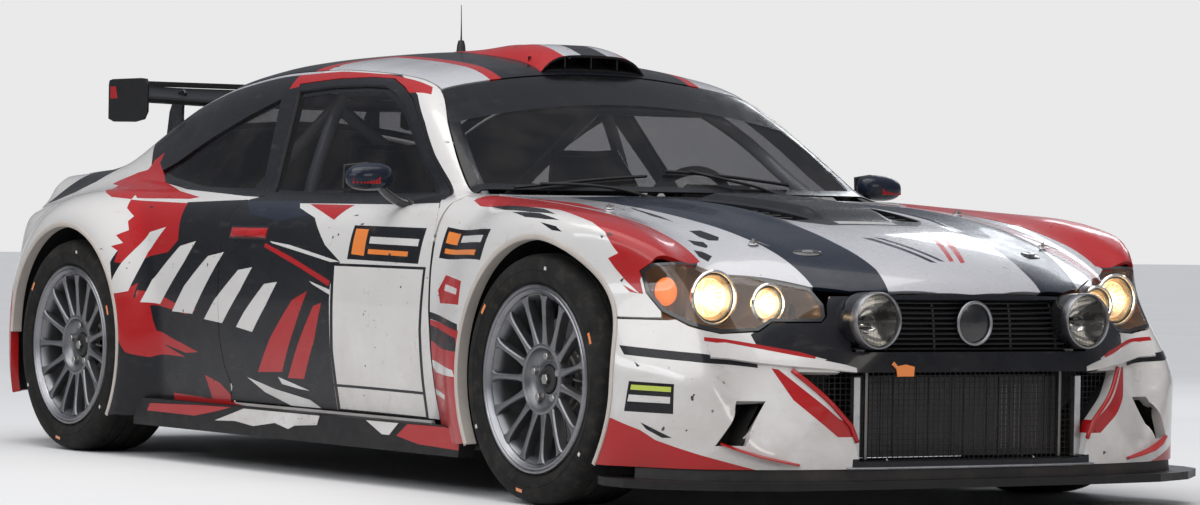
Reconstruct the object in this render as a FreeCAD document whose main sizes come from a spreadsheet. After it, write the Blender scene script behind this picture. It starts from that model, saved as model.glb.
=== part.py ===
import FreeCAD, Part
import math, os, bisect
from FreeCAD import Vector as V, Placement, Rotation

doc = FreeCAD.newDocument("rally_coupe")

# ---------------------------------------------------------------- driving dimensions (mm)
dims = doc.addObject("Spreadsheet::Sheet", "Dims")
TABLE = [
    ("wheelbase", 2760), ("tyre_radius", 340), ("tyre_inner_y", 702), ("tyre_outer_y", 943),
    ("rim_lip_radius", 256), ("rim_bead_radius", 229), ("spoke_count", 15), ("spoke_thick", 12),
    ("wheel_mid_y", 822.5), ("kingpin_y", 775), ("disc_radius", 170), ("disc_inner_y", 800),
    ("disc_outer_y", 832), ("arch_radius", 380), ("liner_radius", 392), ("liner_thick", 4),
    ("door_gap", 8), ("panel_gap", 2), ("skin_depth", 50), ("hood_depth", 26), ("glass_thick", 5),
    ("splitter_low", 78), ("splitter_thick", 22), ("floor_low", 120), ("floor_thick", 26),
    ("floor_half_width", 800), ("rail_width", 90), ("rail_height", 130), ("engine_length", 560),
    ("engine_width", 440), ("engine_height", 400), ("lamp_radius", 77), ("lamp_spread", 356),
    ("lamp_height", 520), ("wing_half_span", 566), ("wing_height", 1150), ("wing_chord", 240),
    ("endplate_thick", 10), ("strut_thick", 14), ("strut_y", 380), ("antenna_radius", 3),
    ("antenna_top", 1447), ("cage_radius", 20), ("helm_radius", 165), ("helm_grip", 15),
    ("exhaust_radius", 42), ("exhaust_bore", 37), ("core_depth", 60), ("core_width", 720),
    ("core_height", 216), ("seat_width", 500), ("dash_width", 1380), ("skirt_height", 85),
]
for i, (name, val) in enumerate(TABLE):
    dims.set("A%d" % (i + 1), name)
    dims.set("B%d" % (i + 1), str(val))
    dims.setAlias("B%d" % (i + 1), name)
D = dict(TABLE)
doc.recompute()


# ---------------------------------------------------------------- shape of the bodywork
def curve(pts):
    xs = [float(p[0]) for p in pts]
    ys = [float(p[1]) for p in pts]
    n = len(xs)
    h = [xs[i + 1] - xs[i] for i in range(n - 1)]
    d = [(ys[i + 1] - ys[i]) / h[i] for i in range(n - 1)]
    m = [0.0] * n
    for i in range(1, n - 1):
        if d[i - 1] * d[i] > 0:
            w1 = 2 * h[i] + h[i - 1]
            w2 = h[i] + 2 * h[i - 1]
            m[i] = (w1 + w2) / (w1 / d[i - 1] + w2 / d[i])
    m[0] = d[0]
    m[-1] = d[-1]

    def f(x):
        x = min(max(x, xs[0]), xs[-1])
        i = min(max(bisect.bisect_right(xs, x) - 1, 0), n - 2)
        t = (x - xs[i]) / h[i]
        t2 = t * t
        t3 = t2 * t
        return (ys[i] * (2 * t3 - 3 * t2 + 1) + h[i] * m[i] * (t3 - 2 * t2 + t)
                + ys[i + 1] * (-2 * t3 + 3 * t2) + h[i] * m[i + 1] * (t3 - t2))
    return f


def smax(a, b, k):
    h = max(k - abs(a - b), 0.0) / k
    return max(a, b) + h * h * h * k / 6


def smin(a, b, k):
    return -smax(-a, -b, k)


def step(a, b, x):
    t = min(max((x - a) / float(b - a), 0.0), 1.0)
    return t * t * (3 - 2 * t)


def mix(a, b, t):
    return a + (b - a) * t


W0 = curve([(-2200, 740), (-2050, 820), (-1900, 862), (-1700, 893), (-1500, 905), (-1200, 905), (-1000, 897), (-700, 886), (-300, 881), (200, 881), (600, 885), (850, 890), (1050, 897), (1380, 905), (1600, 908), (1760, 905), (1900, 890), (2050, 860), (2200, 830)])
DY = curve([(60, 30), (130, 26), (200, 20), (300, 9), (400, 2), (500, 0), (600, 3), (680, 12), (740, 26), (790, 48), (830, 76), (900, 130)])
ZC = curve([(-2200, 868), (-2100, 884), (-1900, 898), (-1700, 910), (-1500, 918), (-1000, 880), (-500, 850), (0, 845), (400, 852), (600, 854), (890, 840), (1340, 812), (1670, 766), (1850, 722), (1980, 674), (2060, 626), (2110, 575), (2140, 520), (2250, 200)])
ZR = curve([(-2200, 690), (-2050, 742), (-1900, 778), (-1750, 804), (-1600, 824), (-1400, 843), (-1200, 851), (-1000, 850), (-790, 842), (-340, 823), (100, 813), (450, 816), (640, 834), (760, 842), (900, 835), (1180, 814), (1430, 797), (1610, 764), (1730, 720), (1810, 668), (1870, 605), (1930, 500), (2100, 150)])
NL = curve([(0, 2118), (300, 2112), (500, 2090), (650, 2055), (750, 2012), (830, 1955), (880, 1900), (920, 1835), (945, 1760), (975, 1640), (1000, 1500)])
NH = curve([(0, 2100), (300, 2092), (450, 2062), (600, 1995), (700, 1925), (780, 1845), (840, 1765), (880, 1690), (920, 1590), (960, 1450)])
TA = curve([(0, -2155), (400, -2146), (600, -2120), (700, -2090), (780, -2046), (850, -1985), (900, -1915), (940, -1820), (980, -1650)])
TZ = curve([(100, 40), (180, 12), (260, 0), (520, 0), (580, 18), (640, 48), (720, 66), (800, 74), (870, 40), (930, 40)])
G0 = curve([(-2200, 600), (-1800, 650), (-1500, 692), (-1200, 732), (-900, 762), (-500, 780), (0, 782), (300, 772), (600, 742), (800, 700), (900, 680)])
RC = curve([(-2300, 100), (-2110, 420), (-2040, 660), (-1980, 805), (-1900, 888), (-1750, 962), (-1600, 1030), (-1400, 1116), (-1200, 1192), (-900, 1258), (-600, 1287), (-350, 1291), (-100, 1277), (100, 1256), (300, 1222), (500, 1180), (900, 1080)])


def half_width(x, z):
    w = W0(x) - DY(z)
    rf = math.hypot(x - 1380, z - 345)
    rr = math.hypot(x + 1380, z - 345)
    w = mix(w, max(w, 944), (1 - step(372, 640, rf)) * (1 - step(1740, 1960, x)))
    w = mix(w, max(w, 958), 1 - step(385, 560, rr))
    return w


def top_z(x, a):
    return mix(ZC(x + 0.0005 * a * a * step(300, 900, x)), ZR(x), step(600, 800, a))


def nose_x(a, z):
    return mix(NL(a), NH(a), step(330, 640, z))


def tail_x(a, z):
    return TA(a) + TZ(z)


def body_fn(x, y, z):
    a = abs(y)
    m = smax(a - half_width(x, z), z - top_z(x, a), 110)
    m = smax(m, x - nose_x(a, z), 70)
    m = smax(m, tail_x(a, z) - x, 80)
    if z < 700:
        return m
    g = smax(a - (G0(x) - 0.5 * (max(z, 790) - 810)), z - (RC(x) - 0.0002 * a * a), 120)
    w = ((x - (830 - 0.0003 * a * a)) * 0.62 + (z - 860)) / 1.177
    g = smax(g, w, 60)
    return smin(m, g, 60)


def reach(o, d, first=40.0, far=2500.0):
    """distance along d from the inner point o to the outer surface"""
    def f(t):
        return body_fn(o[0] + d[0] * t, o[1] + d[1] * t, o[2] + d[2] * t)
    t0 = 0.0
    t1 = first
    f1 = f(t1)
    while f1 <= 0 and t1 < far:
        t0 = t1
        t1 += 60.0
        f1 = f(t1)
    f0 = f(t0)
    for k in range(40):
        if t1 - t0 < 0.01:
            break
        if k % 3 == 2 or f1 == f0:
            tm = 0.5 * (t0 + t1)
        else:
            tm = t0 - f0 * (t1 - t0) / (f1 - f0)
            tm = min(max(tm, t0 + 0.02 * (t1 - t0)), t1 - 0.02 * (t1 - t0))
        fm = f(tm)
        if fm <= 0:
            t0, f0 = tm, fm
        else:
            t1, f1 = tm, fm
    return 0.5 * (t0 + t1)


def sharpen(row):
    """control points whose cubic curve runs through the given points, to fourth order"""
    out = [row[0]]
    for i in range(1, len(row) - 1):
        a, b, c = row[i - 1], row[i], row[i + 1]
        out.append(tuple((8.0 * b[k] - a[k] - c[k]) / 6.0 for k in range(3)))
    out.append(row[-1])
    return out


def knots(n):
    m = n - 3
    return [4] + [1] * (m - 1) + [4], [float(i) for i in range(m + 1)]


def spline_face(grid):
    g = [sharpen(r) for r in grid]
    g = [list(r) for r in zip(*[sharpen(list(c)) for c in zip(*g)])]
    mu, ku = knots(len(g))
    mv, kv = knots(len(g[0]))
    s = Part.BSplineSurface()
    s.buildFromPolesMultsKnots([[V(*p) for p in row] for row in g], mu, mv, ku, kv, False, False, 3, 3)
    return s.toShape()


def skin_solid(rays, depth_out, depth_in):
    """rays[i][j] = (origin, direction); solid between two depths under the outer surface"""
    outer, inner = [], []
    for row in rays:
        ro, ri = [], []
        for (o, d) in row:
            t = reach(o, d)
            p = (o[0] + d[0] * t, o[1] + d[1] * t, o[2] + d[2] * t)
            a = depth_out(p) if callable(depth_out) else depth_out
            b = depth_in(p) if callable(depth_in) else depth_in
            ro.append((p[0] - d[0] * a, p[1] - d[1] * a, p[2] - d[2] * a))
            ri.append((p[0] - d[0] * b, p[1] - d[1] * b, p[2] - d[2] * b))
        outer.append(ro)
        inner.append(ri)
    fo, fi = spline_face(outer), spline_face(inner)
    so, si = fo.Surface, fi.Surface
    faces = [fo, fi]
    for which in ("u0", "u1", "v0", "v1"):
        uo, ui = so.bounds(), si.bounds()
        if which == "u0":
            co, ci = so.uIso(uo[0]), si.uIso(ui[0])
        elif which == "u1":
            co, ci = so.uIso(uo[1]), si.uIso(ui[1])
        elif which == "v0":
            co, ci = so.vIso(uo[2]), si.vIso(ui[2])
        else:
            co, ci = so.vIso(uo[3]), si.vIso(ui[3])
        faces.append(Part.makeRuledSurface(co.toShape(), ci.toShape()))
    sh = Part.Shell(faces)
    sh.sewShape()
    sol = Part.makeSolid(sh)
    if not sol.isValid():
        sol.fix(0.1, 0.1, 0.1)
    if sol.Volume < 0:
        sol.reverse()
    return sol


def norm(d):
    n = math.sqrt(sum(c * c for c in d))
    return tuple(c / n for c in d)


def lin(a, b, n):
    return [a + (b - a) * i / float(n - 1) for i in range(n)]


def side_rays(x0, x1, nx, nt, zb, zc, yc, ytop, side=-1):
    """section-plane fans round (yc, zc); from height zb on the flank up to half width ytop(x)"""
    rows = []
    for x in lin(x0, x1, nx):
        cz = zc(x)
        zt = cz + reach((x, side * ytop(x), cz), (0, 0, 1))
        t1 = math.atan2(zt - cz, ytop(x) - yc)
        zbx = zb(x)
        yb = reach((x, 0.0, zbx), (0, side, 0))
        t0 = math.atan2(zbx - cz, yb - yc)
        rows.append([((x, side * yc, cz), (0, side * math.cos(t), math.sin(t))) for t in lin(t0, t1, nt)])
    return rows


def top_rays(x0, x1, nx, y0, y1, ny, zc):
    return [[((x, y, zc(x, y)), (0, 0, 1)) for y in lin(y0, y1, ny)] for x in lin(x0, x1, nx)]


def plan_rays(cx, f0, f1, nf, z0, z1, nz, sgn):
    rows = []
    for f in lin(math.radians(f0), math.radians(f1), nf):
        rows.append([((cx, 0.0, z), (sgn * math.cos(f), math.sin(f), 0)) for z in lin(z0, z1, nz)])
    return rows


def prism(pts, plane, lo, hi, off=0.0):
    """closed outline swept along the normal of its plane: 'xz' sweeps Y, 'xy' sweeps Z, 'yz' sweeps X"""
    if plane == "xz":
        vs = [V(p[0], lo, p[1]) for p in pts]
        sweep = V(0, hi - lo, 0)
    elif plane == "xy":
        vs = [V(p[0], p[1], lo) for p in pts]
        sweep = V(0, 0, hi - lo)
    else:
        vs = [V(lo, p[0], p[1]) for p in pts]
        sweep = V(hi - lo, 0, 0)
    w = Part.makePolygon(vs + [vs[0]])
    if off:
        w = w.makeOffset2D(off, 2)
    return Part.Face(w).extrude(sweep)


def mirror(sh):
    return sh.mirror(V(0, 0, 0), V(0, 1, 0))


def flip(pts):
    return [(p[0], -p[1]) for p in pts]


def feature(name, shape):
    o = doc.addObject("Part::Feature", name)
    o.Label = name
    o.Shape = shape
    return o


NODES = []


def keep(o, name=None):
    if name:
        o.Label = name
    NODES.append(o)
    return o


def biggest(sh, count=1):
    ss = sorted(sh.Solids, key=lambda q: -q.Volume)[:count]
    return ss[0] if count == 1 else Part.makeCompound(ss)


def both(a, b):
    """common part of a and b, shifting the tool by a hair when faces meet badly"""
    for k in range(5):
        t = b.copy()
        t.translate(V(0.037 * k, 0.023 * k, -0.029 * k))
        c = a.common(t)
        if c.Solids and c.Volume > 1.0:
            return c
    raise RuntimeError("empty common")


# ---------------------------------------------------------------- outlines
RAIL = curve([(-2200, 560), (-1550, 548), (-1000, 548), (-300, 548), (228, 548), (439, 629), (575, 678), (673, 704), (760, 722), (1000, 722)])
DOOR = [(-430, 200), (-412, 245), (-452, 310), (-476, 400), (-486, 540), (-488, 700), (-484, 775), (-462, 812), (-384, 828),
        (-444, 985), (-512, 1176), (-300, 1189), (-100, 1191), (22, 1185), (118, 1157), (205, 1120), (325, 1036), (445, 944), (560, 873),
        (672, 818), (706, 802), (738, 760), (750, 700), (752, 620), (755, 510), (768, 400), (788, 300), (806, 225), (810, 200)]
DOOR_WIN = [(-352, 840), (-486, 1153), (-300, 1165), (-100, 1167), (14, 1162), (105, 1135), (188, 1098), (310, 1014), (428, 926), (575, 838), (300, 832), (0, 830)]
QUARTER = [(-432, 846), (-578, 1130), (-755, 1077), (-946, 1011), (-1140, 934), (-1232, 907), (-1205, 896), (-1112, 880), (-833, 852), (-600, 846)]
HOOD_Y = 672.0


def hood_rear(y):
    return 905.0 - 0.00029 * y * y


HOOD = [(hood_rear(y), y) for y in lin(-HOOD_Y, HOOD_Y, 17)]
HOOD_FRONT = [(1300, 672), (1600, 676), (1788, 686), (1902, 561), (1979, 462), (2029, 365), (2062, 250), (2084, 110), (2091, 0)]
HOOD += HOOD_FRONT + [(p[0], -p[1]) for p in reversed(HOOD_FRONT[:-1])]


def quad(pts):
    return pts


def lamp_basis(p):
    # lens outline is drawn square to a direction turned 45 degrees out from straight ahead
    return 0.70711 * (p[0] + p[1])


LENS = [(1752, -848, 639), (1779, -829, 661), (1800, -740, 668), (1826, -655, 660), (1902, -561, 628), (1979, -460, 604), (2022, -444, 560),
        (2036, -448, 528), (2030, -458, 514), (1976, -579, 512), (1967, -614, 488), (1922, -703, 482), (1898, -789, 502), (1830, -830, 535), (1777, -846, 583)]


def lens_prism(off, lo=900.0, hi=2300.0):
    n = (0.70711, -0.70711, 0)
    t = (0.70711, 0.70711, 0)
    vs = []
    for p in LENS:
        q = p[0] * t[0] + p[1] * t[1]
        vs.append(V(q * t[0] + lo * n[0], q * t[1] + lo * n[1], p[2]))
    w = Part.makePolygon(vs + [vs[0]])
    if off:
        w = w.makeOffset2D(off, 2)
    return Part.Face(w).extrude(V(n[0] * (hi - lo), n[1] * (hi - lo), 0))


base = [(845.0 - 0.0003 * y * y, y) for y in lin(-690, 690, 15)]
base = [p for p in base if abs(p[1]) <= RAIL(p[0]) - 3]
edge = [(x, RAIL(x) - 3.0) for x in (690, 640, 575, 500, 439, 350, 262)]
SCREEN = base + edge + [(262, -(RAIL(262) - 3))] + [(x, -(RAIL(x) - 3.0)) for x in (350, 439, 500, 575, 640, 690)]
LAMP = [(-692, 640), (-430, 640), (-430, 735), (-640, 735)]
SPOTS = [(-1, Part.makeCylinder(80.0, 250, V(1950, -D["lamp_spread"], D["lamp_height"]), V(1, 0, 0))),
         (1, Part.makeCylinder(80.0, 250, V(1950, D["lamp_spread"], D["lamp_height"]), V(1, 0, 0)))]
LENS_CUT = lens_prism(2.0)
ARCH_F = Part.makeCylinder(D["arch_radius"], 700, V(1380, -1200, 345), V(0, 1, 0))
ARCH_R = Part.makeCylinder(D["arch_radius"] + 4, 700, V(-1380, -1200, 345), V(0, 1, 0))

# ---------------------------------------------------------------- side frame, doors, fenders
zc_side = lambda x: 690.0
side = skin_solid(side_rays(-2022, 905, 60, 36, lambda x: 130.0, zc_side, 350.0, lambda x: RAIL(x) + 1), 0.0, D["skin_depth"])
door_open = prism(DOOR, "xz", -1300, 0, D["door_gap"])
rear_low = prism([(-2300, 0), (-1772, 0), (-1772, 564), (-2300, 564)], "xz", -1300, 0)
front_part = prism([(2400, 0), (2400, 1300), (772, 1300), (772, 816), (752, 816), (752, 0)], "xz", -1300, 0)
frame_r = side.cut(door_open).cut(rear_low).cut(front_part).cut(ARCH_R)
frame_r = frame_r.cut(prism(QUARTER, "xz", -1300, 0))
frame_r = frame_r.cut(Part.makeBox(2558, 560, 800, V(-2300, -547.5, 700)))
frame_r = frame_r.cut(prism(SCREEN, "xy", 700, 1500, 1.5)).cut(prism(LAMP, "yz", -2400, -1960, 2.0))
frame_r = frame_r.cut(both(prism(HOOD, "xy", 300, 1500, 9.5), Part.makeBox(500, 900, 1400, V(600, -1300, 0))))
frame_r = biggest(frame_r)
keep(feature("right_side_frame", frame_r))
keep(feature("left_side_frame", mirror(frame_r)))

door_depth = lambda p: 76.0 - 36.0 * step(770, 850, p[2])
door_fan = side_rays(-540, 840, 30, 30, lambda x: 190.0, zc_side, 350.0, lambda x: RAIL(x) + 4)
door_blank = skin_solid(door_fan, 0.0, 14.0)
door_core = skin_solid(door_fan, 7.0, door_depth)
door_r = both(door_blank, prism(DOOR, "xz", -1300, 0)).fuse(both(door_core, prism(DOOR, "xz", -1300, 0, -14.0))).cut(prism(DOOR_WIN, "xz", -1300, 0))
door_r = biggest(door_r.cut(Part.makeBox(3000, 560, 500, V(-1500, -553, 1000))))
keep(feature("right_door", door_r))
keep(feature("left_door", mirror(door_r)))

glass_blank = skin_solid(side_rays(-540, 720, 26, 26, lambda x: 700.0, zc_side, 350.0, lambda x: RAIL(x) + 4), 12.0, 12.0 + D["glass_thick"])
glass_r = biggest(both(glass_blank, prism(DOOR_WIN, "xz", -1300, 0, -1.0)))
keep(feature("right_door_glass", glass_r))
keep(feature("left_door_glass", mirror(glass_r)))

quarter_blank = skin_solid(side_rays(-1290, -380, 22, 26, lambda x: 700.0, zc_side, 350.0, lambda x: RAIL(x) + 4), 12.0, 12.0 + D["glass_thick"])
quarter_r = biggest(both(quarter_blank, prism(QUARTER, "xz", -1300, 0, -1.0)))
keep(feature("quarter_windows", Part.makeCompound([quarter_r, mirror(quarter_r)])))

fender_blank = skin_solid(side_rays(746, 1880, 46, 44, lambda x: 150.0, lambda x: 450.0, 440.0, lambda x: HOOD_Y + 7), 0.0, D["skin_depth"])
fender_cut = prism([(600, 0), (761, 0), (761, 811), (777, 811), (777, 1300), (600, 1300)], "xz", -1300, 0)
fender_low = prism([(1380, 0), (2400, 0), (2400, 518), (1380, 518)], "xz", -1300, 0)
fender_r = fender_blank.cut(fender_cut).cut(fender_low).cut(ARCH_F).cut(LENS_CUT)
fender_r = fender_r.cut(prism([(1836, 300), (2400, 300), (2400, 900), (1836, 900)], "xz", -1300, 0))
fender_r = fender_r.cut(prism(DOOR, "xz", -1300, 0, D["door_gap"] + 4)).cut(prism(HOOD, "xy", 300, 1000, 8.0))
fender_r = biggest(fender_r)
keep(feature("right_front_fender", fender_r))
keep(feature("left_front_fender", mirror(fender_r)))

# ---------------------------------------------------------------- top panels
hood = skin_solid(top_rays(765, 2105, 44, -700, 700, 33, lambda x, y: 480.0 if x < 1900 else 400.0), 0.0, D["hood_depth"])
hood = both(hood, prism(HOOD, "xy", 300, 1000))
lens6 = lens_prism(6.0)
hood = hood.cut(lens6).cut(mirror(lens6)).cut(Part.makeBox(3000, 2000, 298, V(0, -1000, 300)))
for sgn, _ in SPOTS:
    hood = hood.cut(Part.makeCylinder(83.0, 250, V(1950, sgn * D["lamp_spread"], D["lamp_height"]), V(1, 0, 0)))
hood = biggest(hood)
keep(feature("hood", hood))


def cowl_grid(dz):
    return [[(x, y, top_z(x, abs(y)) - dz) for y in lin(-655, 655, 15)] for x in lin(0.0, 1.0, 7)]


cowl_rows_o, cowl_rows_i = [], []
for k in lin(0.0, 1.0, 6):
    ro, ri = [], []
    for y in lin(-655, 655, 17):
        x = mix(800 - 0.0003 * y * y, 945 - 0.0003 * y * y, k)
        z = top_z(x, abs(y)) - mix(20.0, 46.0, step(0.15, 0.6, k))
        ro.append((x, y, z))
        ri.append((x, y, z - 14))
    cowl_rows_o.append(ro)
    cowl_rows_i.append(ri)


def grid_solid(outer, inner):
    fo, fi = spline_face(outer), spline_face(inner)
    so, si = fo.Surface, fi.Surface
    bo, bi = so.bounds(), si.bounds()
    faces = [fo, fi]
    for co, ci in ((so.uIso(bo[0]), si.uIso(bi[0])), (so.uIso(bo[1]), si.uIso(bi[1])),
                   (so.vIso(bo[2]), si.vIso(bi[2])), (so.vIso(bo[3]), si.vIso(bi[3]))):
        faces.append(Part.makeRuledSurface(co.toShape(), ci.toShape()))
    sh = Part.Shell(faces)
    sh.sewShape()
    sol = Part.makeSolid(sh)
    if sol.Volume < 0:
        sol.reverse()
    return sol


keep(feature("cowl_panel", grid_solid(cowl_rows_o, cowl_rows_i)))


def rail_line(x0, x1, n, inset):
    return [(x, RAIL(x) - inset) for x in lin(x0, x1, n)]


def strip(x0, x1, n, inset, rear=None, front=None):
    up = rail_line(x0, x1, n, inset)
    pts = up + [(p[0], -p[1]) for p in reversed(up)]
    return pts


screen_blank = skin_solid(top_rays(232, 850, 26, -715, 715, 27, lambda x, y: 760.0), 3.0, 3.0 + D["glass_thick"])
keep(feature("windshield", biggest(both(screen_blank, prism(SCREEN, "xy", 600, 1500)))))

roof_blank = skin_solid(top_rays(-1002, 258, 30, -560, 560, 25, lambda x, y: 900.0), 0.0, 30.0)
ROOF = [(x, 546.0) for x in (-1000, 256)] + [(256, -546.0), (-1000, -546.0)]
keep(feature("roof_panel", biggest(both(roof_blank, prism(ROOF, "xy", 600, 1500)))))

rear_blank = skin_solid(top_rays(-1510, -1000, 20, -560, 560, 25, lambda x, y: 760.0), 3.0, 3.0 + D["glass_thick"])
REARWIN = [(-1004, 545.0), (-1506, 545.0), (-1506, -545.0), (-1004, -545.0)]
keep(feature("rear_window", biggest(both(rear_blank, prism(REARWIN, "xy", 600, 1500)))))

def lid_rear(y):
    return TA(abs(y)) + 82.0


lid = skin_solid([[((mix(-1514.0, lid_rear(y), k), y, 600.0), (0, 0, 1)) for y in lin(-541, 541, 27)] for k in lin(0.0, 1.0, 26)], 0.0, 26.0)
keep(feature("trunk_lid", lid))

# ---------------------------------------------------------------- nose and tail
bumper = skin_solid(plan_rays(1300, -65.5, 65.5, 91, 128, 592, 30, 1), 0.0, 55.0)
TOPCUT = [(-1300, 515), (-860, 515), (-800, 497), (-703, 479), (-612, 484), (-578, 508), (-458, 510), (-440, 540), (-425, 584), (0, 592),
          (425, 584), (440, 540), (458, 510), (578, 508), (612, 484), (703, 479), (800, 497), (860, 515), (1300, 515), (1300, 900), (-1300, 900)]
bumper = bumper.cut(prism(TOPCUT, "yz", 1300, 2400))
GRILLE = [(-398, 436), (-406, 500), (-398, 560), (-330, 576), (330, 576), (398, 560), (406, 500), (398, 436)]
INTAKE = [(-548, 384), (-404, 240), (-384, 148), (384, 148), (404, 240), (548, 384)]
VENT = [(-700, 307), (-625, 307), (-700, 190), (-772, 190)]
bumper = bumper.cut(prism(GRILLE, "yz", 1800, 2400)).cut(prism(INTAKE, "yz", 1800, 2400))
bumper = bumper.cut(prism(VENT, "yz", 1800, 2400)).cut(prism([(-p[0], p[1]) for p in VENT], "yz", 1800, 2400))
bumper = bumper.cut(LENS_CUT).cut(mirror(LENS_CUT)).cut(SPOTS[0][1]).cut(SPOTS[1][1])
bumper = bumper.cut(Part.makeCylinder(D["arch_radius"], 2600, V(1380, -1300, 345), V(0, 1, 0)))
bumper = bumper.cut(Part.makeBox(700, 2600, 800, V(1060, -1300, 0)))
keep(feature("front_bumper", biggest(bumper)))

mesh = skin_solid(plan_rays(1300, -29, 29, 25, 430, 580, 9, 1), 34.0, 50.0)
mesh = both(mesh, prism(GRILLE, "yz", 1800, 2400, -1.0))
for s in (-1, 1):
    mesh = mesh.cut(Part.makeCylinder(D["lamp_radius"] + 2, 300, V(1900, s * D["lamp_spread"], D["lamp_height"]), V(1, 0, 0)))
keep(feature("grille", biggest(mesh)))

lens = skin_solid(plan_rays(1300, -66, -28, 31, 470, 680, 17, 1), 0.0, 80.0)
lens = both(lens, lens_prism(0.0)).cut(Part.makeBox(700, 2600, 800, V(1060, -1300, 0)))
lens = biggest(lens.cut(SPOTS[0][1]))
keep(feature("headlights", Part.makeCompound([lens, mirror(lens)])))

rear_bumper = skin_solid(plan_rays(-1300, -65, 65, 91, 168, 560, 24, -1), 0.0, 55.0)
rear_bumper = rear_bumper.cut(Part.makeBox(500, 2600, 800, V(-1772, -1300, 0)))
rear_bumper = rear_bumper.cut(Part.makeCylinder(D["arch_radius"] + 4, 2600, V(-1380, -1300, 345), V(0, 1, 0)))
rear_bumper = rear_bumper.cut(Part.makeBox(400, 760, 160, V(-2400, -380, 100)))
rear_bumper = rear_bumper.cut(Part.makeCylinder(D["exhaust_radius"] + 8, 700, V(-2300, -470, 192), V(1, 0, 0)))
keep(feature("rear_bumper", biggest(rear_bumper)))

tail = skin_solid(plan_rays(-1300, -47, 47, 61, 567, 838, 18, -1), 0.0, 30.0)
LIDGAP = [(lid_rear(y) - 6.0, y) for y in lin(-547, 547, 21)] + [(-1400, 547.0), (-1400, -547.0)]
tail = tail.cut(prism(LIDGAP, "xy", 790, 1500))
tail = tail.cut(prism(LAMP, "yz", -2400, -1900)).cut(prism([(-p[0], p[1]) for p in LAMP], "yz", -2400, -1900))
tail = tail.cut(Part.makeBox(600, 2600, 1200, V(-2024, -1300, 0)))
keep(feature("tail_panel", biggest(tail)))
tail2 = skin_solid(plan_rays(-1300, -46, -26, 25, 628, 747, 11, -1), 2.0, 24.0)
lamp_r = biggest(both(tail2, prism(LAMP, "yz", -2400, -1900, -1.0)))
keep(feature("tail_lamps", Part.makeCompound([lamp_r, mirror(lamp_r)])))


# ---------------------------------------------------------------- PartDesign helpers
def plane_of(body, role):
    for f in body.Origin.OriginFeatures:
        if f.Role == role:
            return f
    raise ValueError(role)


def new_body(name):
    b = doc.addObject("PartDesign::Body", name)
    b.Label = name
    return b


def sketch(body, name, role, pts, z=0.0):
    s = body.newObject("Sketcher::SketchObject", name)
    s.AttachmentSupport = [(plane_of(body, role), "")]
    s.MapMode = "FlatFace"
    s.AttachmentOffset = Placement(V(0, 0, z), Rotation())
    add_loop(s, pts)
    return s


def add_loop(s, pts):
    n0 = s.GeometryCount
    n = len(pts)
    for i in range(n):
        a, b = pts[i], pts[(i + 1) % n]
        s.addGeometry(Part.LineSegment(V(a[0], a[1], 0), V(b[0], b[1], 0)), False)


def circle(s, x, y, r):
    s.addGeometry(Part.Circle(V(x, y, 0), V(0, 0, 1), r), False)


def pad(body, name, sk, length, sym=False, rev=False, expr=None):
    p = body.newObject("PartDesign::Pad", name)
    p.Profile = sk
    p.Length = length
    p.Midplane = sym
    p.Reversed = rev
    if expr:
        p.setExpression("Length", expr)
    sk.Visibility = False
    body.Tip = p
    doc.recompute()
    return p


def revolve(body, name, sk, axis_role):
    r = body.newObject("PartDesign::Revolution", name)
    r.Profile = sk
    r.ReferenceAxis = (plane_of(body, axis_role), [""])
    r.Angle = 360.0
    body.Tip = r
    doc.recompute()
    return r


def expr(o, prop, e):
    o.setExpression(prop, e)


# ---------------------------------------------------------------- wheels, discs, knuckles
WHEELS = [("front_left", 1, 1), ("front_right", 1, -1), ("rear_left", -1, 1), ("rear_right", -1, -1)]


def place_wheel(b, fx, sy, zexpr="Dims.tyre_radius"):
    # own frame: +Y points out of the car's flank on the left; turned half round on the right
    b.Placement = Placement(V(1380 * fx, 0, 340), Rotation(V(0, 0, 1), 0 if sy > 0 else 180))
    b.setExpression("Placement.Base.x", "%sDims.wheelbase / 2" % ("" if fx > 0 else "-"))
    b.setExpression("Placement.Base.z", zexpr)


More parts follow.
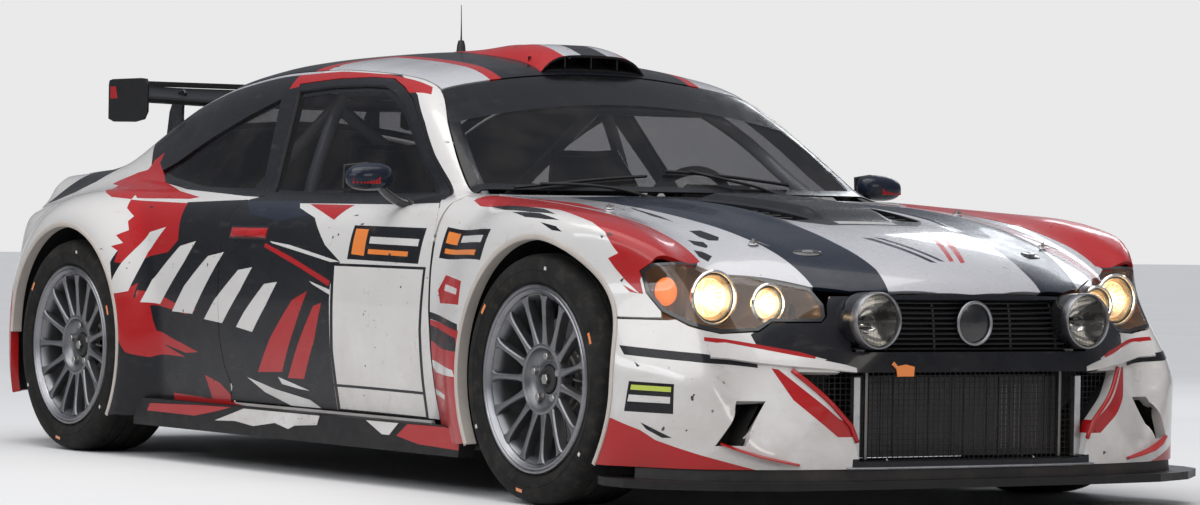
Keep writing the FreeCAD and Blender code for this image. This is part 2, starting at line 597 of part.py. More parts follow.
for wn, fx, sy in WHEELS:
    # sketches lie in the XY plane: X = radius, Y = distance out from the car's centre plane
    b = new_body(wn + "_tyre")
    s = sketch(b, wn + "_tyre_section", "XY_Plane",
               [(231, 724), (231, 917), (262, 922), (264, 931), (290, 942), (316, 943), (332, 932), (340, 908),
                (340, 738), (332, 714), (316, 702), (290, 703), (264, 714), (262, 722)])
    revolve(b, wn + "_tyre_ring", s, "Y_Axis")
    place_wheel(b, fx, sy)
    keep(b)

    b = new_body(wn + "_rim")
    s = sketch(b, wn + "_rim_section", "XY_Plane",
               [(214, 712), (246, 709), (246, 719), (229, 723), (229, 918), (256, 922), (256, 934), (244, 935), (236, 926), (226, 916), (216, 900), (214, 760)])
    revolve(b, wn + "_rim_barrel", s, "Y_Axis")
    s = sketch(b, wn + "_spoke_section", "XY_Plane", [(88, 872), (100, 908), (160, 916), (224, 925), (224, 904), (160, 894), (104, 878)])
    p = pad(b, wn + "_spoke", s, D["spoke_thick"], sym=True, expr="Dims.spoke_thick")
    pat = b.newObject("PartDesign::PolarPattern", wn + "_spokes")
    pat.Originals = [p]
    pat.Axis = (plane_of(b, "Y_Axis"), [""])
    pat.Angle = 360
    pat.Occurrences = int(D["spoke_count"])
    b.Tip = pat
    doc.recompute()
    s = sketch(b, wn + "_hub_section", "XY_Plane",
               [(40, 862), (92, 862), (100, 880), (104, 908), (96, 912), (84, 896), (70, 886), (40, 884)])
    revolve(b, wn + "_hub_ring", s, "Y_Axis")
    place_wheel(b, fx, sy)
    keep(b)

    b = new_body(wn + "_disc")
    s = sketch(b, wn + "_disc_section", "XY_Plane",
               [(30, 852), (74, 852), (80, 846), (84, 832), (170, 832), (170, 800), (88, 800), (76, 836), (70, 842), (30, 842)])
    revolve(b, wn + "_disc_ring", s, "Y_Axis")
    place_wheel(b, fx, sy)
    keep(b)

for wn, sy in (("left_knuckle", 1), ("right_knuckle", -1)):
    # upright, caliper and steering arm turn together about the kingpin
    b = new_body(wn)
    s = sketch(b, wn + "_upright", "XZ_Plane", [(-62, -120), (62, -120), (72, 0), (62, 150), (-62, 150), (-72, 0)], -792.0)
    pad(b, wn + "_upright_pad", s, 52)
    s = sketch(b, wn + "_caliper", "XZ_Plane", [(-70, -66), (-196, -55), (-196, 55), (-70, 66)], -792.0)
    pad(b, wn + "_caliper_back", s, 20)
    s = sketch(b, wn + "_caliper_bridge", "XZ_Plane", [(-176, -55), (-196, -55), (-196, 55), (-176, 55)], -848.0)
    pad(b, wn + "_caliper_bridge_pad", s, 66)
    s = sketch(b, wn + "_caliper_face", "XZ_Plane", [(-120, -60), (-196, -55), (-196, 55), (-120, 60)], -848.0)
    pad(b, wn + "_caliper_front", s, 10)
    s = sketch(b, wn + "_arm", "XZ_Plane", [(-190, -70), (-60, -70), (-60, -40), (-190, -40)], -772.0)
    pad(b, wn + "_arm_pad", s, 40)
    s = b.newObject("Sketcher::SketchObject", wn + "_pin_circle")
    s.AttachmentSupport = [(plane_of(b, "XY_Plane"), "")]
    s.MapMode = "FlatFace"
    s.AttachmentOffset = Placement(V(0, 0, -134), Rotation())
    circle(s, 0, D["kingpin_y"], 14)
    pad(b, wn + "_pin_pad", s, 298)
    b.Placement = Placement(V(1380, 0, 340), Rotation(V(0, 0, 1), 0) if sy > 0 else Rotation(V(0, 0, 1), 180))
    b.setExpression("Placement.Base.x", "Dims.wheelbase / 2")
    b.setExpression("Placement.Base.z", "Dims.tyre_radius")
    keep(b)

doc.recompute()


# ---------------------------------------------------------------- Part primitives
def box(name, x0, y0, z0, dx, dy, dz, **ex):
    o = doc.addObject("Part::Box", name)
    o.Length, o.Width, o.Height = dx, dy, dz
    o.Placement = Placement(V(x0, y0, z0), Rotation())
    for k, v in ex.items():
        o.setExpression(k, v)
    return o


def cyl(name, p, q, r, rexpr=None):
    p, q = V(*p), V(*q)
    o = doc.addObject("Part::Cylinder", name)
    d = q.sub(p)
    o.Radius, o.Height = r, d.Length
    o.Placement = Placement(p, Rotation(V(0, 0, 1), d))
    if rexpr:
        o.setExpression("Radius", rexpr)
    return o


def fuse(name, objs):
    o = doc.addObject("Part::MultiFuse", name)
    o.Shapes = objs
    o.Label = name
    return o


# floor plates, tunnel and bulkheads, a hair apart at the seams
fl = [
    box("floor_main", -1010, -800, 120, 1960, 1600, 26, Height="Dims.floor_thick", Width="2 * Dims.floor_half_width"),
    box("floor_front_bulkhead", 905, -640, 147, 20, 1280, 603),
    box("floor_rear_bulkhead", -1031, -512, 120, 20, 1024, 660),
    box("floor_bulkhead_wing_l", -1031, 522, 536, 20, 118, 244),
    box("floor_bulkhead_wing_r", -1031, -640, 536, 20, 118, 244),
    box("floor_tunnel", -1000, -110, 147, 1900, 220, 103),
    box("floor_rear", -1950, -512, 240, 918, 1024, 24),
]
rails = []
for s in (-1, 1):
    t = "l" if s > 0 else "r"
    rails.append(box("rail_front_" + t, 926, s * 430 - 45, 250, 1034, 90, 130, Width="Dims.rail_width", Height="Dims.rail_height"))
    rails.append(box("rail_rear_" + t, -2040, 435 if s > 0 else -511, 265, 1008, 76, 100))
    rails.append(box("tower_rear_" + t, -1420, 440 if s > 0 else -510, 366, 80, 70, 210))
    rails.append(box("tower_front_" + t, 1300, 477 if s > 0 else -512, 250, 160, 35, 470))
doc.recompute()
keep(feature("floor_pan", Part.makeCompound([o.Shape.copy() for o in fl])))
keep(feature("chassis_rails", Part.makeCompound([o.Shape.copy() for o in rails])))

# wheel housings: curved liner in ten plates and a side wall
plates = []
ri, ro = D["liner_radius"], D["liner_radius"] + D["liner_thick"]
for fx in (1, -1):
    for s in (-1, 1):
        lo, hi = (522, 810) if s > 0 else (-810, -522)
        for k in range(10):
            a0 = math.radians(-6.5 + 19.3 * k + 0.04)
            a1 = math.radians(-6.5 + 19.3 * (k + 1) - 0.04)
            q = [(1380 * fx + r * math.cos(a), 345 + r * math.sin(a)) for r, a in ((ri, a0), (ro, a0), (ro, 0.5 * (a0 + a1)), (ro, a1), (ri, a1))]
            plates.append(prism(q, "xz", lo, hi))
        q = [(1380 * fx + ro * math.cos(math.radians(a)), 345 + ro * math.sin(math.radians(a))) for a in lin(-6.5, 186.5, 21)]
        plates.append(prism(q, "xz", 515 * s if s > 0 else -521, 521 if s > 0 else -515))
keep(feature("wheel_liners", Part.makeCompound(plates)))

# side skirts
b = new_body("side_skirts_right")
s = sketch(b, "skirt_outline_r", "XZ_Plane", [(-962, 106), (968, 106), (986, 150), (986, 182), (900, 190), (-900, 190), (-962, 170)], 862.0)
pad(b, "skirt_pad_r", s, 52)
b2 = new_body("side_skirts_left")
s = sketch(b2, "skirt_outline_l", "XZ_Plane", [(-962, 106), (968, 106), (986, 150), (986, 182), (900, 190), (-900, 190), (-962, 170)], -914.0)
pad(b2, "skirt_pad_l", s, 52)
doc.recompute()
skirt = b.Shape.copy()
for q in (frame_r, fender_r):
    for dy, dz in ((0, 0), (-1.5, 0), (0.7, 0), (0, -0.7), (0.4, 0.7)):
        near = q.copy()
        near.translate(V(0, dy, dz))
        skirt = skirt.cut(near)
skirt = biggest(skirt)
keep(feature("side_skirts", Part.makeCompound([skirt, mirror(skirt)])))

# splitter
b = new_body("front_splitter")
half = [(1702, 936), (1770, 962), (1860, 962), (1945, 930), (2060, 800), (2128, 640), (2150, 420), (2155, 0)]
pts = half + [(p[0], -p[1]) for p in reversed(half[:-1])]
s = sketch(b, "splitter_outline", "XY_Plane", pts, 78.0)
pad(b, "splitter_pad", s, 22, expr="Dims.splitter_thick")
keep(b)

# diffuser
b = new_body("rear_diffuser")
s = sketch(b, "diffuser_profile", "XZ_Plane", [(-1960, 232), (-1960, 190), (-2140, 246), (-2140, 257), (-2060, 257)], 0.0)
pad(b, "diffuser_pad", s, 740, sym=True)
for k, y in enumerate((-300, -100, 100, 300)):
    s = sketch(b, "fin_profile_%d" % k, "XZ_Plane", [(-1962, 200), (-1962, 150), (-2130, 170), (-2142, 252)], -y - 4.0)
    pad(b, "fin_pad_%d" % k, s, 8)
keep(b)

# roof scoop
b = new_body("roof_scoop")
SCOOP = [(x, RC(x) + 1.0) for x in (238, 200, 150, 100, 40, -20, -80, -160, -240, -330)]
s = sketch(b, "scoop_profile", "XZ_Plane", [(-330, 1298), (-280, 1304), (-60, 1304), (60, 1299), (180, 1288), (240, 1276)] + SCOOP, 0.0)
pad(b, "scoop_pad", s, 380, sym=True)
keep(b)

# antenna
b = new_body("antenna")
s = sketch(b, "antenna_section", "XZ_Plane", [(0, 1293), (20, 1293), (17, 1300), (9, 1330), (3, 1334), (2.2, 1447), (0, 1447)], 0.0)
revolve(b, "antenna_turn", s, "Z_Axis")
b.Placement = Placement(V(-520, 0, 0), Rotation())
keep(b)

# engine block, intercooler
keep(box("engine_block", 1180, -220, 260, 560, 440, 400, Length="Dims.engine_length", Width="Dims.engine_width", Height="Dims.engine_height"))
keep(box("intercooler", 1975, -360, 156, 60, 720, 216, Length="Dims.core_depth", Width="Dims.core_width", Height="Dims.core_height"))

# spot lamps
b = []
for s in (-1, 1):
    o = cyl("spot_%s" % ("l" if s > 0 else "r"), (2010, s * 356, 520), (2148, s * 356, 520), 76, "Dims.lamp_radius - 1")
    b.append(o)
doc.recompute()
keep(feature("spot_lamps", Part.makeCompound([o.Shape.copy() for o in b])))

# wing on its struts
b = new_body("rear_wing_blank")
s = sketch(b, "wing_profile", "XZ_Plane", [(-1562, 1150), (-1575, 1164), (-1640, 1172), (-1720, 1172), (-1800, 1186), (-1802, 1181), (-1720, 1160), (-1640, 1148), (-1575, 1143)], 0.0)
pad(b, "wing_pad", s, 1132, sym=True, expr="2 * Dims.wing_half_span")
for k, y in enumerate((-576, 566)):
    s = sketch(b, "endplate_%d" % k, "XZ_Plane", [(-1550, 1120), (-1556, 1186), (-1600, 1200), (-1815, 1208), (-1828, 1190), (-1822, 1082), (-1800, 1070), (-1600, 1078)], -y - 10.0)
    pad(b, "endplate_pad_%d" % k, s, 10, expr="Dims.endplate_thick")
for k, y in enumerate((-380, 380)):
    s = sketch(b, "strut_%d" % k, "XZ_Plane", [(-1640, 900), (-1760, 878), (-1740, 1000), (-1720, 1165), (-1640, 1160), (-1650, 1050)], -y)
    pad(b, "strut_pad_%d" % k, s, 14, sym=True, expr="Dims.strut_thick")
doc.recompute()
wing = b.Shape.copy()
lid_up = lid.copy()
lid_up.translate(V(0, 0, 0.4))
wing = wing.cut(lid_up).cut(Part.makeBox(700, 1400, 300, V(-2200, -700, 600)))
b.Label = "rear_wing_blank"
wing_feat = feature("rear_wing_trimmed", biggest(wing))
wing_feat.Label = "rear_wing"
keep(wing_feat)

# mirrors
def mirror_shape(door_shape):
    e = doc.addObject("Part::Ellipsoid", "mirror_shell")
    e.Radius1, e.Radius2, e.Radius3 = 44, 42, 72
    e.Placement = Placement(V(462, -912, 884), Rotation())
    st = cyl("mirror_stalk", (470, -880, 858), (482, -800, 800), 13)
    doc.recompute()
    clear = door_shape.copy()
    clear.translate(V(0, -0.4, 0.2))
    sh = e.Shape.fuse(st.Shape).cut(door_shape).cut(clear)
    return biggest(sh)


mir = mirror_shape(door_r)
keep(feature("right_mirror", mir))
keep(feature("left_mirror", mirror(mir)))

# seats
seat_pts = [(-300, 170), (160, 170), (190, 300), (170, 330), (-180, 300), (-250, 620), (-300, 900), (-330, 985), (-385, 990), (-395, 950), (-350, 600), (-330, 300)]
seat_parts = []
for t, y in (("l", 370), ("r", -370)):
    b = new_body("seat_" + t)
    s = sketch(b, "seat_profile_" + t, "XZ_Plane", seat_pts, -y)
    pad(b, "seat_pad_" + t, s, 440, sym=True)
    seat_parts.append(b)
doc.recompute()
keep(feature("seats", Part.makeCompound([q.Shape.copy() for q in seat_parts])))

# dashboard with the fixed steering column
b = new_body("dash_shell")
s = sketch(b, "dash_profile", "XZ_Plane", [(400, 610), (660, 560), (700, 770), (640, 806), (470, 800), (415, 760)], 0.0)
pad(b, "dash_pad", s, 1130, sym=True)
TILT = math.radians(22.0)
HUB = (205.0, 370.0, 775.0)
AX = (-math.cos(TILT), 0.0, math.sin(TILT))
col = cyl("column_tube", (HUB[0] - AX[0] * 45, HUB[1], HUB[2] - AX[2] * 45), (HUB[0] - AX[0] * 300, HUB[1], HUB[2] - AX[2] * 300), 24)
dash = fuse("dashboard", [b, col])
doc.recompute()
keep(dash)

# steering wheel
rot = Rotation(V(0, 0, 1), V(*AX))
rim = doc.addObject("Part::Torus", "helm_rim")
rim.Radius1, rim.Radius2 = 165, 15
rim.setExpression("Radius1", "Dims.helm_radius")
rim.setExpression("Radius2", "Dims.helm_grip")
rim.Placement = Placement(V(*HUB), rot)
hubp = V(HUB[0] - AX[0] * 38, HUB[1], HUB[2] - AX[2] * 38)
boss = doc.addObject("Part::Cylinder", "helm_boss")
boss.Radius, boss.Height = 38, 40
boss.Placement = Placement(hubp, rot)
arms = []
for k in (0, 120, 240):
    o = doc.addObject("Part::Box", "helm_arm_%d" % k)
    o.Length, o.Width, o.Height = 130, 26, 5
    r2 = rot.multiply(Rotation(V(0, 0, 1), k))
    o.Placement = Placement(V(*HUB).add(r2.multVec(V(30, -13, -4))), r2)
    arms.append(o)
helm = fuse("steering_wheel", [rim, boss] + arms)
doc.recompute()
keep(helm)

# roll cage
CR = D["cage_radius"]
H0, H1, H2 = (-430, 620, 148), (-430, 620, 700), (-430, 470, 1155)
A1, A2, A3 = (150, 470, 1112), (610, 610, 812), (610, 610, 148)
def sy(p):
    return (p[0], -p[1], p[2])


def unit(p, q):
    v = V(*q).sub(V(*p))
    return v.multiply(1.0 / v.Length)


def at(p, q, k):
    return tuple(p[i] + (q[i] - p[i]) * k for i in range(3))


def tee(d, e):
    """length to leave off the end of a bar along d that meets the side of a bar along e"""
    c = abs(d.dot(e))
    return CR * (1 + c) / math.sqrt(max(1e-6, 1 - c * c)) + 1.0


def bend(d, e):
    """length to leave off each of two bars that meet end to end"""
    c = max(-1.0, min(1.0, d.dot(e)))
    return CR * math.tan(0.5 * math.acos(c)) + 0.8


# bars: (start, end, bar or bend that each end meets)
runs = []
for f in (lambda p: p, sy):
    h0, h1, h2, a1, a2, a3 = [f(p) for p in (H0, H1, H2, A1, A2, A3)]
    up, lean, roof = unit(h0, h1), unit(h1, h2), unit(h2, a1)
    post, drop, across = unit(a1, a2), unit(a2, a3), unit(h2, sy(h2))
    x1, x2, x3, x4 = f((-430, 620, 250)), f((610, 610, 600)), f((-430, 620, 600)), f((610, 610, 250))
    xm = at(x1, x2, 0.5)
    dx, dy = unit(x1, x2), unit(x3, x4)
    leg = f((-1376, 475, 604))
    runs += [(h0, h1, 0.0, bend(up, lean)), (h1, h2, bend(up, lean), bend(lean, across)), (h2, a1, 44.0, 26.0),
             (a1, a2, 36.0, bend(post, drop)), (a2, a3, bend(post, drop), 0.0),
             (x1, x2, tee(dx, up), tee(dx, drop)), (x3, xm, tee(dy, up), tee(dy, dx)), (xm, x4, tee(dy, dx), tee(dy, drop)),
             (h2, leg, 44.0, 0.0)]
lean, across = unit(H1, H2), unit(H2, sy(H2))
top = bend(lean, across)
d0, d1 = (-430, 600, 330), (-430, -490, 1100)
dd = unit(d0, d1)
k = (830 - 330) / 770.0
xc = at(d0, d1, k)
runs += [(H2, sy(H2), top, top), (A1, sy(A1), 0.0, 0.0), ((-430, 575, 830), xc, 31.0, tee(across, dd)), (xc, (-430, -575, 830), tee(across, dd), 31.0),
         (d0, d1, 24.0, 32.0)]
tubes = []
for i, (p, q, ta, tb) in enumerate(runs):
    u = unit(p, q)
    a = tuple(V(*p).add(V(u).multiply(ta)))
    c = tuple(V(*q).sub(V(u).multiply(tb)))
    tubes.append(cyl("cage_tube_%02d" % i, a, c, CR, "Dims.cage_radius"))
cage = doc.addObject("Part::Compound", "roll_cage")
cage.Links = tubes
cage.Label = "roll_cage"
doc.recompute()
keep(cage)

# suspension arms at the front, carriers at the rear
parts = []
for s in (-1, 1):
    t = "l" if s > 0 else "r"
    y = lambda a, b: (s * a if s > 0 else s * b)
    parts.append(box("front_arm_a_" + t, 1345, y(478, 706), 222, 70, 228, 26))
doc.recompute()
keep(feature("front_arms", Part.makeCompound([o.Shape.copy() for o in parts])))
rear = []
for s in (-1, 1):
    t = "l" if s > 0 else "r"
    y = lambda a, b: (s * a if s > 0 else s * b)
    bits = [box("carrier_up_" + t, -1440, y(740, 792), 225, 120, 52, 260),
            box("carrier_arm_" + t, -1420, y(528, 750), 228, 80, 222, 30),
            box("carrier_shaft_" + t, -1402, y(528, 750), 318, 44, 222, 44),
            box("caliper_in_" + t, -1310, y(772, 792), 285, 126, 20, 110),
            box("caliper_top_" + t, -1202, y(782, 848), 285, 18, 66, 110),
            box("caliper_out_" + t, -1258, y(838, 848), 285, 74, 10, 110),
            box("caliper_link_" + t, -1330, y(760, 785), 300, 50, 25, 80)]
    f = fuse("carrier_" + t, bits)
    rear.append(f)
doc.recompute()
keep(feature("rear_axle", Part.makeCompound([o.Shape.copy() for o in rear])))

# exhaust
b1 = cyl("pipe_outer", (-1700, -470, 192), (-2142, -470, 192), 42, "Dims.exhaust_radius")
b2 = cyl("pipe_bore", (-1760, -470, 192), (-2150, -470, 192), 37, "Dims.exhaust_bore")
pipe = doc.addObject("Part::Cut", "exhaust")
pipe.Base, pipe.Tool = b1, b2
doc.recompute()
keep(pipe, "exhaust")

# ---------------------------------------------------------------- checks and export
doc.recompute()
bad = 0
for o in doc.Objects:
    st = [str(q) for q in o.State]
    if "Invalid" in st or "Error" in st:
        print("STATE", o.Name, o.Label, st)
        bad += 1
os.makedirs("parts", exist_ok=True)
for f in os.listdir("parts"):
    if f.endswith(".step"):
        os.remove(os.path.join("parts", f))
total = FreeCAD.BoundBox()
for o in NODES:
    sh = o.Shape
    if sh.isNull() or not sh.isValid():
        print("SHAPE", o.Label, "null" if sh.isNull() else "invalid")
        bad += 1
    bb = sh.BoundBox
    total.add(bb)
    print("%-24s solids %d vol %.2f L  x %.0f..%.0f y %.0f..%.0f z %.0f..%.0f" % (o.Label, len(sh.Solids), sh.Volume / 1e6, bb.XMin, bb.XMax, bb.YMin, bb.YMax, bb.ZMin, bb.ZMax))
    if not sh.isNull():
        sh.exportStep("parts/%s.step" % o.Label)
print("nodes", len(NODES), "bad", bad, "box", total)
if bad:
    raise RuntimeError("bad shapes: %d" % bad)
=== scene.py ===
import math
import bpy
import bmesh
import numpy as np
from mathutils import Vector, Matrix
from mathutils.geometry import delaunay_2d_cdt


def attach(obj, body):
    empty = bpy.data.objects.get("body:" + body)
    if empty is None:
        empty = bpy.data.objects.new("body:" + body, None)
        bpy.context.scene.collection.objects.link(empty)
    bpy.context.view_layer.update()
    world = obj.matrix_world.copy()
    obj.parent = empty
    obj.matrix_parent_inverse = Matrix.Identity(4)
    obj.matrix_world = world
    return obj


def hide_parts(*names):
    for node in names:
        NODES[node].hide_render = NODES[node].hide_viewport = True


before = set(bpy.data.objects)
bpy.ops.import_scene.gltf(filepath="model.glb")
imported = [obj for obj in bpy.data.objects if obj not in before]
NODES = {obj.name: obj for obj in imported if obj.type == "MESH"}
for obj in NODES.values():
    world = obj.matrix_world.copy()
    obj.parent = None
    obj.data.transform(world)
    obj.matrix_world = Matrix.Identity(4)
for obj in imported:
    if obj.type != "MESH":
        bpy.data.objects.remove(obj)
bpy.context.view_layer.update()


# ------------------------------------------------------------------ body surface, millimetres
def pch(pts):
    xs = np.array([p[0] for p in pts], float)
    ys = np.array([p[1] for p in pts], float)
    h = np.diff(xs)
    d = np.diff(ys) / h
    n = len(xs)
    m = np.zeros(n)
    for i in range(1, n - 1):
        if d[i - 1] * d[i] > 0:
            w1 = 2 * h[i] + h[i - 1]
            w2 = h[i] + 2 * h[i - 1]
            m[i] = (w1 + w2) / (w1 / d[i - 1] + w2 / d[i])
    m[0] = d[0]
    m[-1] = d[-1]

    def f(x):
        x = np.clip(np.asarray(x, float), xs[0], xs[-1])
        i = np.clip(np.searchsorted(xs, x, side="right") - 1, 0, n - 2)
        t = (x - xs[i]) / h[i]
        t2 = t * t
        t3 = t2 * t
        return ys[i] * (2 * t3 - 3 * t2 + 1) + h[i] * m[i] * (t3 - 2 * t2 + t) + ys[i + 1] * (-2 * t3 + 3 * t2) + h[i] * m[i + 1] * (t3 - t2)
    return f


def smax(a, b, k):
    h = np.maximum(k - np.abs(a - b), 0) / k
    return np.maximum(a, b) + h * h * h * k / 6


def smin(a, b, k):
    return -smax(-a, -b, k)


def sstep(a, b, x):
    t = np.clip((x - a) / (b - a), 0, 1)
    return t * t * (3 - 2 * t)


def mix(a, b, t):
    return a + (b - a) * t


W0 = pch([(-2200, 740), (-2050, 820), (-1900, 862), (-1700, 893), (-1500, 905), (-1200, 905), (-1000, 897), (-700, 886), (-300, 881), (200, 881), (600, 885), (850, 890), (1050, 897), (1380, 905), (1600, 908), (1760, 905), (1900, 890), (2050, 860), (2200, 830)])
DY = pch([(60, 30), (130, 26), (200, 20), (300, 9), (400, 2), (500, 0), (600, 3), (680, 12), (740, 26), (790, 48), (830, 76), (900, 130)])
ZC = pch([(-2200, 868), (-2100, 884), (-1900, 898), (-1700, 910), (-1500, 918), (-1000, 880), (-500, 850), (0, 845), (400, 852), (600, 854), (890, 840), (1340, 812), (1670, 766), (1850, 722), (1980, 674), (2060, 626), (2110, 575), (2140, 520), (2250, 200)])
ZR = pch([(-2200, 690), (-2050, 742), (-1900, 778), (-1750, 804), (-1600, 824), (-1400, 843), (-1200, 851), (-1000, 850), (-790, 842), (-340, 823), (100, 813), (450, 816), (640, 834), (760, 842), (900, 835), (1180, 814), (1430, 797), (1610, 764), (1730, 720), (1810, 668), (1870, 605), (1930, 500), (2100, 150)])
NL = pch([(0, 2118), (300, 2112), (500, 2090), (650, 2055), (750, 2012), (830, 1955), (880, 1900), (920, 1835), (945, 1760), (975, 1640), (1000, 1500)])
NH = pch([(0, 2100), (300, 2092), (450, 2062), (600, 1995), (700, 1925), (780, 1845), (840, 1765), (880, 1690), (920, 1590), (960, 1450)])
TA = pch([(0, -2155), (400, -2146), (600, -2120), (700, -2090), (780, -2046), (850, -1985), (900, -1915), (940, -1820), (980, -1650)])
TZ = pch([(100, 40), (180, 12), (260, 0), (520, 0), (580, 18), (640, 48), (720, 66), (800, 74), (870, 40), (930, 40)])
G0 = pch([(-2200, 600), (-1800, 650), (-1500, 692), (-1200, 732), (-900, 762), (-500, 780), (0, 782), (300, 772), (600, 742), (800, 700), (900, 680)])
RC = pch([(-2300, 100), (-2110, 420), (-2040, 660), (-1980, 805), (-1900, 888), (-1750, 962), (-1600, 1030), (-1400, 1116), (-1200, 1192), (-900, 1258), (-600, 1287), (-350, 1291), (-100, 1277), (100, 1256), (300, 1222), (500, 1180), (900, 1080)])
RAIL = pch([(-2200, 560), (-1550, 548), (-1000, 548), (-300, 548), (228, 548), (439, 629), (575, 678), (673, 704), (760, 722), (1000, 722)])


def half_width(x, z):
    w = W0(x) - DY(z)
    rf = np.sqrt((x - 1380) ** 2 + (z - 345) ** 2)
    rr = np.sqrt((x + 1380) ** 2 + (z - 345) ** 2)
    w = mix(w, np.maximum(w, 944), (1 - sstep(372, 640, rf)) * (1 - sstep(1740, 1960, x)))
    return mix(w, np.maximum(w, 958), 1 - sstep(385, 560, rr))


def body(x, y, z):
    a = np.abs(y)
    top = mix(ZC(x + 0.0005 * a * a * sstep(300, 900, x)), ZR(x), sstep(600, 800, a))
    m = smax(a - half_width(x, z), z - top, 110)
    m = smax(m, x - mix(NL(a), NH(a), sstep(330, 640, z)), 70)
    m = smax(m, TA(a) + TZ(z) - x, 80)
    g = smax(a - (G0(x) - 0.5 * (np.maximum(z, 790) - 810)), z - (RC(x) - 0.0002 * a * a), 120)
    w = ((x - (830 - 0.0003 * a * a)) * 0.62 + (z - 860)) / 1.177
    g = smax(g, w, 60)
    return np.where(z < 700, m, smin(m, g, 60))


def cast(o, d, t1, n=40):
    o = np.asarray(o, float)
    d = np.asarray(d, float)
    ts = np.linspace(0, t1, n)
    prev = body(*o.T)
    lo = np.full(len(o), np.nan)
    hi = np.full(len(o), np.nan)
    for k in range(1, n):
        cur = body(*(o + d * ts[k]).T)
        m = (prev > 0) & (cur <= 0) & np.isnan(lo)
        lo[m] = ts[k - 1]
        hi[m] = ts[k]
        prev = cur
    for k in range(17):
        mid = (lo + hi) / 2
        v = body(*(o + d * mid[:, None]).T)
        lo = np.where(v > 0, mid, lo)
        hi = np.where(v > 0, hi, mid)
    p = o + d * ((lo + hi) / 2)[:, None]
    bad = np.isnan(p[:, 0])
    if bad.any():
        good = np.where(~bad)[0]
        for i in np.where(bad)[0]:
            j = good[np.argmin(((o[good] - o[i]) ** 2).sum(1))] if len(good) else i
            p[i] = p[j] + (o[i] - o[j]) - d[i] * ((o[i] - o[j]) @ d[i])
    return p


def gradient(p):
    e = 1.5
    x, y, z = p.T
    g = np.stack([body(x + e, y, z) - body(x - e, y, z), body(x, y + e, z) - body(x, y - e, z), body(x, y, z + e) - body(x, y, z - e)], -1)
    return g / np.maximum(np.linalg.norm(g, axis=1), 1e-9)[:, None]


class Side:
    def __init__(self, yc=350.0, zc=690.0, far=950.0):
        self.yc, self.zc, self.far = yc, zc, far

    def to(self, p):
        p = np.asarray(p, float)
        return np.stack([p[:, 0], 500 * np.arctan2(p[:, 2] - self.zc, -p[:, 1] - self.yc)], -1)

    def hit(self, q):
        th = q[:, 1] / 500
        c, s = np.cos(th), np.sin(th)
        o = np.stack([q[:, 0], -(self.yc + self.far * c), self.zc + self.far * s], -1)
        return cast(o, np.stack([0 * c, c, -s], -1), self.far, 46)


class Top:
    def __init__(self, z0=1500.0):
        self.z0 = z0

    def to(self, p):
        return np.asarray(p, float)[:, :2].copy()

    def hit(self, q):
        o = np.stack([q[:, 0], q[:, 1], np.full(len(q), self.z0)], -1)
        return cast(o, np.tile([0, 0, -1.0], (len(q), 1)), 1100, 44)


class Plan:
    def __init__(self, cx):
        self.cx = cx
        self.s = 1 if cx > 0 else -1

    def to(self, p):
        p = np.asarray(p, float)
        return np.stack([700 * np.arctan2(p[:, 1], self.s * (p[:, 0] - self.cx)), p[:, 2]], -1)

    def hit(self, q):
        f = q[:, 0] / 700
        d = np.stack([self.s * np.cos(f), np.sin(f), 0 * f], -1)
        o = np.stack([self.cx + 1150 * d[:, 0], 1150 * d[:, 1], q[:, 1]], -1)
        return cast(o, -d, 1150, 50)


def on_side(pts):
    """(x, z) on the right flank"""
    p = np.asarray(pts, float)
    o = np.stack([p[:, 0], np.full(len(p), -1150.0), p[:, 1]], -1)
    return cast(o, np.tile([0, 1.0, 0], (len(p), 1)), 1150, 60)


def on_top(pts, z0=1500.0):
    p = np.asarray(pts, float)
    o = np.stack([p[:, 0], p[:, 1], np.full(len(p), z0)], -1)
    return cast(o, np.tile([0, 0, -1.0], (len(p), 1)), 1100, 60)


def on_nose(pts, s=1):
    """(y, z) seen from ahead (s=1) or from behind (s=-1)"""
    p = np.asarray(pts, float)
    o = np.stack([np.full(len(p), 2500.0 * s), p[:, 0], p[:, 1]], -1)
    return cast(o, np.tile([-1.0 * s, 0, 0], (len(p), 1)), 1400, 70)


# ------------------------------------------------------------------ outlines
def dens(poly, step, closed=True):
    poly = np.asarray(poly, float)
    out = []
    n = len(poly)
    for i in range(n if closed else n - 1):
        a, b = poly[i], poly[(i + 1) % n]
        k = max(1, int(np.ceil(np.linalg.norm(b - a) / step)))
        for j in range(k):
            out.append(a + (b - a) * j / k)
    if not closed:
        out.append(poly[-1])
    return np.array(out)


def area(p):
    x, y = p[:, 0], p[:, 1]
    return 0.5 * np.sum(x * np.roll(y, -1) - np.roll(x, -1) * y)


def grow(poly, d):
    """moves a closed outline outwards by d (inwards if negative)"""
    poly = np.asarray(poly, float)
    keep = np.linalg.norm(poly - np.roll(poly, 1, 0), axis=1) > 0.05
    poly = poly[keep]
    s = 1 if area(poly) > 0 else -1
    e = np.roll(poly, -1, 0) - poly
    e /= np.maximum(np.linalg.norm(e, axis=1), 1e-9)[:, None]
    nrm = np.stack([e[:, 1], -e[:, 0]], -1) * s
    m = nrm + np.roll(nrm, 1, 0)
    m /= np.maximum((m * m).sum(1), 0.6)[:, None]
    return poly + 2 * d * m


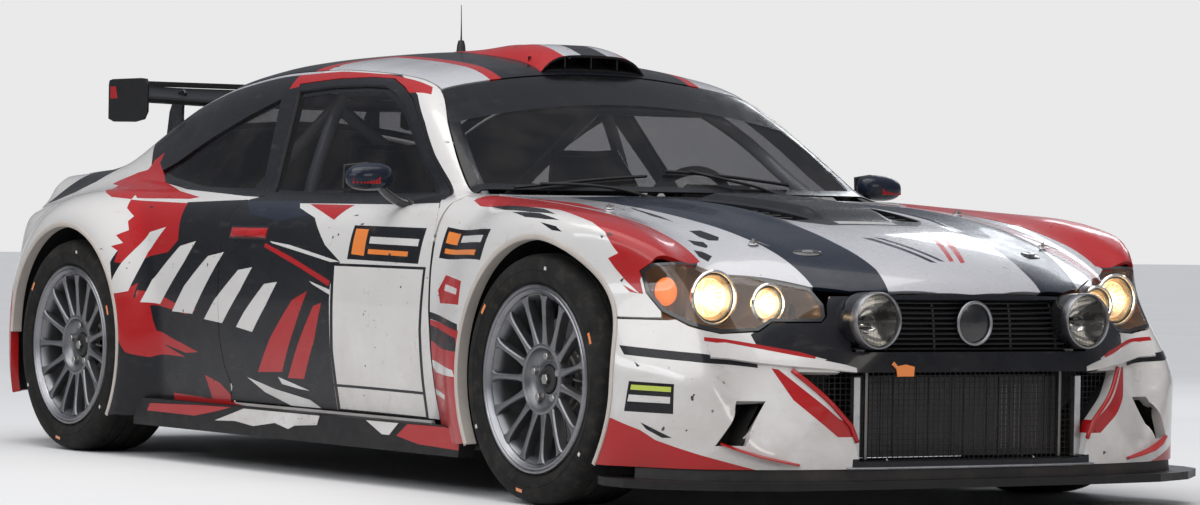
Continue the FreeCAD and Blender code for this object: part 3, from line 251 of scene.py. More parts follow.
def inside(pts, poly):
    full = np.zeros(len(pts), bool)
    low_, high_ = poly.min(0), poly.max(0)
    near = np.where((pts >= low_).all(1) & (pts <= high_).all(1))[0]
    if not len(near):
        return full
    x, y = pts[near, 0], pts[near, 1]
    res = np.zeros(len(near), bool)
    px, py = poly[:, 0], poly[:, 1]
    qx, qy = np.roll(px, -1), np.roll(py, -1)
    for i in range(len(poly)):
        if py[i] == qy[i]:
            continue
        c = (py[i] > y) != (qy[i] > y)
        if c.any():
            xi = (qx[i] - px[i]) * (y - py[i]) / (qy[i] - py[i]) + px[i]
            res ^= c & (x < xi)
    full[near] = res
    return full


# ------------------------------------------------------------------ materials
MATS = {}


def new_mat(name):
    m = bpy.data.materials.new(name)
    m.use_nodes = True
    t = m.node_tree
    t.nodes.clear()
    out = t.nodes.new("ShaderNodeOutputMaterial")
    MATS[name] = m
    return m, t, out


class T:
    """small helper round a node tree"""

    def __init__(self, tree):
        self.t = tree
        self.co = tree.nodes.new("ShaderNodeTexCoord")
        self.obj = self.co.outputs["Object"]

    def link(self, a, b):
        self.t.links.new(a, b)

    def noise(self, scale, detail=3.0, rough=0.5, vec=None, dist=0.0):
        n = self.t.nodes.new("ShaderNodeTexNoise")
        n.inputs["Scale"].default_value = scale
        n.inputs["Detail"].default_value = detail
        n.inputs["Roughness"].default_value = rough
        n.inputs["Distortion"].default_value = dist
        self.link(vec or self.obj, n.inputs["Vector"])
        return n.outputs["Fac"]

    def voronoi(self, scale, vec=None, feature="F1"):
        n = self.t.nodes.new("ShaderNodeTexVoronoi")
        n.feature = feature
        n.inputs["Scale"].default_value = scale
        self.link(vec or self.obj, n.inputs["Vector"])
        return n.outputs["Distance"]

    def ramp(self, fac, a, b, lo=0.0, hi=1.0):
        n = self.t.nodes.new("ShaderNodeMapRange")
        n.clamp = True
        n.inputs["From Min"].default_value = a
        n.inputs["From Max"].default_value = b
        n.inputs["To Min"].default_value = lo
        n.inputs["To Max"].default_value = hi
        self.link(fac, n.inputs["Value"])
        return n.outputs["Result"]

    def math(self, op, a, b=None, c=None):
        n = self.t.nodes.new("ShaderNodeMath")
        n.operation = op
        for i, v in enumerate((a, b, c)):
            if v is None:
                continue
            if isinstance(v, (int, float)):
                n.inputs[i].default_value = v
            else:
                self.link(v, n.inputs[i])
        return n.outputs[0]

    def mixc(self, fac, a, b):
        n = self.t.nodes.new("ShaderNodeMix")
        n.data_type = "RGBA"
        for i, v in ((0, fac), (6, a), (7, b)):
            if isinstance(v, (int, float)):
                n.inputs[i].default_value = v
            elif isinstance(v, tuple):
                n.inputs[i].default_value = (*v, 1.0)
            else:
                self.link(v, n.inputs[i])
        return n.outputs[2]

    def xyz(self, vec=None):
        n = self.t.nodes.new("ShaderNodeSeparateXYZ")
        self.link(vec or self.obj, n.inputs[0])
        return n.outputs

    def scaled(self, sx, sy, sz, vec=None):
        n = self.t.nodes.new("ShaderNodeMapping")
        n.inputs["Scale"].default_value = (sx, sy, sz)
        self.link(vec or self.obj, n.inputs["Vector"])
        return n.outputs[0]

    def bump(self, height, strength, dist):
        n = self.t.nodes.new("ShaderNodeBump")
        n.inputs["Strength"].default_value = strength
        n.inputs["Distance"].default_value = dist
        self.link(height, n.inputs["Height"])
        return n.outputs[0]


def shader(t, out, col, rough=0.5, metal=0.0, coat=0.0, coat_rough=0.05, spec=0.5, normal=None, sheen=0.0, emis=None, estr=0.0, aniso=0.0):
    p = t.t.nodes.new("ShaderNodeBsdfPrincipled")
    if isinstance(col, tuple):
        p.inputs["Base Color"].default_value = (*col, 1.0)
    else:
        t.link(col, p.inputs["Base Color"])
    if isinstance(rough, (int, float)):
        p.inputs["Roughness"].default_value = rough
    else:
        t.link(rough, p.inputs["Roughness"])
    p.inputs["Metallic"].default_value = metal
    p.inputs["Coat Weight"].default_value = coat
    p.inputs["Coat Roughness"].default_value = coat_rough
    p.inputs["Specular IOR Level"].default_value = spec
    p.inputs["Sheen Weight"].default_value = sheen
    p.inputs["Anisotropic"].default_value = aniso
    if normal is not None:
        t.link(normal, p.inputs["Normal"])
    if emis:
        p.inputs["Emission Color"].default_value = (*emis, 1.0)
        p.inputs["Emission Strength"].default_value = estr
    t.link(p.outputs[0], out.inputs[0])
    return p


def paint(name, col, fleck=(0.012, 0.012, 0.014), amount=0.0, coat=0.9, rough=0.32, dust=0.35, spec=0.5):
    m, tree, out = new_mat(name)
    t = T(tree)
    z = t.xyz()[2]
    big = t.noise(1.7, 4, 0.55)
    c = t.mixc(t.ramp(big, 0.35, 0.7, 0.0, 0.22), col, tuple(v * 0.72 for v in col))
    grime = t.math("MULTIPLY", t.ramp(z, 0.10, 0.62, dust, 0.02), t.ramp(t.noise(6.0, 6, 0.65), 0.35, 0.62))
    c = t.mixc(grime, c, (0.20, 0.145, 0.105))
    streak = t.noise(1.0, 4, 0.6, t.scaled(9.0, 9.0, 42.0))
    c = t.mixc(t.math("MULTIPLY", t.ramp(streak, 0.60, 0.74), 0.12), c, (0.16, 0.13, 0.11))
    if amount > 0:
        spots = t.noise(46.0, 2, 0.45)
        where = t.noise(4.2, 2, 0.5)
        limit = t.math("MULTIPLY", t.ramp(spots, 0.735 - 0.02 * amount, 0.748 - 0.02 * amount), t.ramp(where, 0.50, 0.56))
        c = t.mixc(limit, c, fleck)
        tears = t.noise(1.0, 3, 0.5, t.scaled(14.0, 30.0, 60.0))
        c = t.mixc(t.math("MULTIPLY", t.ramp(tears, 0.72, 0.73), t.ramp(where, 0.58, 0.60)), c, fleck)
    r = t.ramp(t.noise(14.0, 5, 0.6), 0.3, 0.7, rough - 0.06, rough + 0.10)
    b = t.bump(t.noise(420.0, 2, 0.5), 0.035, 0.0008)
    shader(t, out, c, r, 0.0, coat, 0.055, spec, b)
    return m


def plastic(name, col, rough=0.5, spec=0.4, grain=600.0, depth=0.12, coat=0.0, metal=0.0, var=0.25, dust=0.16):
    m, tree, out = new_mat(name)
    t = T(tree)
    c = t.mixc(t.ramp(t.noise(9.0, 5, 0.6), 0.35, 0.7, 0.0, var), col, tuple(min(1, v * 1.6 + 0.006) for v in col))
    z = t.xyz()[2]
    c = t.mixc(t.math("MULTIPLY", t.ramp(z, 0.08, 0.5, dust, 0.0), t.ramp(t.noise(7.0, 5, 0.6), 0.4, 0.65)), c, (0.17, 0.13, 0.10))
    r = t.ramp(t.noise(22.0, 4, 0.6), 0.3, 0.7, max(0.05, rough - 0.08), min(1, rough + 0.10))
    shader(t, out, c, r, metal, coat, 0.08, spec, t.bump(t.noise(grain, 2, 0.5), depth, 0.0006))
    return m


def metal(name, col, rough=0.3, scratch=0.3, ring=None, metalness=1.0, dirt=0.3):
    m, tree, out = new_mat(name)
    t = T(tree)
    c = t.mixc(t.ramp(t.noise(11.0, 5, 0.6), 0.35, 0.7, 0.0, 0.35), col, tuple(v * 0.6 for v in col))
    c = t.mixc(t.math("MULTIPLY", t.ramp(t.noise(18.0, 6, 0.7), 0.55, 0.72), dirt), c, (0.06, 0.045, 0.035))
    vec = t.scaled(30.0, 260.0, 30.0)
    r = t.ramp(t.noise(1.0, 4, 0.6, vec), 0.3, 0.7, max(0.05, rough - 0.5 * scratch * rough), rough + scratch * rough)
    shader(t, out, c, r, metalness, 0.0, 0.05, 0.5, t.bump(t.noise(1.0, 3, 0.6, t.scaled(120.0, 900.0, 120.0)), 0.06, 0.0004))
    return m


def glass(name, tint, refl=0.0, rough=0.01, dust=0.03):
    m, tree, out = new_mat(name)
    t = T(tree)
    tr = tree.nodes.new("ShaderNodeBsdfTransparent")
    tr.inputs[0].default_value = (*tint, 1.0)
    gl = tree.nodes.new("ShaderNodeBsdfGlossy")
    gl.inputs["Roughness"].default_value = rough
    gl.inputs["Color"].default_value = (0.42, 0.42, 0.43, 1)
    fr = tree.nodes.new("ShaderNodeFresnel")
    geo = tree.nodes.new("ShaderNodeNewGeometry")
    t.link(t.math("SUBTRACT", 1.5, t.math("MULTIPLY", geo.outputs["Backfacing"], 1.5 - 1 / 1.5)), fr.inputs["IOR"])
    mx = tree.nodes.new("ShaderNodeMixShader")
    t.link(t.math("MINIMUM", t.math("ADD", fr.outputs[0], refl), 1.0), mx.inputs[0])
    t.link(tr.outputs[0], mx.inputs[1])
    t.link(gl.outputs[0], mx.inputs[2])
    df = tree.nodes.new("ShaderNodeBsdfDiffuse")
    df.inputs[0].default_value = (0.32, 0.27, 0.22, 1)
    m2 = tree.nodes.new("ShaderNodeMixShader")
    t.link(t.math("MULTIPLY", t.ramp(t.noise(7.0, 6, 0.65), 0.42, 0.75), dust), m2.inputs[0])
    t.link(mx.outputs[0], m2.inputs[1])
    t.link(df.outputs[0], m2.inputs[2])
    t.link(m2.outputs[0], out.inputs[0])
    return m


def glow(name, col, strength, base=(0.8, 0.7, 0.5), metalness=0.0):
    m, tree, out = new_mat(name)
    t = T(tree)
    c = t.mixc(t.ramp(t.noise(60.0, 3, 0.5), 0.3, 0.7), base, tuple(v * 0.8 for v in base))
    shader(t, out, c, 0.22, metalness, 0.0, 0.05, 0.5, None, 0.0, col, strength)
    return m


def carbon(name, dark=0.010, light=0.034, size=260.0, rough=0.3, coat=0.9):
    m, tree, out = new_mat(name)
    t = T(tree)
    ch = tree.nodes.new("ShaderNodeTexChecker")
    ch.inputs["Scale"].default_value = size
    ch.inputs["Color1"].default_value = (dark, dark, dark * 1.05, 1)
    ch.inputs["Color2"].default_value = (light, light, light * 1.05, 1)
    t.link(t.obj, ch.inputs["Vector"])
    c = t.mixc(t.ramp(t.noise(8.0, 6, 0.65), 0.45, 0.72, 0.0, 0.30), ch.outputs[0], (0.075, 0.060, 0.048))
    r = t.ramp(t.noise(20.0, 4, 0.6), 0.3, 0.7, rough, rough + 0.16)
    shader(t, out, c, r, 0.0, coat, 0.10, 0.5, t.bump(ch.outputs[1], 0.10, 0.0004))
    return m


def cloth(name, col, weave=900.0, rough=0.92, depth=0.5, sheen=0.25):
    m, tree, out = new_mat(name)
    t = T(tree)
    c = t.mixc(t.ramp(t.noise(14.0, 5, 0.6), 0.3, 0.7), col, tuple(v * 0.62 for v in col))
    w1 = tree.nodes.new("ShaderNodeTexWave")
    w1.inputs["Scale"].default_value = weave / 6.0
    w1.bands_direction = "X"
    w2 = tree.nodes.new("ShaderNodeTexWave")
    w2.inputs["Scale"].default_value = weave / 6.0
    w2.bands_direction = "Z"
    t.link(t.obj, w1.inputs["Vector"])
    t.link(t.obj, w2.inputs["Vector"])
    h = t.math("MAXIMUM", w1.outputs["Fac"], w2.outputs["Fac"])
    shader(t, out, c, rough, 0.0, 0.0, 0.05, 0.25, t.bump(h, depth, 0.0008), sheen)
    return m


WHITE = paint("paint_white", (0.575, 0.56, 0.545), amount=1.0)
# the body white darkened and cooled: painted shade on the hood, roof and scoop tops, and the colour of the painted
# highlight strip along the rear roof edge
WHITE_SHADE_AND_HIGHLIGHT = paint("paint_white_painted_shade_and_highlight", (0.44, 0.44, 0.465), amount=0.8, rough=0.26, dust=0.2)
RED = paint("paint_red", (0.34, 0.003, 0.005), (0.014, 0.012, 0.012), amount=0.35, dust=0.03, coat=0.35, spec=0.3)
BLACK = paint("paint_black", (0.007, 0.008, 0.011), (0.35, 0.34, 0.33), amount=0.0, rough=0.28, dust=0.03, coat=0.16, spec=0.18)
# black paint with a dark-blue cast: a painted sheen, used for the hood stripes, the mirror pods and the sheen patch on
# the door
BLACK_BLUE_SHEEN = paint("paint_black_painted_blue_sheen", (0.009, 0.014, 0.026), (0.35, 0.34, 0.33), amount=0.0, rough=0.26, dust=0.03, coat=0.20, spec=0.18)
GREY = paint("paint_grey", (0.10, 0.10, 0.11), amount=0.0)
ORANGE = paint("paint_orange", (0.75, 0.20, 0.02), amount=0.2)
YELLOW = paint("paint_lime", (0.45, 0.55, 0.05), amount=0.2)
CREAM = paint("paint_panel_white", (0.60, 0.58, 0.555), amount=0.55)
BARE = plastic("bare_composite", (0.030, 0.030, 0.032), 0.7, 0.3, 240.0, 0.3)
TRIM = plastic("trim_black", (0.012, 0.012, 0.013), 0.55, 0.4)
GLOSSBLACK = plastic("gloss_black", (0.008, 0.008, 0.009), 0.22, 0.5, 400.0, 0.03, 0.6)
RUBBER = plastic("seal_rubber", (0.010, 0.010, 0.010), 0.85, 0.2)
# the arch lips: the body white darkened to beige-grey, painted shade of the rolled edge
LIP_PAINTED_SHADE = plastic("arch_edge", (0.40, 0.36, 0.325), 0.50, 0.35, 300.0, 0.2)
CARBON = carbon("carbon_weave")
CARBONM = carbon("carbon_matt", 0.012, 0.030, 220.0, 0.5, 0.25)
GLASS = glass("glass_smoked", (0.70, 0.70, 0.71), 0.0)
GLASSD = glass("glass_dark", (0.64, 0.64, 0.65), 0.0)
LENS = glass("lens_clear", (0.93, 0.92, 0.90), 0.015, 0.02, 0.05)
FRIT = plastic("glass_border_black", (0.005, 0.005, 0.006), 0.20, 0.25, 500.0, 0.02, 0.12, 0.0, 0.15, 0.04)
CHROME = metal("reflector_chrome", (0.86, 0.84, 0.80), 0.10, 0.2, None, 1.0, 0.05)
ALU = metal("brushed_alloy", (0.55, 0.55, 0.56), 0.32)
STEEL = metal("dark_steel", (0.22, 0.21, 0.20), 0.42)
BOLT = metal("bolt_steel", (0.42, 0.41, 0.40), 0.30)
RIM = metal("rim_gunmetal", (0.20, 0.202, 0.21), 0.36, 0.25, None, 0.85, 0.35)
RIMLIP = metal("rim_lip_machined", (0.27, 0.27, 0.285), 0.34, 0.3, None, 1.0, 0.25)
IRON = metal("disc_iron", (0.30, 0.28, 0.27), 0.34, 0.5, None, 1.0, 0.35)
CALIPER = paint("caliper_lacquer", (0.035, 0.035, 0.040), amount=0.0, rough=0.4)
CAGE = paint("cage_lacquer", (0.34, 0.35, 0.37), amount=0.0, rough=0.4, dust=0.1)
SUEDE = cloth("suede_black", (0.022, 0.022, 0.024), 1400.0, 0.95, 0.4)
SEATCLOTH = cloth("seat_cloth", (0.030, 0.031, 0.036), 900.0)
SEATRED = cloth("seat_cloth_red", (0.26, 0.012, 0.014), 900.0)
WEBBING = cloth("belt_webbing", (0.30, 0.012, 0.014), 2200.0, 0.8, 0.7)
FOAM = cloth("door_pad_cloth", (0.05, 0.05, 0.055), 700.0)
AMBERGLOW = glow("amber_lamp", (1.0, 0.20, 0.02), 0.9, (0.9, 0.22, 0.03))
# headlamp reflector bowl and its centre glow though they are no lamps: painted glow of the bulb's light
BOWL_PAINTED_GLOW = glow("bowl_painted_glow", (1.0, 0.55, 0.22), 0.20, (0.55, 0.42, 0.28), 0.75)
BOWL_CORE_PAINTED_GLOW = glow("bowl_core_painted_glow", (1.0, 0.66, 0.34), 0.85, (0.8, 0.65, 0.45), 0.5)
WARMBULB = glow("warm_bulb", (1.0, 0.86, 0.62), 7.0, (1.0, 0.9, 0.7))
# lamp bucket, divider and back plate: dark housing with a faint painted glow of the lamp's light
BUCKET_PAINTED_GLOW = glow("bucket_painted_glow", (1.0, 0.45, 0.15), 0.035, (0.13, 0.085, 0.055), 0.3)
REDLENS = plastic("lens_red", (0.30, 0.004, 0.006), 0.12, 0.5, 500.0, 0.02, 1.0)
WINGBLACK = plastic("wing_black", (0.006, 0.006, 0.007), 0.42, 0.25, 420.0, 0.06, 0.0, 0.0, 0.15, 0.03)
COREDARK = metal("core_dark", (0.09, 0.09, 0.09), 0.5)
SCREENM = plastic("instrument_face", (0.012, 0.016, 0.020), 0.15, 0.5, 500.0, 0.01, 1.0)


def tyre_mat():
    m, tree, out = new_mat("tyre_rubber_worn")
    t = T(tree)
    c = t.mixc(t.ramp(t.noise(10.0, 6, 0.65), 0.35, 0.70), (0.006, 0.006, 0.006), (0.015, 0.014, 0.013))
    c = t.mixc(t.math("MULTIPLY", t.ramp(t.noise(30.0, 6, 0.7), 0.50, 0.72), 0.22), c, (0.10, 0.08, 0.06))
    r = t.ramp(t.noise(16.0, 4, 0.6), 0.3, 0.7, 0.66, 0.88)
    shader(t, out, c, r, 0.0, 0.0, 0.05, 0.20, t.bump(t.noise(520.0, 3, 0.6), 0.22, 0.0006))
    return m


TYRE = tyre_mat()


# ------------------------------------------------------------------ mesh helpers
def make(name, verts, faces, mats, idx=None, normals=None, smooth=True, ride=None, repl=()):
    me = bpy.data.meshes.new(name)
    me.from_pydata([tuple(v) for v in np.asarray(verts, float) * 0.001], [], [tuple(int(i) for i in f) for f in faces])
    for m in (mats if isinstance(mats, (list, tuple)) else [mats]):
        me.materials.append(m)
    if idx is not None:
        me.polygons.foreach_set("material_index", np.asarray(idx, np.int32))
    if smooth is True or smooth is False:
        me.polygons.foreach_set("use_smooth", np.full(len(me.polygons), smooth))
    else:
        me.polygons.foreach_set("use_smooth", np.asarray(smooth, bool))
    me.update()
    if normals is not None:
        me.normals_split_custom_set_from_vertices([tuple(n) for n in np.asarray(normals, float)])
    o = bpy.data.objects.new(name, me)
    bpy.context.scene.collection.objects.link(o)
    if ride:
        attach(o, ride)
    if repl:
        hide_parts(*repl)
    return o


def mirrored(o, name, ride, repl=()):
    me = o.data.copy()
    co = np.zeros(len(me.vertices) * 3)
    me.vertices.foreach_get("co", co)
    co = co.reshape(-1, 3)
    co[:, 1] *= -1
    nr = None
    if me.has_custom_normals:
        cn = np.zeros(len(me.loops) * 3)
        me.corner_normals.foreach_get("vector", cn)
        cn = cn.reshape(-1, 3)
        vi = np.zeros(len(me.loops), np.int32)
        me.loops.foreach_get("vertex_index", vi)
        nr = np.zeros_like(co)
        nr[vi] = cn
        nr[:, 1] *= -1
    faces = [tuple(reversed(p.vertices)) for p in me.polygons]
    idx = [p.material_index for p in me.polygons]
    sm = [p.use_smooth for p in me.polygons]
    mats = list(me.materials)
    bpy.data.meshes.remove(me)
    return make(name, co * 1000, faces, mats, idx, nr, sm, ride, repl)


def panel(name, dom, outline, holes=(), layers=(), base=None, ride="chassis", repl=(), step=17.0, inset=1.9, depth=14.0,
          edge=9.0, sink=0.0, height=None, inner=None, hole_grow=0.0, hard=True):
    """a shell panel: outline, holes and colour fields are 3-D points on the body"""
    base = base or WHITE
    inner = inner or BARE
    rim = grow(dens(dom.to(outline), edge), -inset)
    hl = [grow(dens(dom.to(h), edge), hole_grow) for h in holes]
    fields = []
    low, high = rim.min(0), rim.max(0)
    for mat, pts in layers:
        q = dom.to(pts)
        if (q.max(0) < low).any() or (q.min(0) > high).any():
            continue
        fields.append((mat, dens(q, 14.0)))
    # grid of inner points
    xs = np.arange(low[0] + step * 0.4, high[0], step)
    ys = np.arange(low[1] + step * 0.4, high[1], step * 0.87)
    gx, gy = np.meshgrid(xs, ys)
    gx = gx + (np.arange(len(ys)) % 2)[:, None] * step * 0.5
    g = np.stack([gx.ravel(), gy.ravel()], -1)
    g = g[inside(g, rim)]
    for h in hl:
        g = g[~inside(g, h)]
    cons = np.concatenate([rim] + hl + [f for _, f in fields])
    ok = np.ones(len(g), bool)
    for k in range(0, len(cons), 400):
        d = np.abs(g[:, None, :] - cons[None, k:k + 400, :]).max(2).min(1)
        ok &= d > step * 0.42
    g = g[ok]
    verts, edges = [], []
    for loop in [rim] + hl + [f for _, f in fields]:
        n0 = len(verts)
        verts += [Vector(p) for p in loop]
        edges += [(n0 + i, n0 + (i + 1) % len(loop)) for i in range(len(loop))]
    verts += [Vector(p) for p in g]
    res = delaunay_2d_cdt(verts, edges, [], 0, 0.02, False)
    q = np.array([tuple(v) for v in res[0]], float)
    tri = np.array([f for f in res[2] if len(f) == 3], int)
    c = q[tri].mean(1)
    m = inside(c, rim)
    for h in hl:
        m &= ~inside(c, h)
    e1, e2 = q[tri[:, 1]] - q[tri[:, 0]], q[tri[:, 2]] - q[tri[:, 0]]
    m &= np.abs(e1[:, 0] * e2[:, 1] - e1[:, 1] * e2[:, 0]) > 0.02
    tri, c = tri[m], c[m]
    used = np.unique(tri)
    remap = np.full(len(q), -1)
    remap[used] = np.arange(len(used))
    q, tri = q[used], remap[tri]
    mats = [base]
    idx = np.zeros(len(tri), int)
    for mat, f in fields:
        k = inside(c, f)
        if k.any():
            if mat not in mats:
                mats.append(mat)
            idx[k] = mats.index(mat)
    p = dom.hit(q)
    n = gradient(p)
    fn = np.cross(p[tri[:, 1]] - p[tri[:, 0]], p[tri[:, 2]] - p[tri[:, 0]])
    if (fn * n[tri].mean(1)).sum() < 0:
        tri = tri[:, ::-1]
    if sink:
        p = p - n * sink
    if height is not None:
        dz, hx, hy = height(p)
        nz = np.maximum(n[:, 2], 0.15)
        n = np.stack([n[:, 0] / nz - hx, n[:, 1] / nz - hy, np.ones(len(n))], -1)
        n /= np.linalg.norm(n, axis=1)[:, None]
        p = p + np.stack([0 * dz, 0 * dz, dz], -1)
    # rim of the sheet
    ed = np.concatenate([tri[:, [0, 1]], tri[:, [1, 2]], tri[:, [2, 0]]])
    own = np.tile(np.arange(len(tri)), 3)
    key = ed[:, 0].astype(np.int64) * len(q) + ed[:, 1]
    rev = ed[:, 1].astype(np.int64) * len(q) + ed[:, 0]
    b = ~np.isin(key, rev)
    ed, own = ed[b], own[b]
    out = np.zeros_like(p)
    for s in (0, 1):
        dr = p[ed[:, 1]] - p[ed[:, 0]]
        dr /= np.maximum(np.linalg.norm(dr, axis=1), 1e-9)[:, None]
        np.add.at(out, ed[:, s], np.cross(dr, n[ed[:, s]]))
    bv = np.unique(ed)
    o3 = out[bv]
    o3 /= np.maximum(np.linalg.norm(o3, axis=1), 1e-9)[:, None]
    pos = {v: i for i, v in enumerate(bv)}
    dp = depth(p) if callable(depth) else np.full(len(p), float(depth))
    n0 = len(p)
    ring1 = p[bv] + o3 * 0.9 - n[bv] * 1.2
    ring2 = p[bv] + o3 * 0.9 - n[bv] * dp[bv][:, None]
    inn = p - n * dp[:, None]
    inn[bv] = ring2
    V3 = np.concatenate([p, ring1, ring2, inn])
    N3 = np.concatenate([n, o3, o3, -n])
    nb = len(bv)
    faces = [tuple(f) for f in tri]
    ids = list(idx)
    if inner not in mats:
        mats.append(inner)
    ii = mats.index(inner)
    for (a, c2), w in zip(ed, own):
        ia, ic = pos[a], pos[c2]
        faces.append((c2, a, n0 + ia, n0 + ic))
        ids.append(idx[w])
        faces.append((n0 + ic, n0 + ia, n0 + nb + ia, n0 + nb + ic))
        ids.append(ii if depth is not None and float(np.max(dp)) > 30 else idx[w])
    k0 = n0 + 2 * nb
    for f in tri:
        faces.append((k0 + f[2], k0 + f[1], k0 + f[0]))
        ids.append(ii)
    return make(name, V3, faces, mats, ids, N3, True, ride, repl)


def revolve(prof, n=96, axis="y", closed=True, arc=None):
    """profile of (radius, along) swept round the axis; returns verts and quads"""
    prof = np.asarray(prof, float)
    k = len(prof)
    ang = np.linspace(0, 2 * math.pi, n, endpoint=False) if arc is None else np.linspace(arc[0], arc[1], n)
    v = []
    for a in ang:
        c, s = math.cos(a), math.sin(a)
        for r, y in prof:
            if axis == "y":
                v.append((r * c, y, r * s))
            elif axis == "x":
                v.append((y, r * c, r * s))
            else:
                v.append((r * c, r * s, y))
    f = []
    for i in range(n if arc is None else n - 1):
        j = (i + 1) % n
        for m in range(k if closed else k - 1):
            m2 = (m + 1) % k
            f.append((i * k + m, i * k + m2, j * k + m2, j * k + m))
    return np.array(v), f


class Mesh:
    """collects pieces, each with its own material, into one object"""

    def __init__(self):
        self.v, self.f, self.i, self.m, self.s = [], [], [], [], []

    def mat(self, m):
        if m not in self.m:
            self.m.append(m)
        return self.m.index(m)

    def add(self, verts, faces, m, smooth=True):
        n0 = sum(len(a) for a in self.v)
        self.v.append(np.asarray(verts, float))
        k = self.mat(m)
        for f in faces:
            self.f.append(tuple(n0 + i for i in f))
            self.i.append(k)
            self.s.append(smooth)
        return self

    def done(self, name, ride, repl=(), auto=38.0, offset=(0, 0, 0)):
        v = np.concatenate(self.v) + np.asarray(offset, float)
        o = make(name, v, self.f, self.m, self.i, None, self.s, None, ())
        fix_normals(o)
        if auto:
            sharp_edges(o, auto)
        if ride:
            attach(o, ride)
        if repl:
            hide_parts(*repl)
        return o


def fix_normals(o):
    bm = bmesh.new()
    bm.from_mesh(o.data)
    bmesh.ops.recalc_face_normals(bm, faces=bm.faces)
    bm.to_mesh(o.data)
    bm.free()


def sharp_edges(o, deg):
    bm = bmesh.new()
    bm.from_mesh(o.data)
    lim = math.radians(deg)
    for e in bm.edges:
        if len(e.link_faces) == 2:
            e.smooth = e.calc_face_angle(0) < lim
    bm.to_mesh(o.data)
    bm.free()


def tube(path, r, n=12, closed=False, cap=True):
    """round bar along a path; r is a number or a list"""
    p = np.asarray(path, float)
    k = len(p)
    rr = np.full(k, r, float) if np.isscalar(r) else np.asarray(r, float)
    t = np.gradient(p, axis=0) if not closed else np.roll(p, -1, 0) - np.roll(p, 1, 0)
    t /= np.maximum(np.linalg.norm(t, axis=1), 1e-9)[:, None]
    u = np.cross(t[0], [0, 0, 1.0])
    if np.linalg.norm(u) < 0.1:
        u = np.cross(t[0], [0, 1.0, 0])
    u /= np.linalg.norm(u)
    v, f = [], []
    for i in range(k):
        u = u - t[i] * (u @ t[i])
        u /= max(np.linalg.norm(u), 1e-9)
        w = np.cross(t[i], u)
        for j in range(n):
            a = 2 * math.pi * j / n
            v.append(p[i] + rr[i] * (u * math.cos(a) + w * math.sin(a)))
    for i in range(k if closed else k - 1):
        i2 = (i + 1) % k
        for j in range(n):
            j2 = (j + 1) % n
            f.append((i * n + j, i * n + j2, i2 * n + j2, i2 * n + j))
    if cap and not closed:
        f.append(tuple(reversed(range(n))))
        f.append(tuple((k - 1) * n + j for j in range(n)))
    return np.array(v), f


def smooth_path(pts, n=8):
    """Catmull-Rom curve through points"""
    p = [np.asarray(q, float) for q in pts]
    p = [2 * p[0] - p[1]] + p + [2 * p[-1] - p[-2]]
    out = []
    for i in range(1, len(p) - 2):
        for j in range(n):
            t = j / n
            out.append(0.5 * ((2 * p[i]) + (-p[i - 1] + p[i + 1]) * t + (2 * p[i - 1] - 5 * p[i] + 4 * p[i + 1] - p[i + 2]) * t * t + (-p[i - 1] + 3 * p[i] - 3 * p[i + 1] + p[i + 2]) * t ** 3))
    out.append(p[-2])
    return np.array(out)


def slab(poly, h0, h1, plane="xy", bevel=2.0):
    """flat outline swept between two heights, with bevelled edges"""
    p = np.asarray(poly, float)
    ins = grow(p, -bevel)
    if len(ins) != len(p):
        p = ins
        ins = grow(p, -bevel)
    b = min(bevel, (h1 - h0) * 0.45)
    layers = [(ins, h0), (p, h0 + b), (p, h1 - b), (ins, h1)]
    v = []
    for q, h in layers:
        for a in q:
            v.append({"xy": (a[0], a[1], h), "xz": (a[0], h, a[1]), "yz": (h, a[0], a[1])}[plane])
    n = len(p)
    f = []
    for l in range(3):
        for i in range(n):
            j = (i + 1) % n
            f.append((l * n + i, l * n + j, (l + 1) * n + j, (l + 1) * n + i))
    f.append(tuple(reversed(range(n))))
    f.append(tuple(3 * n + i for i in range(n)))
    return np.array(v), f


def block(x0, x1, y0, y1, z0, z1, bevel=2.0):
    return slab([(x0, y0), (x1, y0), (x1, y1), (x0, y1)], z0, z1, "xy", bevel)


def disc_of(r, h0, h1, at, axis="x", n=32, bevel=1.5):
    """short round part with bevelled edges, its axis along x, y or z"""
    prof = [(0.01, h0), (r - bevel, h0), (r, h0 + bevel), (r, h1 - bevel), (r - bevel, h1), (0.01, h1)]
    v, f = revolve(prof, n, axis, False)
    return v + np.asarray(at, float), f


def turned(v, matrix, at=(0, 0, 0)):
    m = np.array(matrix.to_3x3())
    return np.asarray(v) @ m.T + np.asarray(at, float)


def flipy(v):
    v = np.array(v, float)
    v[:, 1] *= -1
    return v


# ------------------------------------------------------------------ outlines of the body panels
DOOR = [(-430, 200), (-412, 245), (-452, 310), (-476, 400), (-486, 540), (-488, 700), (-484, 775), (-462, 812), (-384, 828),
        (-444, 985), (-512, 1176), (-300, 1189), (-100, 1191), (22, 1185), (118, 1157), (205, 1120), (325, 1036), (445, 944), (560, 873),
        (672, 818), (706, 802), (738, 760), (750, 700), (752, 620), (755, 510), (768, 400), (788, 300), (806, 225), (810, 200)]
DOOR_WIN = [(-352, 840), (-486, 1153), (-300, 1165), (-100, 1167), (14, 1162), (105, 1135), (188, 1098), (310, 1014), (428, 926), (575, 838), (300, 832), (0, 830)]
QUARTER = [(-432, 846), (-578, 1130), (-755, 1077), (-946, 1011), (-1140, 934), (-1232, 907), (-1205, 896), (-1112, 880), (-833, 852), (-600, 846)]
side_dom = Side()
fender_dom = Side(440.0, 450.0, 900.0)


def arch_pts(cx, r, a0, a1, n=60):
    return [(cx + r * math.cos(math.radians(a)), 345 + r * math.sin(math.radians(a))) for a in np.linspace(a0, a1, n)]


door3 = on_side(dens(DOOR, 25))
win3 = on_side(dens(DOOR_WIN, 25))
quarter3 = on_side(dens(QUARTER, 25))

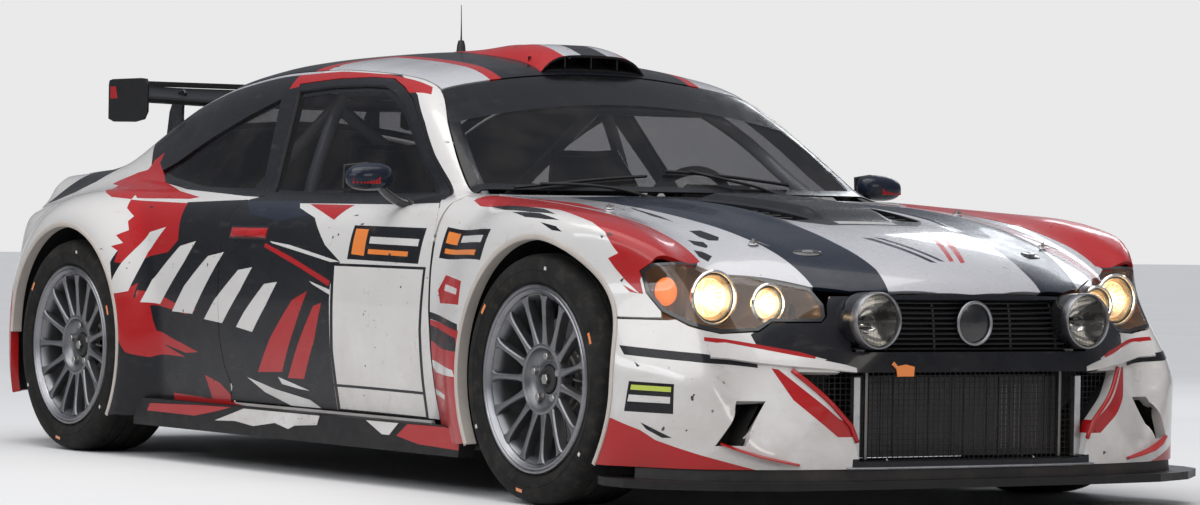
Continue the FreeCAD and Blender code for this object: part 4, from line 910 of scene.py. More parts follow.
ra = 384.0
a_front = math.degrees(math.asin((130 - 345) / ra))
frame_low = on_side([(x, 130) for x in np.linspace(748, -1380 + ra * math.cos(math.radians(a_front)), 40)] + arch_pts(-1380, ra, a_front, 176, 70)
                    + [(-1768, 380), (-1768, 470), (-1768, 562)] + [(x, 562) for x in np.linspace(-1780, -2010, 12)])
frame_back = on_side([(-2022, 580), (-2022, 640), (-2022, 700)])
zz = [(-2022, y) for y in (-700, -640, -590)]
frame_back2 = on_top(zz, 1100)
frame_rail = on_top([(x, -(RAIL(x) + 1.0)) for x in np.linspace(-2015, 768, 110)])
frame_front = on_side([(770, 822), (752, 812)])
dr = [p for p in DOOR]
i_top = dr.index((750, 700))
frame_door = on_side(dens([(750, 700), (738, 760), (706, 802), (672, 818), (560, 873), (445, 944), (325, 1036), (205, 1120), (118, 1157), (22, 1185), (-100, 1191),
                           (-300, 1189), (-512, 1176), (-444, 985), (-384, 828), (-462, 812), (-484, 775), (-488, 700), (-486, 540), (-476, 400), (-452, 310),
                           (-412, 245), (-430, 200), (748, 200)], 25, False))
FRAME = np.concatenate([frame_low, frame_back, frame_back2, frame_rail, frame_front, frame_door])

af0 = math.degrees(math.asin((518 - 345) / 380.0))
af1 = 180 - math.degrees(math.asin((150 - 345) / 380.0))
LENS3 = np.array([(1752, -848, 639), (1779, -829, 661), (1800, -740, 668), (1826, -655, 660), (1902, -561, 628), (1979, -460, 604), (2022, -444, 560),
                  (2036, -448, 528), (2030, -458, 514), (1976, -579, 512), (1967, -614, 488), (1922, -703, 482), (1898, -789, 502), (1830, -830, 535), (1777, -846, 583)], float)
door_front = lambda z: float(np.interp(z, [100, 200, 225, 300, 400, 510, 560, 620, 815], [821, 819, 815, 797, 777, 764, 762, 761, 761]))
FENDER = np.concatenate([on_side([(door_front(z), z) for z in np.linspace(150, 815, 44)] + [(776, 822)]),
                         on_top([(x, -676.0) for x in np.linspace(776, 1790, 60)], 1000),
                         np.array([(1800, -740, 668), (1779, -829, 661), (1752, -848, 639), (1777, -846, 583), (1828, -831, 536)], float),
                         on_side([(1836, 519), (1800, 518), (1760, 518)] + arch_pts(1380, 380, af0, af1, 70))])


def hood_rear(y):
    return 905.0 - 0.00029 * y * y


HOOD_FRONT = [(1300, 672), (1600, 676), (1780, 684), (1800, 700), (1840, 648), (1902, 561), (1979, 462), (2029, 365), (2062, 250), (2084, 110), (2091, 0)]
HOOD2 = [(hood_rear(y), y) for y in np.linspace(-672, 672, 25)] + HOOD_FRONT + [(p[0], -p[1]) for p in reversed(HOOD_FRONT[:-1])]

# ------------------------------------------------------------------ colour fields, points on the right flank
LV = {}
LV["Q_black"] = [(-793, -824, 805), (-376, -794, 817), (-418, -812, 805), (-478, -844, 767), (-430, -874, 656), (-420, -882, 507), (-420, -879, 372), (-420, -866, 233), (-420, -860, 120), (-1060, -900, 120), (-1046, -940, 220), (-1016, -955, 320), (-1012, -958, 383), (-1031, -958, 518), (-1063, -953, 612), (-1045, -935, 650), (-916, -889, 634), (-760, -874, 686), (-774, -861, 742)]
LV["Q_red"] = [(-1133, -846, 811), (-1108, -873, 783), (-1054, -876, 758), (-1064, -892, 742), (-1040, -900, 714), (-1077, -927, 697), (-1037, -922, 673), (-1078, -943, 662), (-1043, -936, 647), (-1045, -948, 612), (-977, -920, 607), (-916, -889, 634), (-811, -882, 648), (-760, -874, 686), (-774, -861, 742), (-787, -827, 802)]
LV["Q_cpillar_red"] = [(-1116, -834, 816), (-1369, -710, 875), (-1351, -648, 941), (-1294, -642, 967), (-1291, -661, 931), (-1131, -726, 869), (-927, -781, 840), (-756, -802, 821), (-800, -813, 815)]
LV["Q_lowred"] = [(-1031, -958, 518), (-962, -934, 535), (-938, -918, 549), (-945, -931, 504), (-884, -903, 481), (-869, -900, 434), (-848, -893, 388), (-814, -885, 358), (-694, -879, 325), (-879, -903, 318), (-958, -950, 331), (-991, -958, 368), (-1015, -958, 462)]
LV["Q_redbar"] = [(-937, -922, 527), (-749, -887, 491), (-618, -884, 473), (-680, -885, 458), (-884, -903, 481), (-938, -928, 501)]
LV["Q_streak"] = [(-575, -872, 274), (-486, -868, 253), (-401, -862, 205), (-420, -858, 158), (-534, -862, 186)]
LV["Q_tick"] = [(-877, -905, 403), (-769, -885, 381), (-610, -879, 343), (-686, -880, 338), (-840, -889, 363)]
LV["S1"] = [(-1064, -958, 511), (-1014, -936, 613), (-942, -877, 709), (-851, -869, 726), (-930, -889, 646), (-966, -938, 523)]
LV["S2"] = [(-919, -920, 489), (-890, -895, 559), (-742, -877, 668), (-647, -872, 685), (-705, -882, 619), (-842, -890, 485)]
LV["S3"] = [(-768, -887, 465), (-696, -885, 545), (-560, -877, 640), (-464, -874, 654), (-537, -881, 579), (-642, -885, 460)]
LV["S4"] = [(-568, -883, 446), (-506, -883, 506), (-366, -878, 601), (-281, -877, 611), (-348, -880, 540), (-456, -881, 437)]
LV["S5"] = [(-370, -880, 428), (-320, -881, 475), (-202, -880, 562), (-123, -879, 570), (-185, -881, 502), (-271, -879, 416)]
LV["T1"] = [(-244, -872, 296), (-161, -879, 401), (-29, -881, 518), (58, -880, 547), (-3, -880, 454), (-97, -872, 302)]
LV["T2"] = [(-63, -871, 285), (7, -879, 389), (97, -881, 504), (143, -881, 514), (103, -879, 404), (33, -871, 286)]
# painted sheen: a blue-black patch along the door shoulder, where the sheen falls
LV["D_sheen"] = [(-444, -805, 811), (-140, -795, 813), (2, -835, 774), (-164, -850, 752), (-366, -840, 771)]
LV["D_w1"] = [(-192, -867, 691), (-67, -869, 681), (240, -875, 636), (182, -875, 635), (-2, -872, 661), (-178, -868, 685)]
LV["D_r1"] = [(-220, -868, 685), (-58, -874, 648), (190, -879, 579), (180, -880, 564), (9, -877, 614), (-222, -870, 673)]
LV["D_w2"] = [(67, -879, 577), (193, -880, 553), (194, -880, 538), (86, -879, 568)]
LV["D_w3"] = [(-314, -870, 278), (-148, -866, 249), (58, -864, 225), (170, -860, 186), (207, -857, 158), (165, -856, 141), (61, -857, 160), (-10, -858, 162), (-64, -861, 205), (-211, -865, 237)]
LV["D_w4"] = [(-123, -871, 286), (63, -867, 252), (4, -867, 255), (-102, -868, 266)]
LV["D_up"] = [(-124, -805, 806), (689, -813, 812), (760, -858, 749), (770, -881, 645), (790, -887, 538), (790, -887, 453), (800, -880, 312), (830, -866, 180), (218, -861, 185), (195, -878, 377), (189, -881, 524), (191, -879, 568), (240, -875, 636), (139, -868, 684), (34, -843, 763), (-95, -821, 792)]
LV["D_tri"] = [(-62, -805, 804), (199, -804, 803), (151, -846, 758), (52, -830, 781)]
LV["D_blk1"] = [(284, -853, 744), (698, -861, 740), (685, -880, 638), (278, -874, 645)]
LV["D_blk1o"] = [(300, -857, 734), (372, -858, 733), (372, -875, 656), (298, -872, 660)]
LV["D_blk1w"] = [(392, -862, 712), (672, -866, 708), (670, -870, 688), (392, -866, 692)]
LV["D_blk1w2"] = [(392, -868, 676), (620, -872, 672), (620, -874, 658), (392, -870, 662)]
LV["D_num"] = [(194, -875, 632), (731, -882, 630), (717, -886, 452), (726, -879, 311), (738, -867, 199), (218, -861, 200), (195, -878, 377), (195, -881, 524)]
LV["D_num_in"] = [(210, -876, 624), (717, -883, 622), (702, -886, 451), (711, -879, 310), (722, -868, 206), (234, -862, 207), (212, -878, 378), (211, -881, 524)]
LV["D_div"] = [(205, -870, 279), (716, -876, 277), (716, -875, 269), (205, -869, 271)]
LV["D_bot"] = [(218, -861, 197), (820, -867, 190), (820, -862, 139), (195, -857, 158)]
LV["F_blk2"] = [(812, -861, 744), (1137, -924, 742), (1111, -941, 656), (797, -880, 657)]
LV["F_blk2o"] = [(826, -866, 732), (900, -880, 731), (896, -893, 700), (822, -876, 701)]
LV["F_blk2w"] = [(920, -890, 728), (1096, -924, 726), (1090, -930, 706), (918, -896, 708)]
LV["F_blk2w2"] = [(826, -880, 686), (1070, -930, 684), (1064, -934, 670), (824, -882, 672)]
LV["F_red1"] = [(856, -892, 610), (1000, -932, 596), (998, -939, 530), (834, -897, 531), (810, -889, 567)]
LV["F_red1w"] = [(862, -895, 584), (975, -930, 574), (973, -933, 558), (860, -897, 566)]
LV["F_band"] = [(752, -888, 507), (999, -942, 477), (1001, -943, 458), (752, -888, 487)]
LV["F_low"] = [(748, -887, 486), (1029, -944, 456), (1044, -944, 379), (1060, -941, 100), (740, -865, 100), (736, -878, 297), (741, -884, 373)]
LV["F_lowblk"] = [(769, -888, 468), (990, -942, 438), (999, -944, 400), (862, -911, 406), (770, -888, 426)]
LV["F_loww"] = [(742, -884, 374), (976, -942, 349), (990, -943, 331), (817, -895, 337)]
LV["F_loww2"] = [(782, -884, 290), (910, -925, 276), (905, -925, 262), (784, -884, 274)]
LV["F_wedge"] = [(855, -680, 816), (855, -800, 816), (921, -825, 805), (1127, -860, 803), (1403, -873, 796), (1519, -885, 778), (1577, -885, 766), (1646, -889, 740), (1674, -885, 706), (1693, -878, 685), (1665, -891, 671), (1686, -882, 645), (1716, -870, 615), (1762, -853, 579), (1709, -875, 604), (1735, -866, 583), (1770, -848, 579), (1755, -848, 615), (1760, -843, 647), (1779, -829, 661), (1800, -740, 668), (1815, -650, 668), (1700, -640, 696), (1483, -640, 790), (1127, -640, 814)]
LV["F_edge_w"] = [(1180, -600, 806), (1180, -716, 812), (1360, -724, 800), (1480, -706, 786), (1560, -694, 766), (1600, -600, 750)]
LV["F_brush1"] = [(982, -830, 803), (1185, -862, 806), (1342, -882, 798), (1429, -903, 785), (1304, -906, 790), (1138, -880, 794)]
LV["F_brush2"] = [(1204, -899, 789), (1358, -908, 787), (1473, -919, 769), (1408, -924, 771), (1306, -922, 776)]
LV["F_brush3"] = [(1395, -931, 763), (1474, -932, 753), (1508, -934, 738), (1464, -938, 742)]
LV["F_chip1"] = [(1606, -910, 728), (1628, -902, 724), (1646, -897, 705), (1621, -906, 713)]
LV["F_chip2"] = [(1648, -896, 708), (1661, -892, 700), (1661, -892, 690), (1646, -898, 697)]
LV["B_blkstrip"] = [(1763, -917, 445), (1949, -788, 429), (1983, -630, 410), (1989, -631, 392), (1942, -814, 408), (1786, -916, 421)]
LV["B_decal"] = [(1815, -919, 353), (1927, -853, 349), (1926, -854, 271), (1802, -924, 274)]
LV["B_decal_y"] = [(1822, -916, 344), (1920, -857, 341), (1920, -858, 328), (1820, -918, 331)]
LV["B_decal_w"] = [(1816, -920, 318), (1919, -859, 315), (1919, -860, 298), (1812, -922, 300)]
LV["B_redcorner"] = [(1650, -937, 262), (1763, -937, 254), (1843, -900, 226), (1880, -878, 202), (1977, -803, 167), (2031, -713, 140), (2076, -575, 104), (2031, -712, 90), (1888, -866, 90), (1650, -930, 90)]
LV["B_slash"] = [(1844, -901, 247), (1883, -878, 228), (1923, -854, 209), (1898, -868, 208), (1858, -892, 229)]
LV["B_redline"] = [(1930, -763, 471), (1930, -699, 466), (1977, -617, 452), (2033, -528, 435), (2055, -492, 423), (2056, -496, 416), (2010, -576, 427), (1952, -663, 446), (1936, -767, 461)]
LV["B_rededge"] = [(2026, -592, 389), (2052, -470, 300), (2090, -440, 262), (2100, -384, 238), (2100, -384, 214), (2084, -440, 214), (2052, -560, 310), (2020, -612, 392)]
LV["B_topblk"] = [(1964, -640, 478), (1976, -579, 516), (2030, -458, 518), (2040, -430, 594), (2090, 0, 600), (2102, 0, 384), (2102, -389, 385), (2089, -422, 405), (2055, -492, 423), (1973, -624, 449)]
LV["B_dot1"] = [(1819, -907, 405), (1838, -901, 393), (1831, -905, 390)]
LV["B_dot2"] = [(1903, -871, 325), (1921, -858, 318), (1912, -865, 318)]
LV["A_pil"] = [(161, -602, 1141), (270, -613, 1110), (442, -664, 995), (553, -698, 908), (647, -721, 850), (841, -801, 821), (688, -812, 812), (563, -749, 835), (433, -699, 937), (263, -642, 1071)]
LV["R_rail"] = [(-552, -578, 1190), (-386, -556, 1212), (-169, -542, 1215), (-8, -550, 1199), (111, -586, 1163), (161, -602, 1141), (131, -605, 1141), (34, -575, 1180), (-144, -557, 1205), (-359, -572, 1199), (-512, -590, 1176)]
LV = {k: np.array(v, float) for k, v in LV.items()}


def flipped(p):
    p = np.array(p, float)
    p[:, 1] *= -1
    return p


cab_black = on_side([(-1240, 893), (-1130, 941), (-940, 1022), (-740, 1092), (-580, 1150), (-520, 1186), (-300, 1199), (-100, 1201), (30, 1196), (125, 1168), (216, 1130), (335, 1046),
                     (456, 952), (572, 880), (690, 822), (560, 812), (0, 815), (-500, 826), (-900, 845), (-1120, 866)])
roof_side_blk = on_side([(-1250, 930), (-900, 1060), (-560, 1175), (-520, 1200), (-1100, 1100)])
side_layers = [(BLACK, LV["Q_black"]), (RED, LV["Q_red"]), (RED, LV["Q_lowred"]), (RED, LV["Q_redbar"]), (BLACK, cab_black), (RED, LV["Q_cpillar_red"]), (WHITE, LV["S1"]), (WHITE, LV["S2"]),
               (WHITE, LV["S3"]), (WHITE, LV["S4"]), (WHITE, LV["S5"]), (RED, LV["Q_streak"]), (RED, LV["Q_tick"])]
rail_red = on_top([(-560, -600), (-560, -562), (-300, -556), (-20, -556), (110, -562), (230, -562), (262, -586), (150, -606), (20, -590), (-300, -580)])
cant = np.concatenate([on_top([(x, -(float(RAIL(x)) - 2.0)) for x in np.linspace(-1500, -470, 40)], 1450), on_side([(-480, 1190), (-520, 1186), (-590, 1124), (-760, 1070), (-946, 1004), (-1140, 928), (-1250, 900), (-1330, 905)])])
# painted highlight: a thin pale strip along the rear roof edge, where the highlight falls
cant_painted_highlight = np.concatenate([on_top([(x, -(float(RAIL(x)) - 2.0)) for x in np.linspace(-1560, -420, 40)], 1450), on_top([(x, -(float(RAIL(x)) + 13.0)) for x in np.linspace(-420, -1560, 40)], 1450)])
side_layers.insert(4, (BLACK, cant))
deck_blk = on_top([(-1600, -541), (-1800, -541), (float(TA(545.0)) + 14.0, -545), (float(TA(600.0)) + 14.0, -600), (float(TA(660.0)) + 16.0, -660), (-2030, -716), (-1960, -742), (-1860, -744), (-1760, -728), (-1680, -690), (-1630, -620)], 1100)
pillar_red = on_side([(-1133, 812), (-1205, 884), (-1250, 897), (-1330, 915), (-1420, 900), (-1480, 876), (-1500, 862), (-1420, 856), (-1390, 842), (-1300, 832), (-1230, 818)])
side_layers += [(BLACK, deck_blk), (RED, pillar_red)]
frame_layers = side_layers + [(WHITE_SHADE_AND_HIGHLIGHT, cant_painted_highlight)] + [(RED, rail_red), (RED, np.array([(-780, -860, 190), (-440, -858, 176), (-410, -856, 100), (760, -856, 100), (760, -856, 154), (100, -856, 158), (-480, -856, 205), (-780, -866, 214)], float))]
door_layers = [(WHITE, LV["S1"]), (WHITE, LV["S2"]), (WHITE, LV["S3"]), (WHITE, LV["S4"]), (WHITE, LV["S5"]), (RED, LV["T1"]), (RED, LV["T2"]), (BLACK_BLUE_SHEEN, LV["D_sheen"]), (WHITE, LV["D_up"]), (RED, LV["D_r1"]),
               (WHITE, LV["D_w1"]), (WHITE, LV["D_w2"]), (WHITE, LV["D_w3"]), (WHITE, LV["D_w4"]), (RED, LV["D_tri"]), (BLACK, LV["D_blk1"]), (ORANGE, LV["D_blk1o"]), (WHITE, LV["D_blk1w"]), (ORANGE, LV["D_blk1w2"]),
               (BLACK, LV["D_num"]), (CREAM, LV["D_num_in"]), (BLACK, LV["D_div"]), (BLACK, LV["D_bot"])]
fender_layers = [(RED, LV["F_wedge"]), (BLACK, LV["F_brush1"]), (BLACK, LV["F_brush2"]), (BLACK, LV["F_brush3"]), (WHITE, LV["F_chip1"]), (WHITE, LV["F_chip2"]), (BLACK, LV["F_blk2"]), (ORANGE, LV["F_blk2o"]),
                 (WHITE, LV["F_blk2w"]), (ORANGE, LV["F_blk2w2"]), (RED, LV["F_red1"]), (WHITE, LV["F_red1w"]), (RED, LV["F_low"]), (BLACK, LV["F_band"]), (BLACK, LV["F_lowblk"]), (WHITE, LV["F_loww"]), (WHITE, LV["F_loww2"])]

# ------------------------------------------------------------------ body panels
rs = panel("right_side_panel", side_dom, FRAME, [quarter3], frame_layers, WHITE, "chassis", ["right_side_frame"], hole_grow=1.0)
mirrored(rs, "left_side_panel", "chassis", ["left_side_frame"])
door_deep = lambda p: 62.0 - 34.0 * sstep(770, 850, p[:, 2])
rd = panel("right_door_skin", side_dom, door3, [win3], door_layers, BLACK, "right_door", ["right_door"], depth=door_deep, hole_grow=1.0)
mirrored(rd, "left_door_skin", "left_door", ["left_door"])
rf = panel("right_fender_skin", fender_dom, FENDER, [], fender_layers, WHITE, "chassis", ["right_front_fender"], step=15.0)
mirrored(rf, "left_fender_skin", "chassis", ["left_front_fender"])


def window(name, outline, border, mat, ride, repl, dom=None, sink=9.0, extra=(), step=24.0):
    dom = dom or side_dom
    q = grow(dens(dom.to(outline), 12.0), 9.0)
    p = dom.hit(q)
    inner = dom.hit(grow(dens(dom.to(outline), 12.0), -border))
    return panel(name, dom, p, [], [(mat, inner)] + list(extra), FRIT, ride, repl, step=step, inset=0.0, depth=4.0, sink=sink, inner=mat)


rg = window("right_door_pane", win3, 16.0, GLASSD, "right_door", ["right_door_glass"])
mirrored(rg, "left_door_pane", "left_door", ["left_door_glass"])
qg = window("right_quarter_pane", quarter3, 14.0, GLASSD, "chassis", ["quarter_windows"])
mirrored(qg, "left_quarter_pane", "chassis")

screen_xy = [(845.0 - 0.0003 * y * y, y) for y in np.linspace(-684, 684, 25)]
screen_xy += [(x, float(RAIL(x)) - 2.5) for x in (720, 690, 640, 575, 500, 439, 350, 262)]
screen_xy += [(x, -(float(RAIL(x)) - 2.5)) for x in (262, 350, 439, 500, 575, 640, 690, 720)]
sc3 = on_top(dens(screen_xy, 22), 1450)
strip_in = on_top(dens([(262, -560), (262, 560), (415, 620), (415, -620)], 25), 1450)
top_dom = Top(1450.0)
low_dom = Top(1000.0)
scin = top_dom.hit(grow(dens(top_dom.to(sc3), 12.0), -30.0))
panel("windscreen", top_dom, sc3, [], [(GLASS, scin), (FRIT, strip_in)], FRIT, "chassis", ["windshield"], step=22.0, inset=0.4, depth=5.0, sink=2.0, inner=GLASS)
rear_xy = [(-1004, 545), (-1506, 545), (-1506, -545), (-1004, -545)]
rw3 = on_top(dens(rear_xy, 22), 1450)
rwin = top_dom.hit(grow(dens(top_dom.to(rw3), 12.0), -34.0))
panel("rear_pane", top_dom, rw3, [], [(GLASSD, rwin)], FRIT, "chassis", ["rear_window"], step=24.0, inset=0.4, depth=5.0, sink=2.0, inner=GLASSD)

roof_xy = [(-1000, 546), (256, 546), (256, -546), (-1000, -546)]
roof3 = on_top(dens(roof_xy, 22), 1450)


def on_roof(pts):
    return on_top(dens(pts, 30), 1450)


roof_layers = [(BLACK, on_roof([(-1010, -560), (-1010, 560), (-420, 560), (-300, 340), (270, 340), (270, -340), (-300, -340), (-420, -560)])),
               (WHITE_SHADE_AND_HIGHLIGHT, on_roof([(-1010, -120), (-1010, 120), (-350, 90), (-350, -90)])),
               (RED, on_roof([(-420, -560), (-300, -380), (270, -380), (270, -340), (-330, -340), (-500, -560)])),
               (RED, on_roof([(-420, 560), (-300, 380), (270, 380), (270, 340), (-330, 340), (-500, 560)]))]
# roof top in the darkened white, painted shade
panel("roof_skin", top_dom, roof3, [], roof_layers, WHITE_SHADE_AND_HIGHLIGHT, "chassis", ["roof_panel"], step=22.0, inset=0.8, depth=18.0)

lid_xy = [(-1514, -541), (-1514, 541)] + [(float(TA(abs(y))) + 82.0, y) for y in np.linspace(541, -541, 31)]
lid3 = on_top(dens(lid_xy, 20), 1100)
panel("trunk_skin", Top(1100.0), lid3, [], [(WHITE, on_top(dens([(-1500, -541), (-1500, -300), (-1760, -300), (-1900, -541)], 20), 1100)), (WHITE, on_top(dens([(-1500, 541), (-1500, 300), (-1760, 300), (-1900, 541)], 20), 1100))],
      BLACK, "trunk_lid", ["trunk_lid"], step=20.0, inset=1.5, depth=20.0)


# hood: centre bulge, two long outlets beside it
def bulge(p):
    x, y = p[:, 0], p[:, 1]

    def h(x, y):
        a = np.abs(y)
        w = sstep(940, 1060, x) * (1 - sstep(1470, 1600, x))
        c = 24 * (1 - sstep(108, 140, a)) * w
        ridge = 9 * np.exp(-((a - 268 - 0.02 * (x - 1000)) / 26.0) ** 2) * sstep(960, 1080, x) * (1 - sstep(1540, 1700, x))
        crown = 7 * np.exp(-((a - 470) / 70.0) ** 2) * sstep(1000, 1200, x) * (1 - sstep(1750, 1950, x))
        return c + ridge + crown
    e = 1.0
    return h(x, y), (h(x + e, y) - h(x - e, y)) / (2 * e), (h(x, y + e) - h(x, y - e)) / (2 * e)


VENT_A = [(1040, -262), (1240, -255), (1440, -246), (1545, -236), (1566, -216), (1566, -160), (1540, -148), (1300, -150), (1060, -152), (1010, -170), (1010, -245)]
STRIPE = [(880, -500), (1205, -538), (1367, -528), (1544, -514), (1738, -490), (1880, -466), (1985, -452), (2029, -365), (2075, -262), (1991, -250), (1826, -262), (1572, -264), (1321, -258), (1111, -254), (880, -250)]
LINE = [(900, -244), (1321, -250), (1572, -256), (1826, -254), (1991, -242), (2075, -254), (2080, -238), (1991, -230), (1826, -242), (1572, -245), (1321, -240), (900, -232)]
hood3 = on_top(dens(HOOD2, 20), 1000)


def on_hood(pts):
    return on_top(dens(pts, 25), 1000)


def flip2(pts):
    return [(p[0], -p[1]) for p in pts]


hood_layers = []
for s in (1, -1):
    g = (lambda q: q) if s == 1 else flip2
    # hood stripes in black with a painted blue sheen
    hood_layers += [(BLACK_BLUE_SHEEN, on_hood(g(STRIPE)))]
# painted shade: the black field over the bulge and round the outlets stands for the shade of a wide dark recess
hood_layers += [(BLACK, on_hood([(880, -262), (880, 262), (1240, 258), (1545, 244), (1600, 205), (1650, 150), (1650, -150), (1600, -205), (1545, -244), (1240, -258)])),
                (BLACK, on_hood([(1594, -582), (1607, -555), (1680, -544), (1700, -560), (1685, -580), (1650, -588)])),
                (BLACK, on_hood([(1657, -630), (1686, -600), (1715, -604), (1725, -616), (1696, -636)])),
                (BLACK, on_hood([(1300, -560), (1254, -545), (1308, -552), (1420, -556), (1500, -566), (1400, -572)])),
                (BLACK, on_hood([(1741, -640), (1770, -629), (1790, -655), (1765, -668), (1728, -660)])),
                (RED, on_hood([(930, -668), (1180, -668), (1300, -640), (1200, -628), (1100, -610), (1010, -622), (930, -640)])),
                (RED, on_hood([(930, 668), (1180, 668), (1300, 640), (1200, 628), (1100, 610), (1010, 622), (930, 640)])),
                (BLACK, on_hood([(1570, 560), (1640, 600), (1760, 610), (1700, 575), (1620, 545)])),
                (WHITE, on_hood([(1592, -96), (1630, -104), (1634, 98), (1596, 104)])),
                (WHITE_SHADE_AND_HIGHLIGHT, on_hood([(1400, -262), (1560, -256), (1700, -250), (1700, -242), (1560, -246), (1400, -252)])),
                (BLACK_BLUE_SHEEN, on_hood([(1790, -150), (1980, -60), (1985, -40), (1800, -120)])),
                (BLACK_BLUE_SHEEN, on_hood([(1790, -110), (1975, -25), (1978, -8), (1800, -85)])),
                (RED, on_hood([(1790, 150), (1980, 60), (1985, 40), (1800, 120)])),
                (RED, on_hood([(1790, 110), (1975, 25), (1978, 8), (1800, 85)]))]
holes = [on_hood(VENT_A), on_hood(flip2(VENT_A))]
# hood in the darkened white, painted shade
panel("hood_skin", low_dom, hood3, holes, hood_layers, WHITE_SHADE_AND_HIGHLIGHT, "hood", ["hood"], step=15.0, depth=14.0, height=bulge)

# outlets: dark wells with slats under the hood holes
for s, nm in ((1, "right"), (-1, "left")):
    m = Mesh()
    pts = np.array(VENT_A if s == 1 else flip2(VENT_A), float)
    big = grow(dens(pts, 30), 6.0)
    topz = on_top(big, 1000)[:, 2]
    n = len(big)
    v = [(a[0], a[1], z - 12) for a, z in zip(big, topz)] + [(a[0], a[1], z - 34) for a, z in zip(big, topz)]
    f = [(i, (i + 1) % n, n + (i + 1) % n, n + i) for i in range(n)] + [tuple(n + i for i in range(n))]
    m.add(v, f, TRIM)
    for k in range(9):
        x = 1070 + k * 54.0
        y0, y1 = sorted((s * -154.0, s * -246.0))
        z = float(on_top([(x, (y0 + y1) / 2)], 1000)[0, 2])
        sv, sf = slab([(x, z - 24), (x + 34, z - 10), (x + 36, z - 13), (x + 3, z - 28)], y0 + 2, y1 - 2, "xz", 0.8)
        m.add(sv, sf, CARBONM, False)
    m.done("hood_outlet_" + nm, "hood")

# cowl below the screen
m = Mesh()
rows = []
for k in np.linspace(0, 1, 9):
    row = []
    for y in np.linspace(-655, 655, 41):
        x = mix(806 - 0.0003 * y * y, 925 - 0.0003 * y * y, k)
        z = float(mix(ZC(x + 0.0005 * y * y * sstep(300, 900, x)), ZR(x), sstep(600, 800, abs(y)))) - mix(22.0, 44.0, float(sstep(0.15, 0.6, k)))
        row.append((x, y, z))
    rows.append(row)
v = [p for r in rows for p in r]
f = [(i * 41 + j, i * 41 + j + 1, (i + 1) * 41 + j + 1, (i + 1) * 41 + j) for i in range(8) for j in range(40)]
m.add(v, f, TRIM)
for y in np.linspace(-560, 560, 29):
    x = 868 - 0.0003 * y * y
    z = float(ZC(x)) - 38
    m.add(*block(x - 18, x + 22, y - 9, y + 9, z - 3, z + 2, 1.0), GLOSSBLACK, False)
m.done("cowl_tray", "chassis", ["cowl_panel"])

# ------------------------------------------------------------------ nose
nose = Plan(1300.0)


def nose_pts(pts, dom=nose, s=1):
    return on_nose(pts, s)


def phi_pts(phis, z, dom):
    q = np.stack([700 * np.radians(np.asarray(phis, float)), np.full(len(phis), float(z)) if np.isscalar(z) else np.asarray(z, float)], -1)
    return dom.hit(q)


def arch_edge(z, r=380.0, cx=1380.0, s=1):
    return cx + s * math.sqrt(r * r - (z - 345.0) ** 2)


edge_r = on_side([(arch_edge(z), z) for z in np.linspace(128, 514, 22)])
top_r = on_side([(x, 514) for x in np.linspace(1724, 1850, 8)])
under_lens = np.array([(1868, -812, 517), (1898, -789, 500), (1922, -703, 480), (1967, -614, 486), (1976, -579, 510), (2030, -458, 512), (2038, -446, 528), (2030, -440, 560)], float)
crown = on_nose([(-424, 582), (-300, 586), (-150, 590), (0, 591)])
half = np.concatenate([edge_r, top_r, under_lens, crown])
low = phi_pts(np.linspace(-62, 0, 60), 128.0, nose)
bump_out = np.concatenate([half, flipped(half)[::-1][1:], phi_pts(np.linspace(60, -60, 90), 128.0, nose)])
GRILLE = [(-398, 436), (-406, 500), (-398, 560), (-330, 576), (330, 576), (398, 560), (406, 500), (398, 436)]
INTAKE = [(-548, 384), (-404, 240), (-384, 148), (384, 148), (404, 240), (548, 384)]
VENT = [(-700, 307), (-625, 307), (-700, 190), (-772, 190)]
gr3 = on_nose(dens(GRILLE, 20))
in3 = on_nose(dens(INTAKE, 20))
ve3 = on_nose(dens(VENT, 12))
bump_layers = []
for k, m_ in (("B_topblk", BLACK), ("B_redcorner", RED), ("B_slash", BLACK), ("B_blkstrip", BLACK), ("B_redline", RED), ("B_rededge", RED), ("B_decal", BLACK), ("B_decal_y", YELLOW), ("B_decal_w", WHITE),
              ("B_dot1", BLACK), ("B_dot2", BLACK)):
    bump_layers += [(m_, LV[k]), (m_, flipped(LV[k]))]
beam = on_nose(dens([(-520, 392), (-440, 428), (440, 428), (520, 392)], 20))
bump_layers.append((BLACK, beam))
bump_layers.append((BLACK, on_nose(dens([(-415, 378), (-500, 400), (500, 400), (415, 378)], 20))))
bump_layers.append((BLACK, on_nose(dens([(-402, 156), (402, 156), (404, 126), (-404, 126)], 20))))


def nose_form(p):
    return p


panel("front_bumper_skin", nose, bump_out, [gr3, in3, ve3, flipped(ve3)], bump_layers, WHITE, "chassis", ["front_bumper"], step=14.0, depth=30.0)

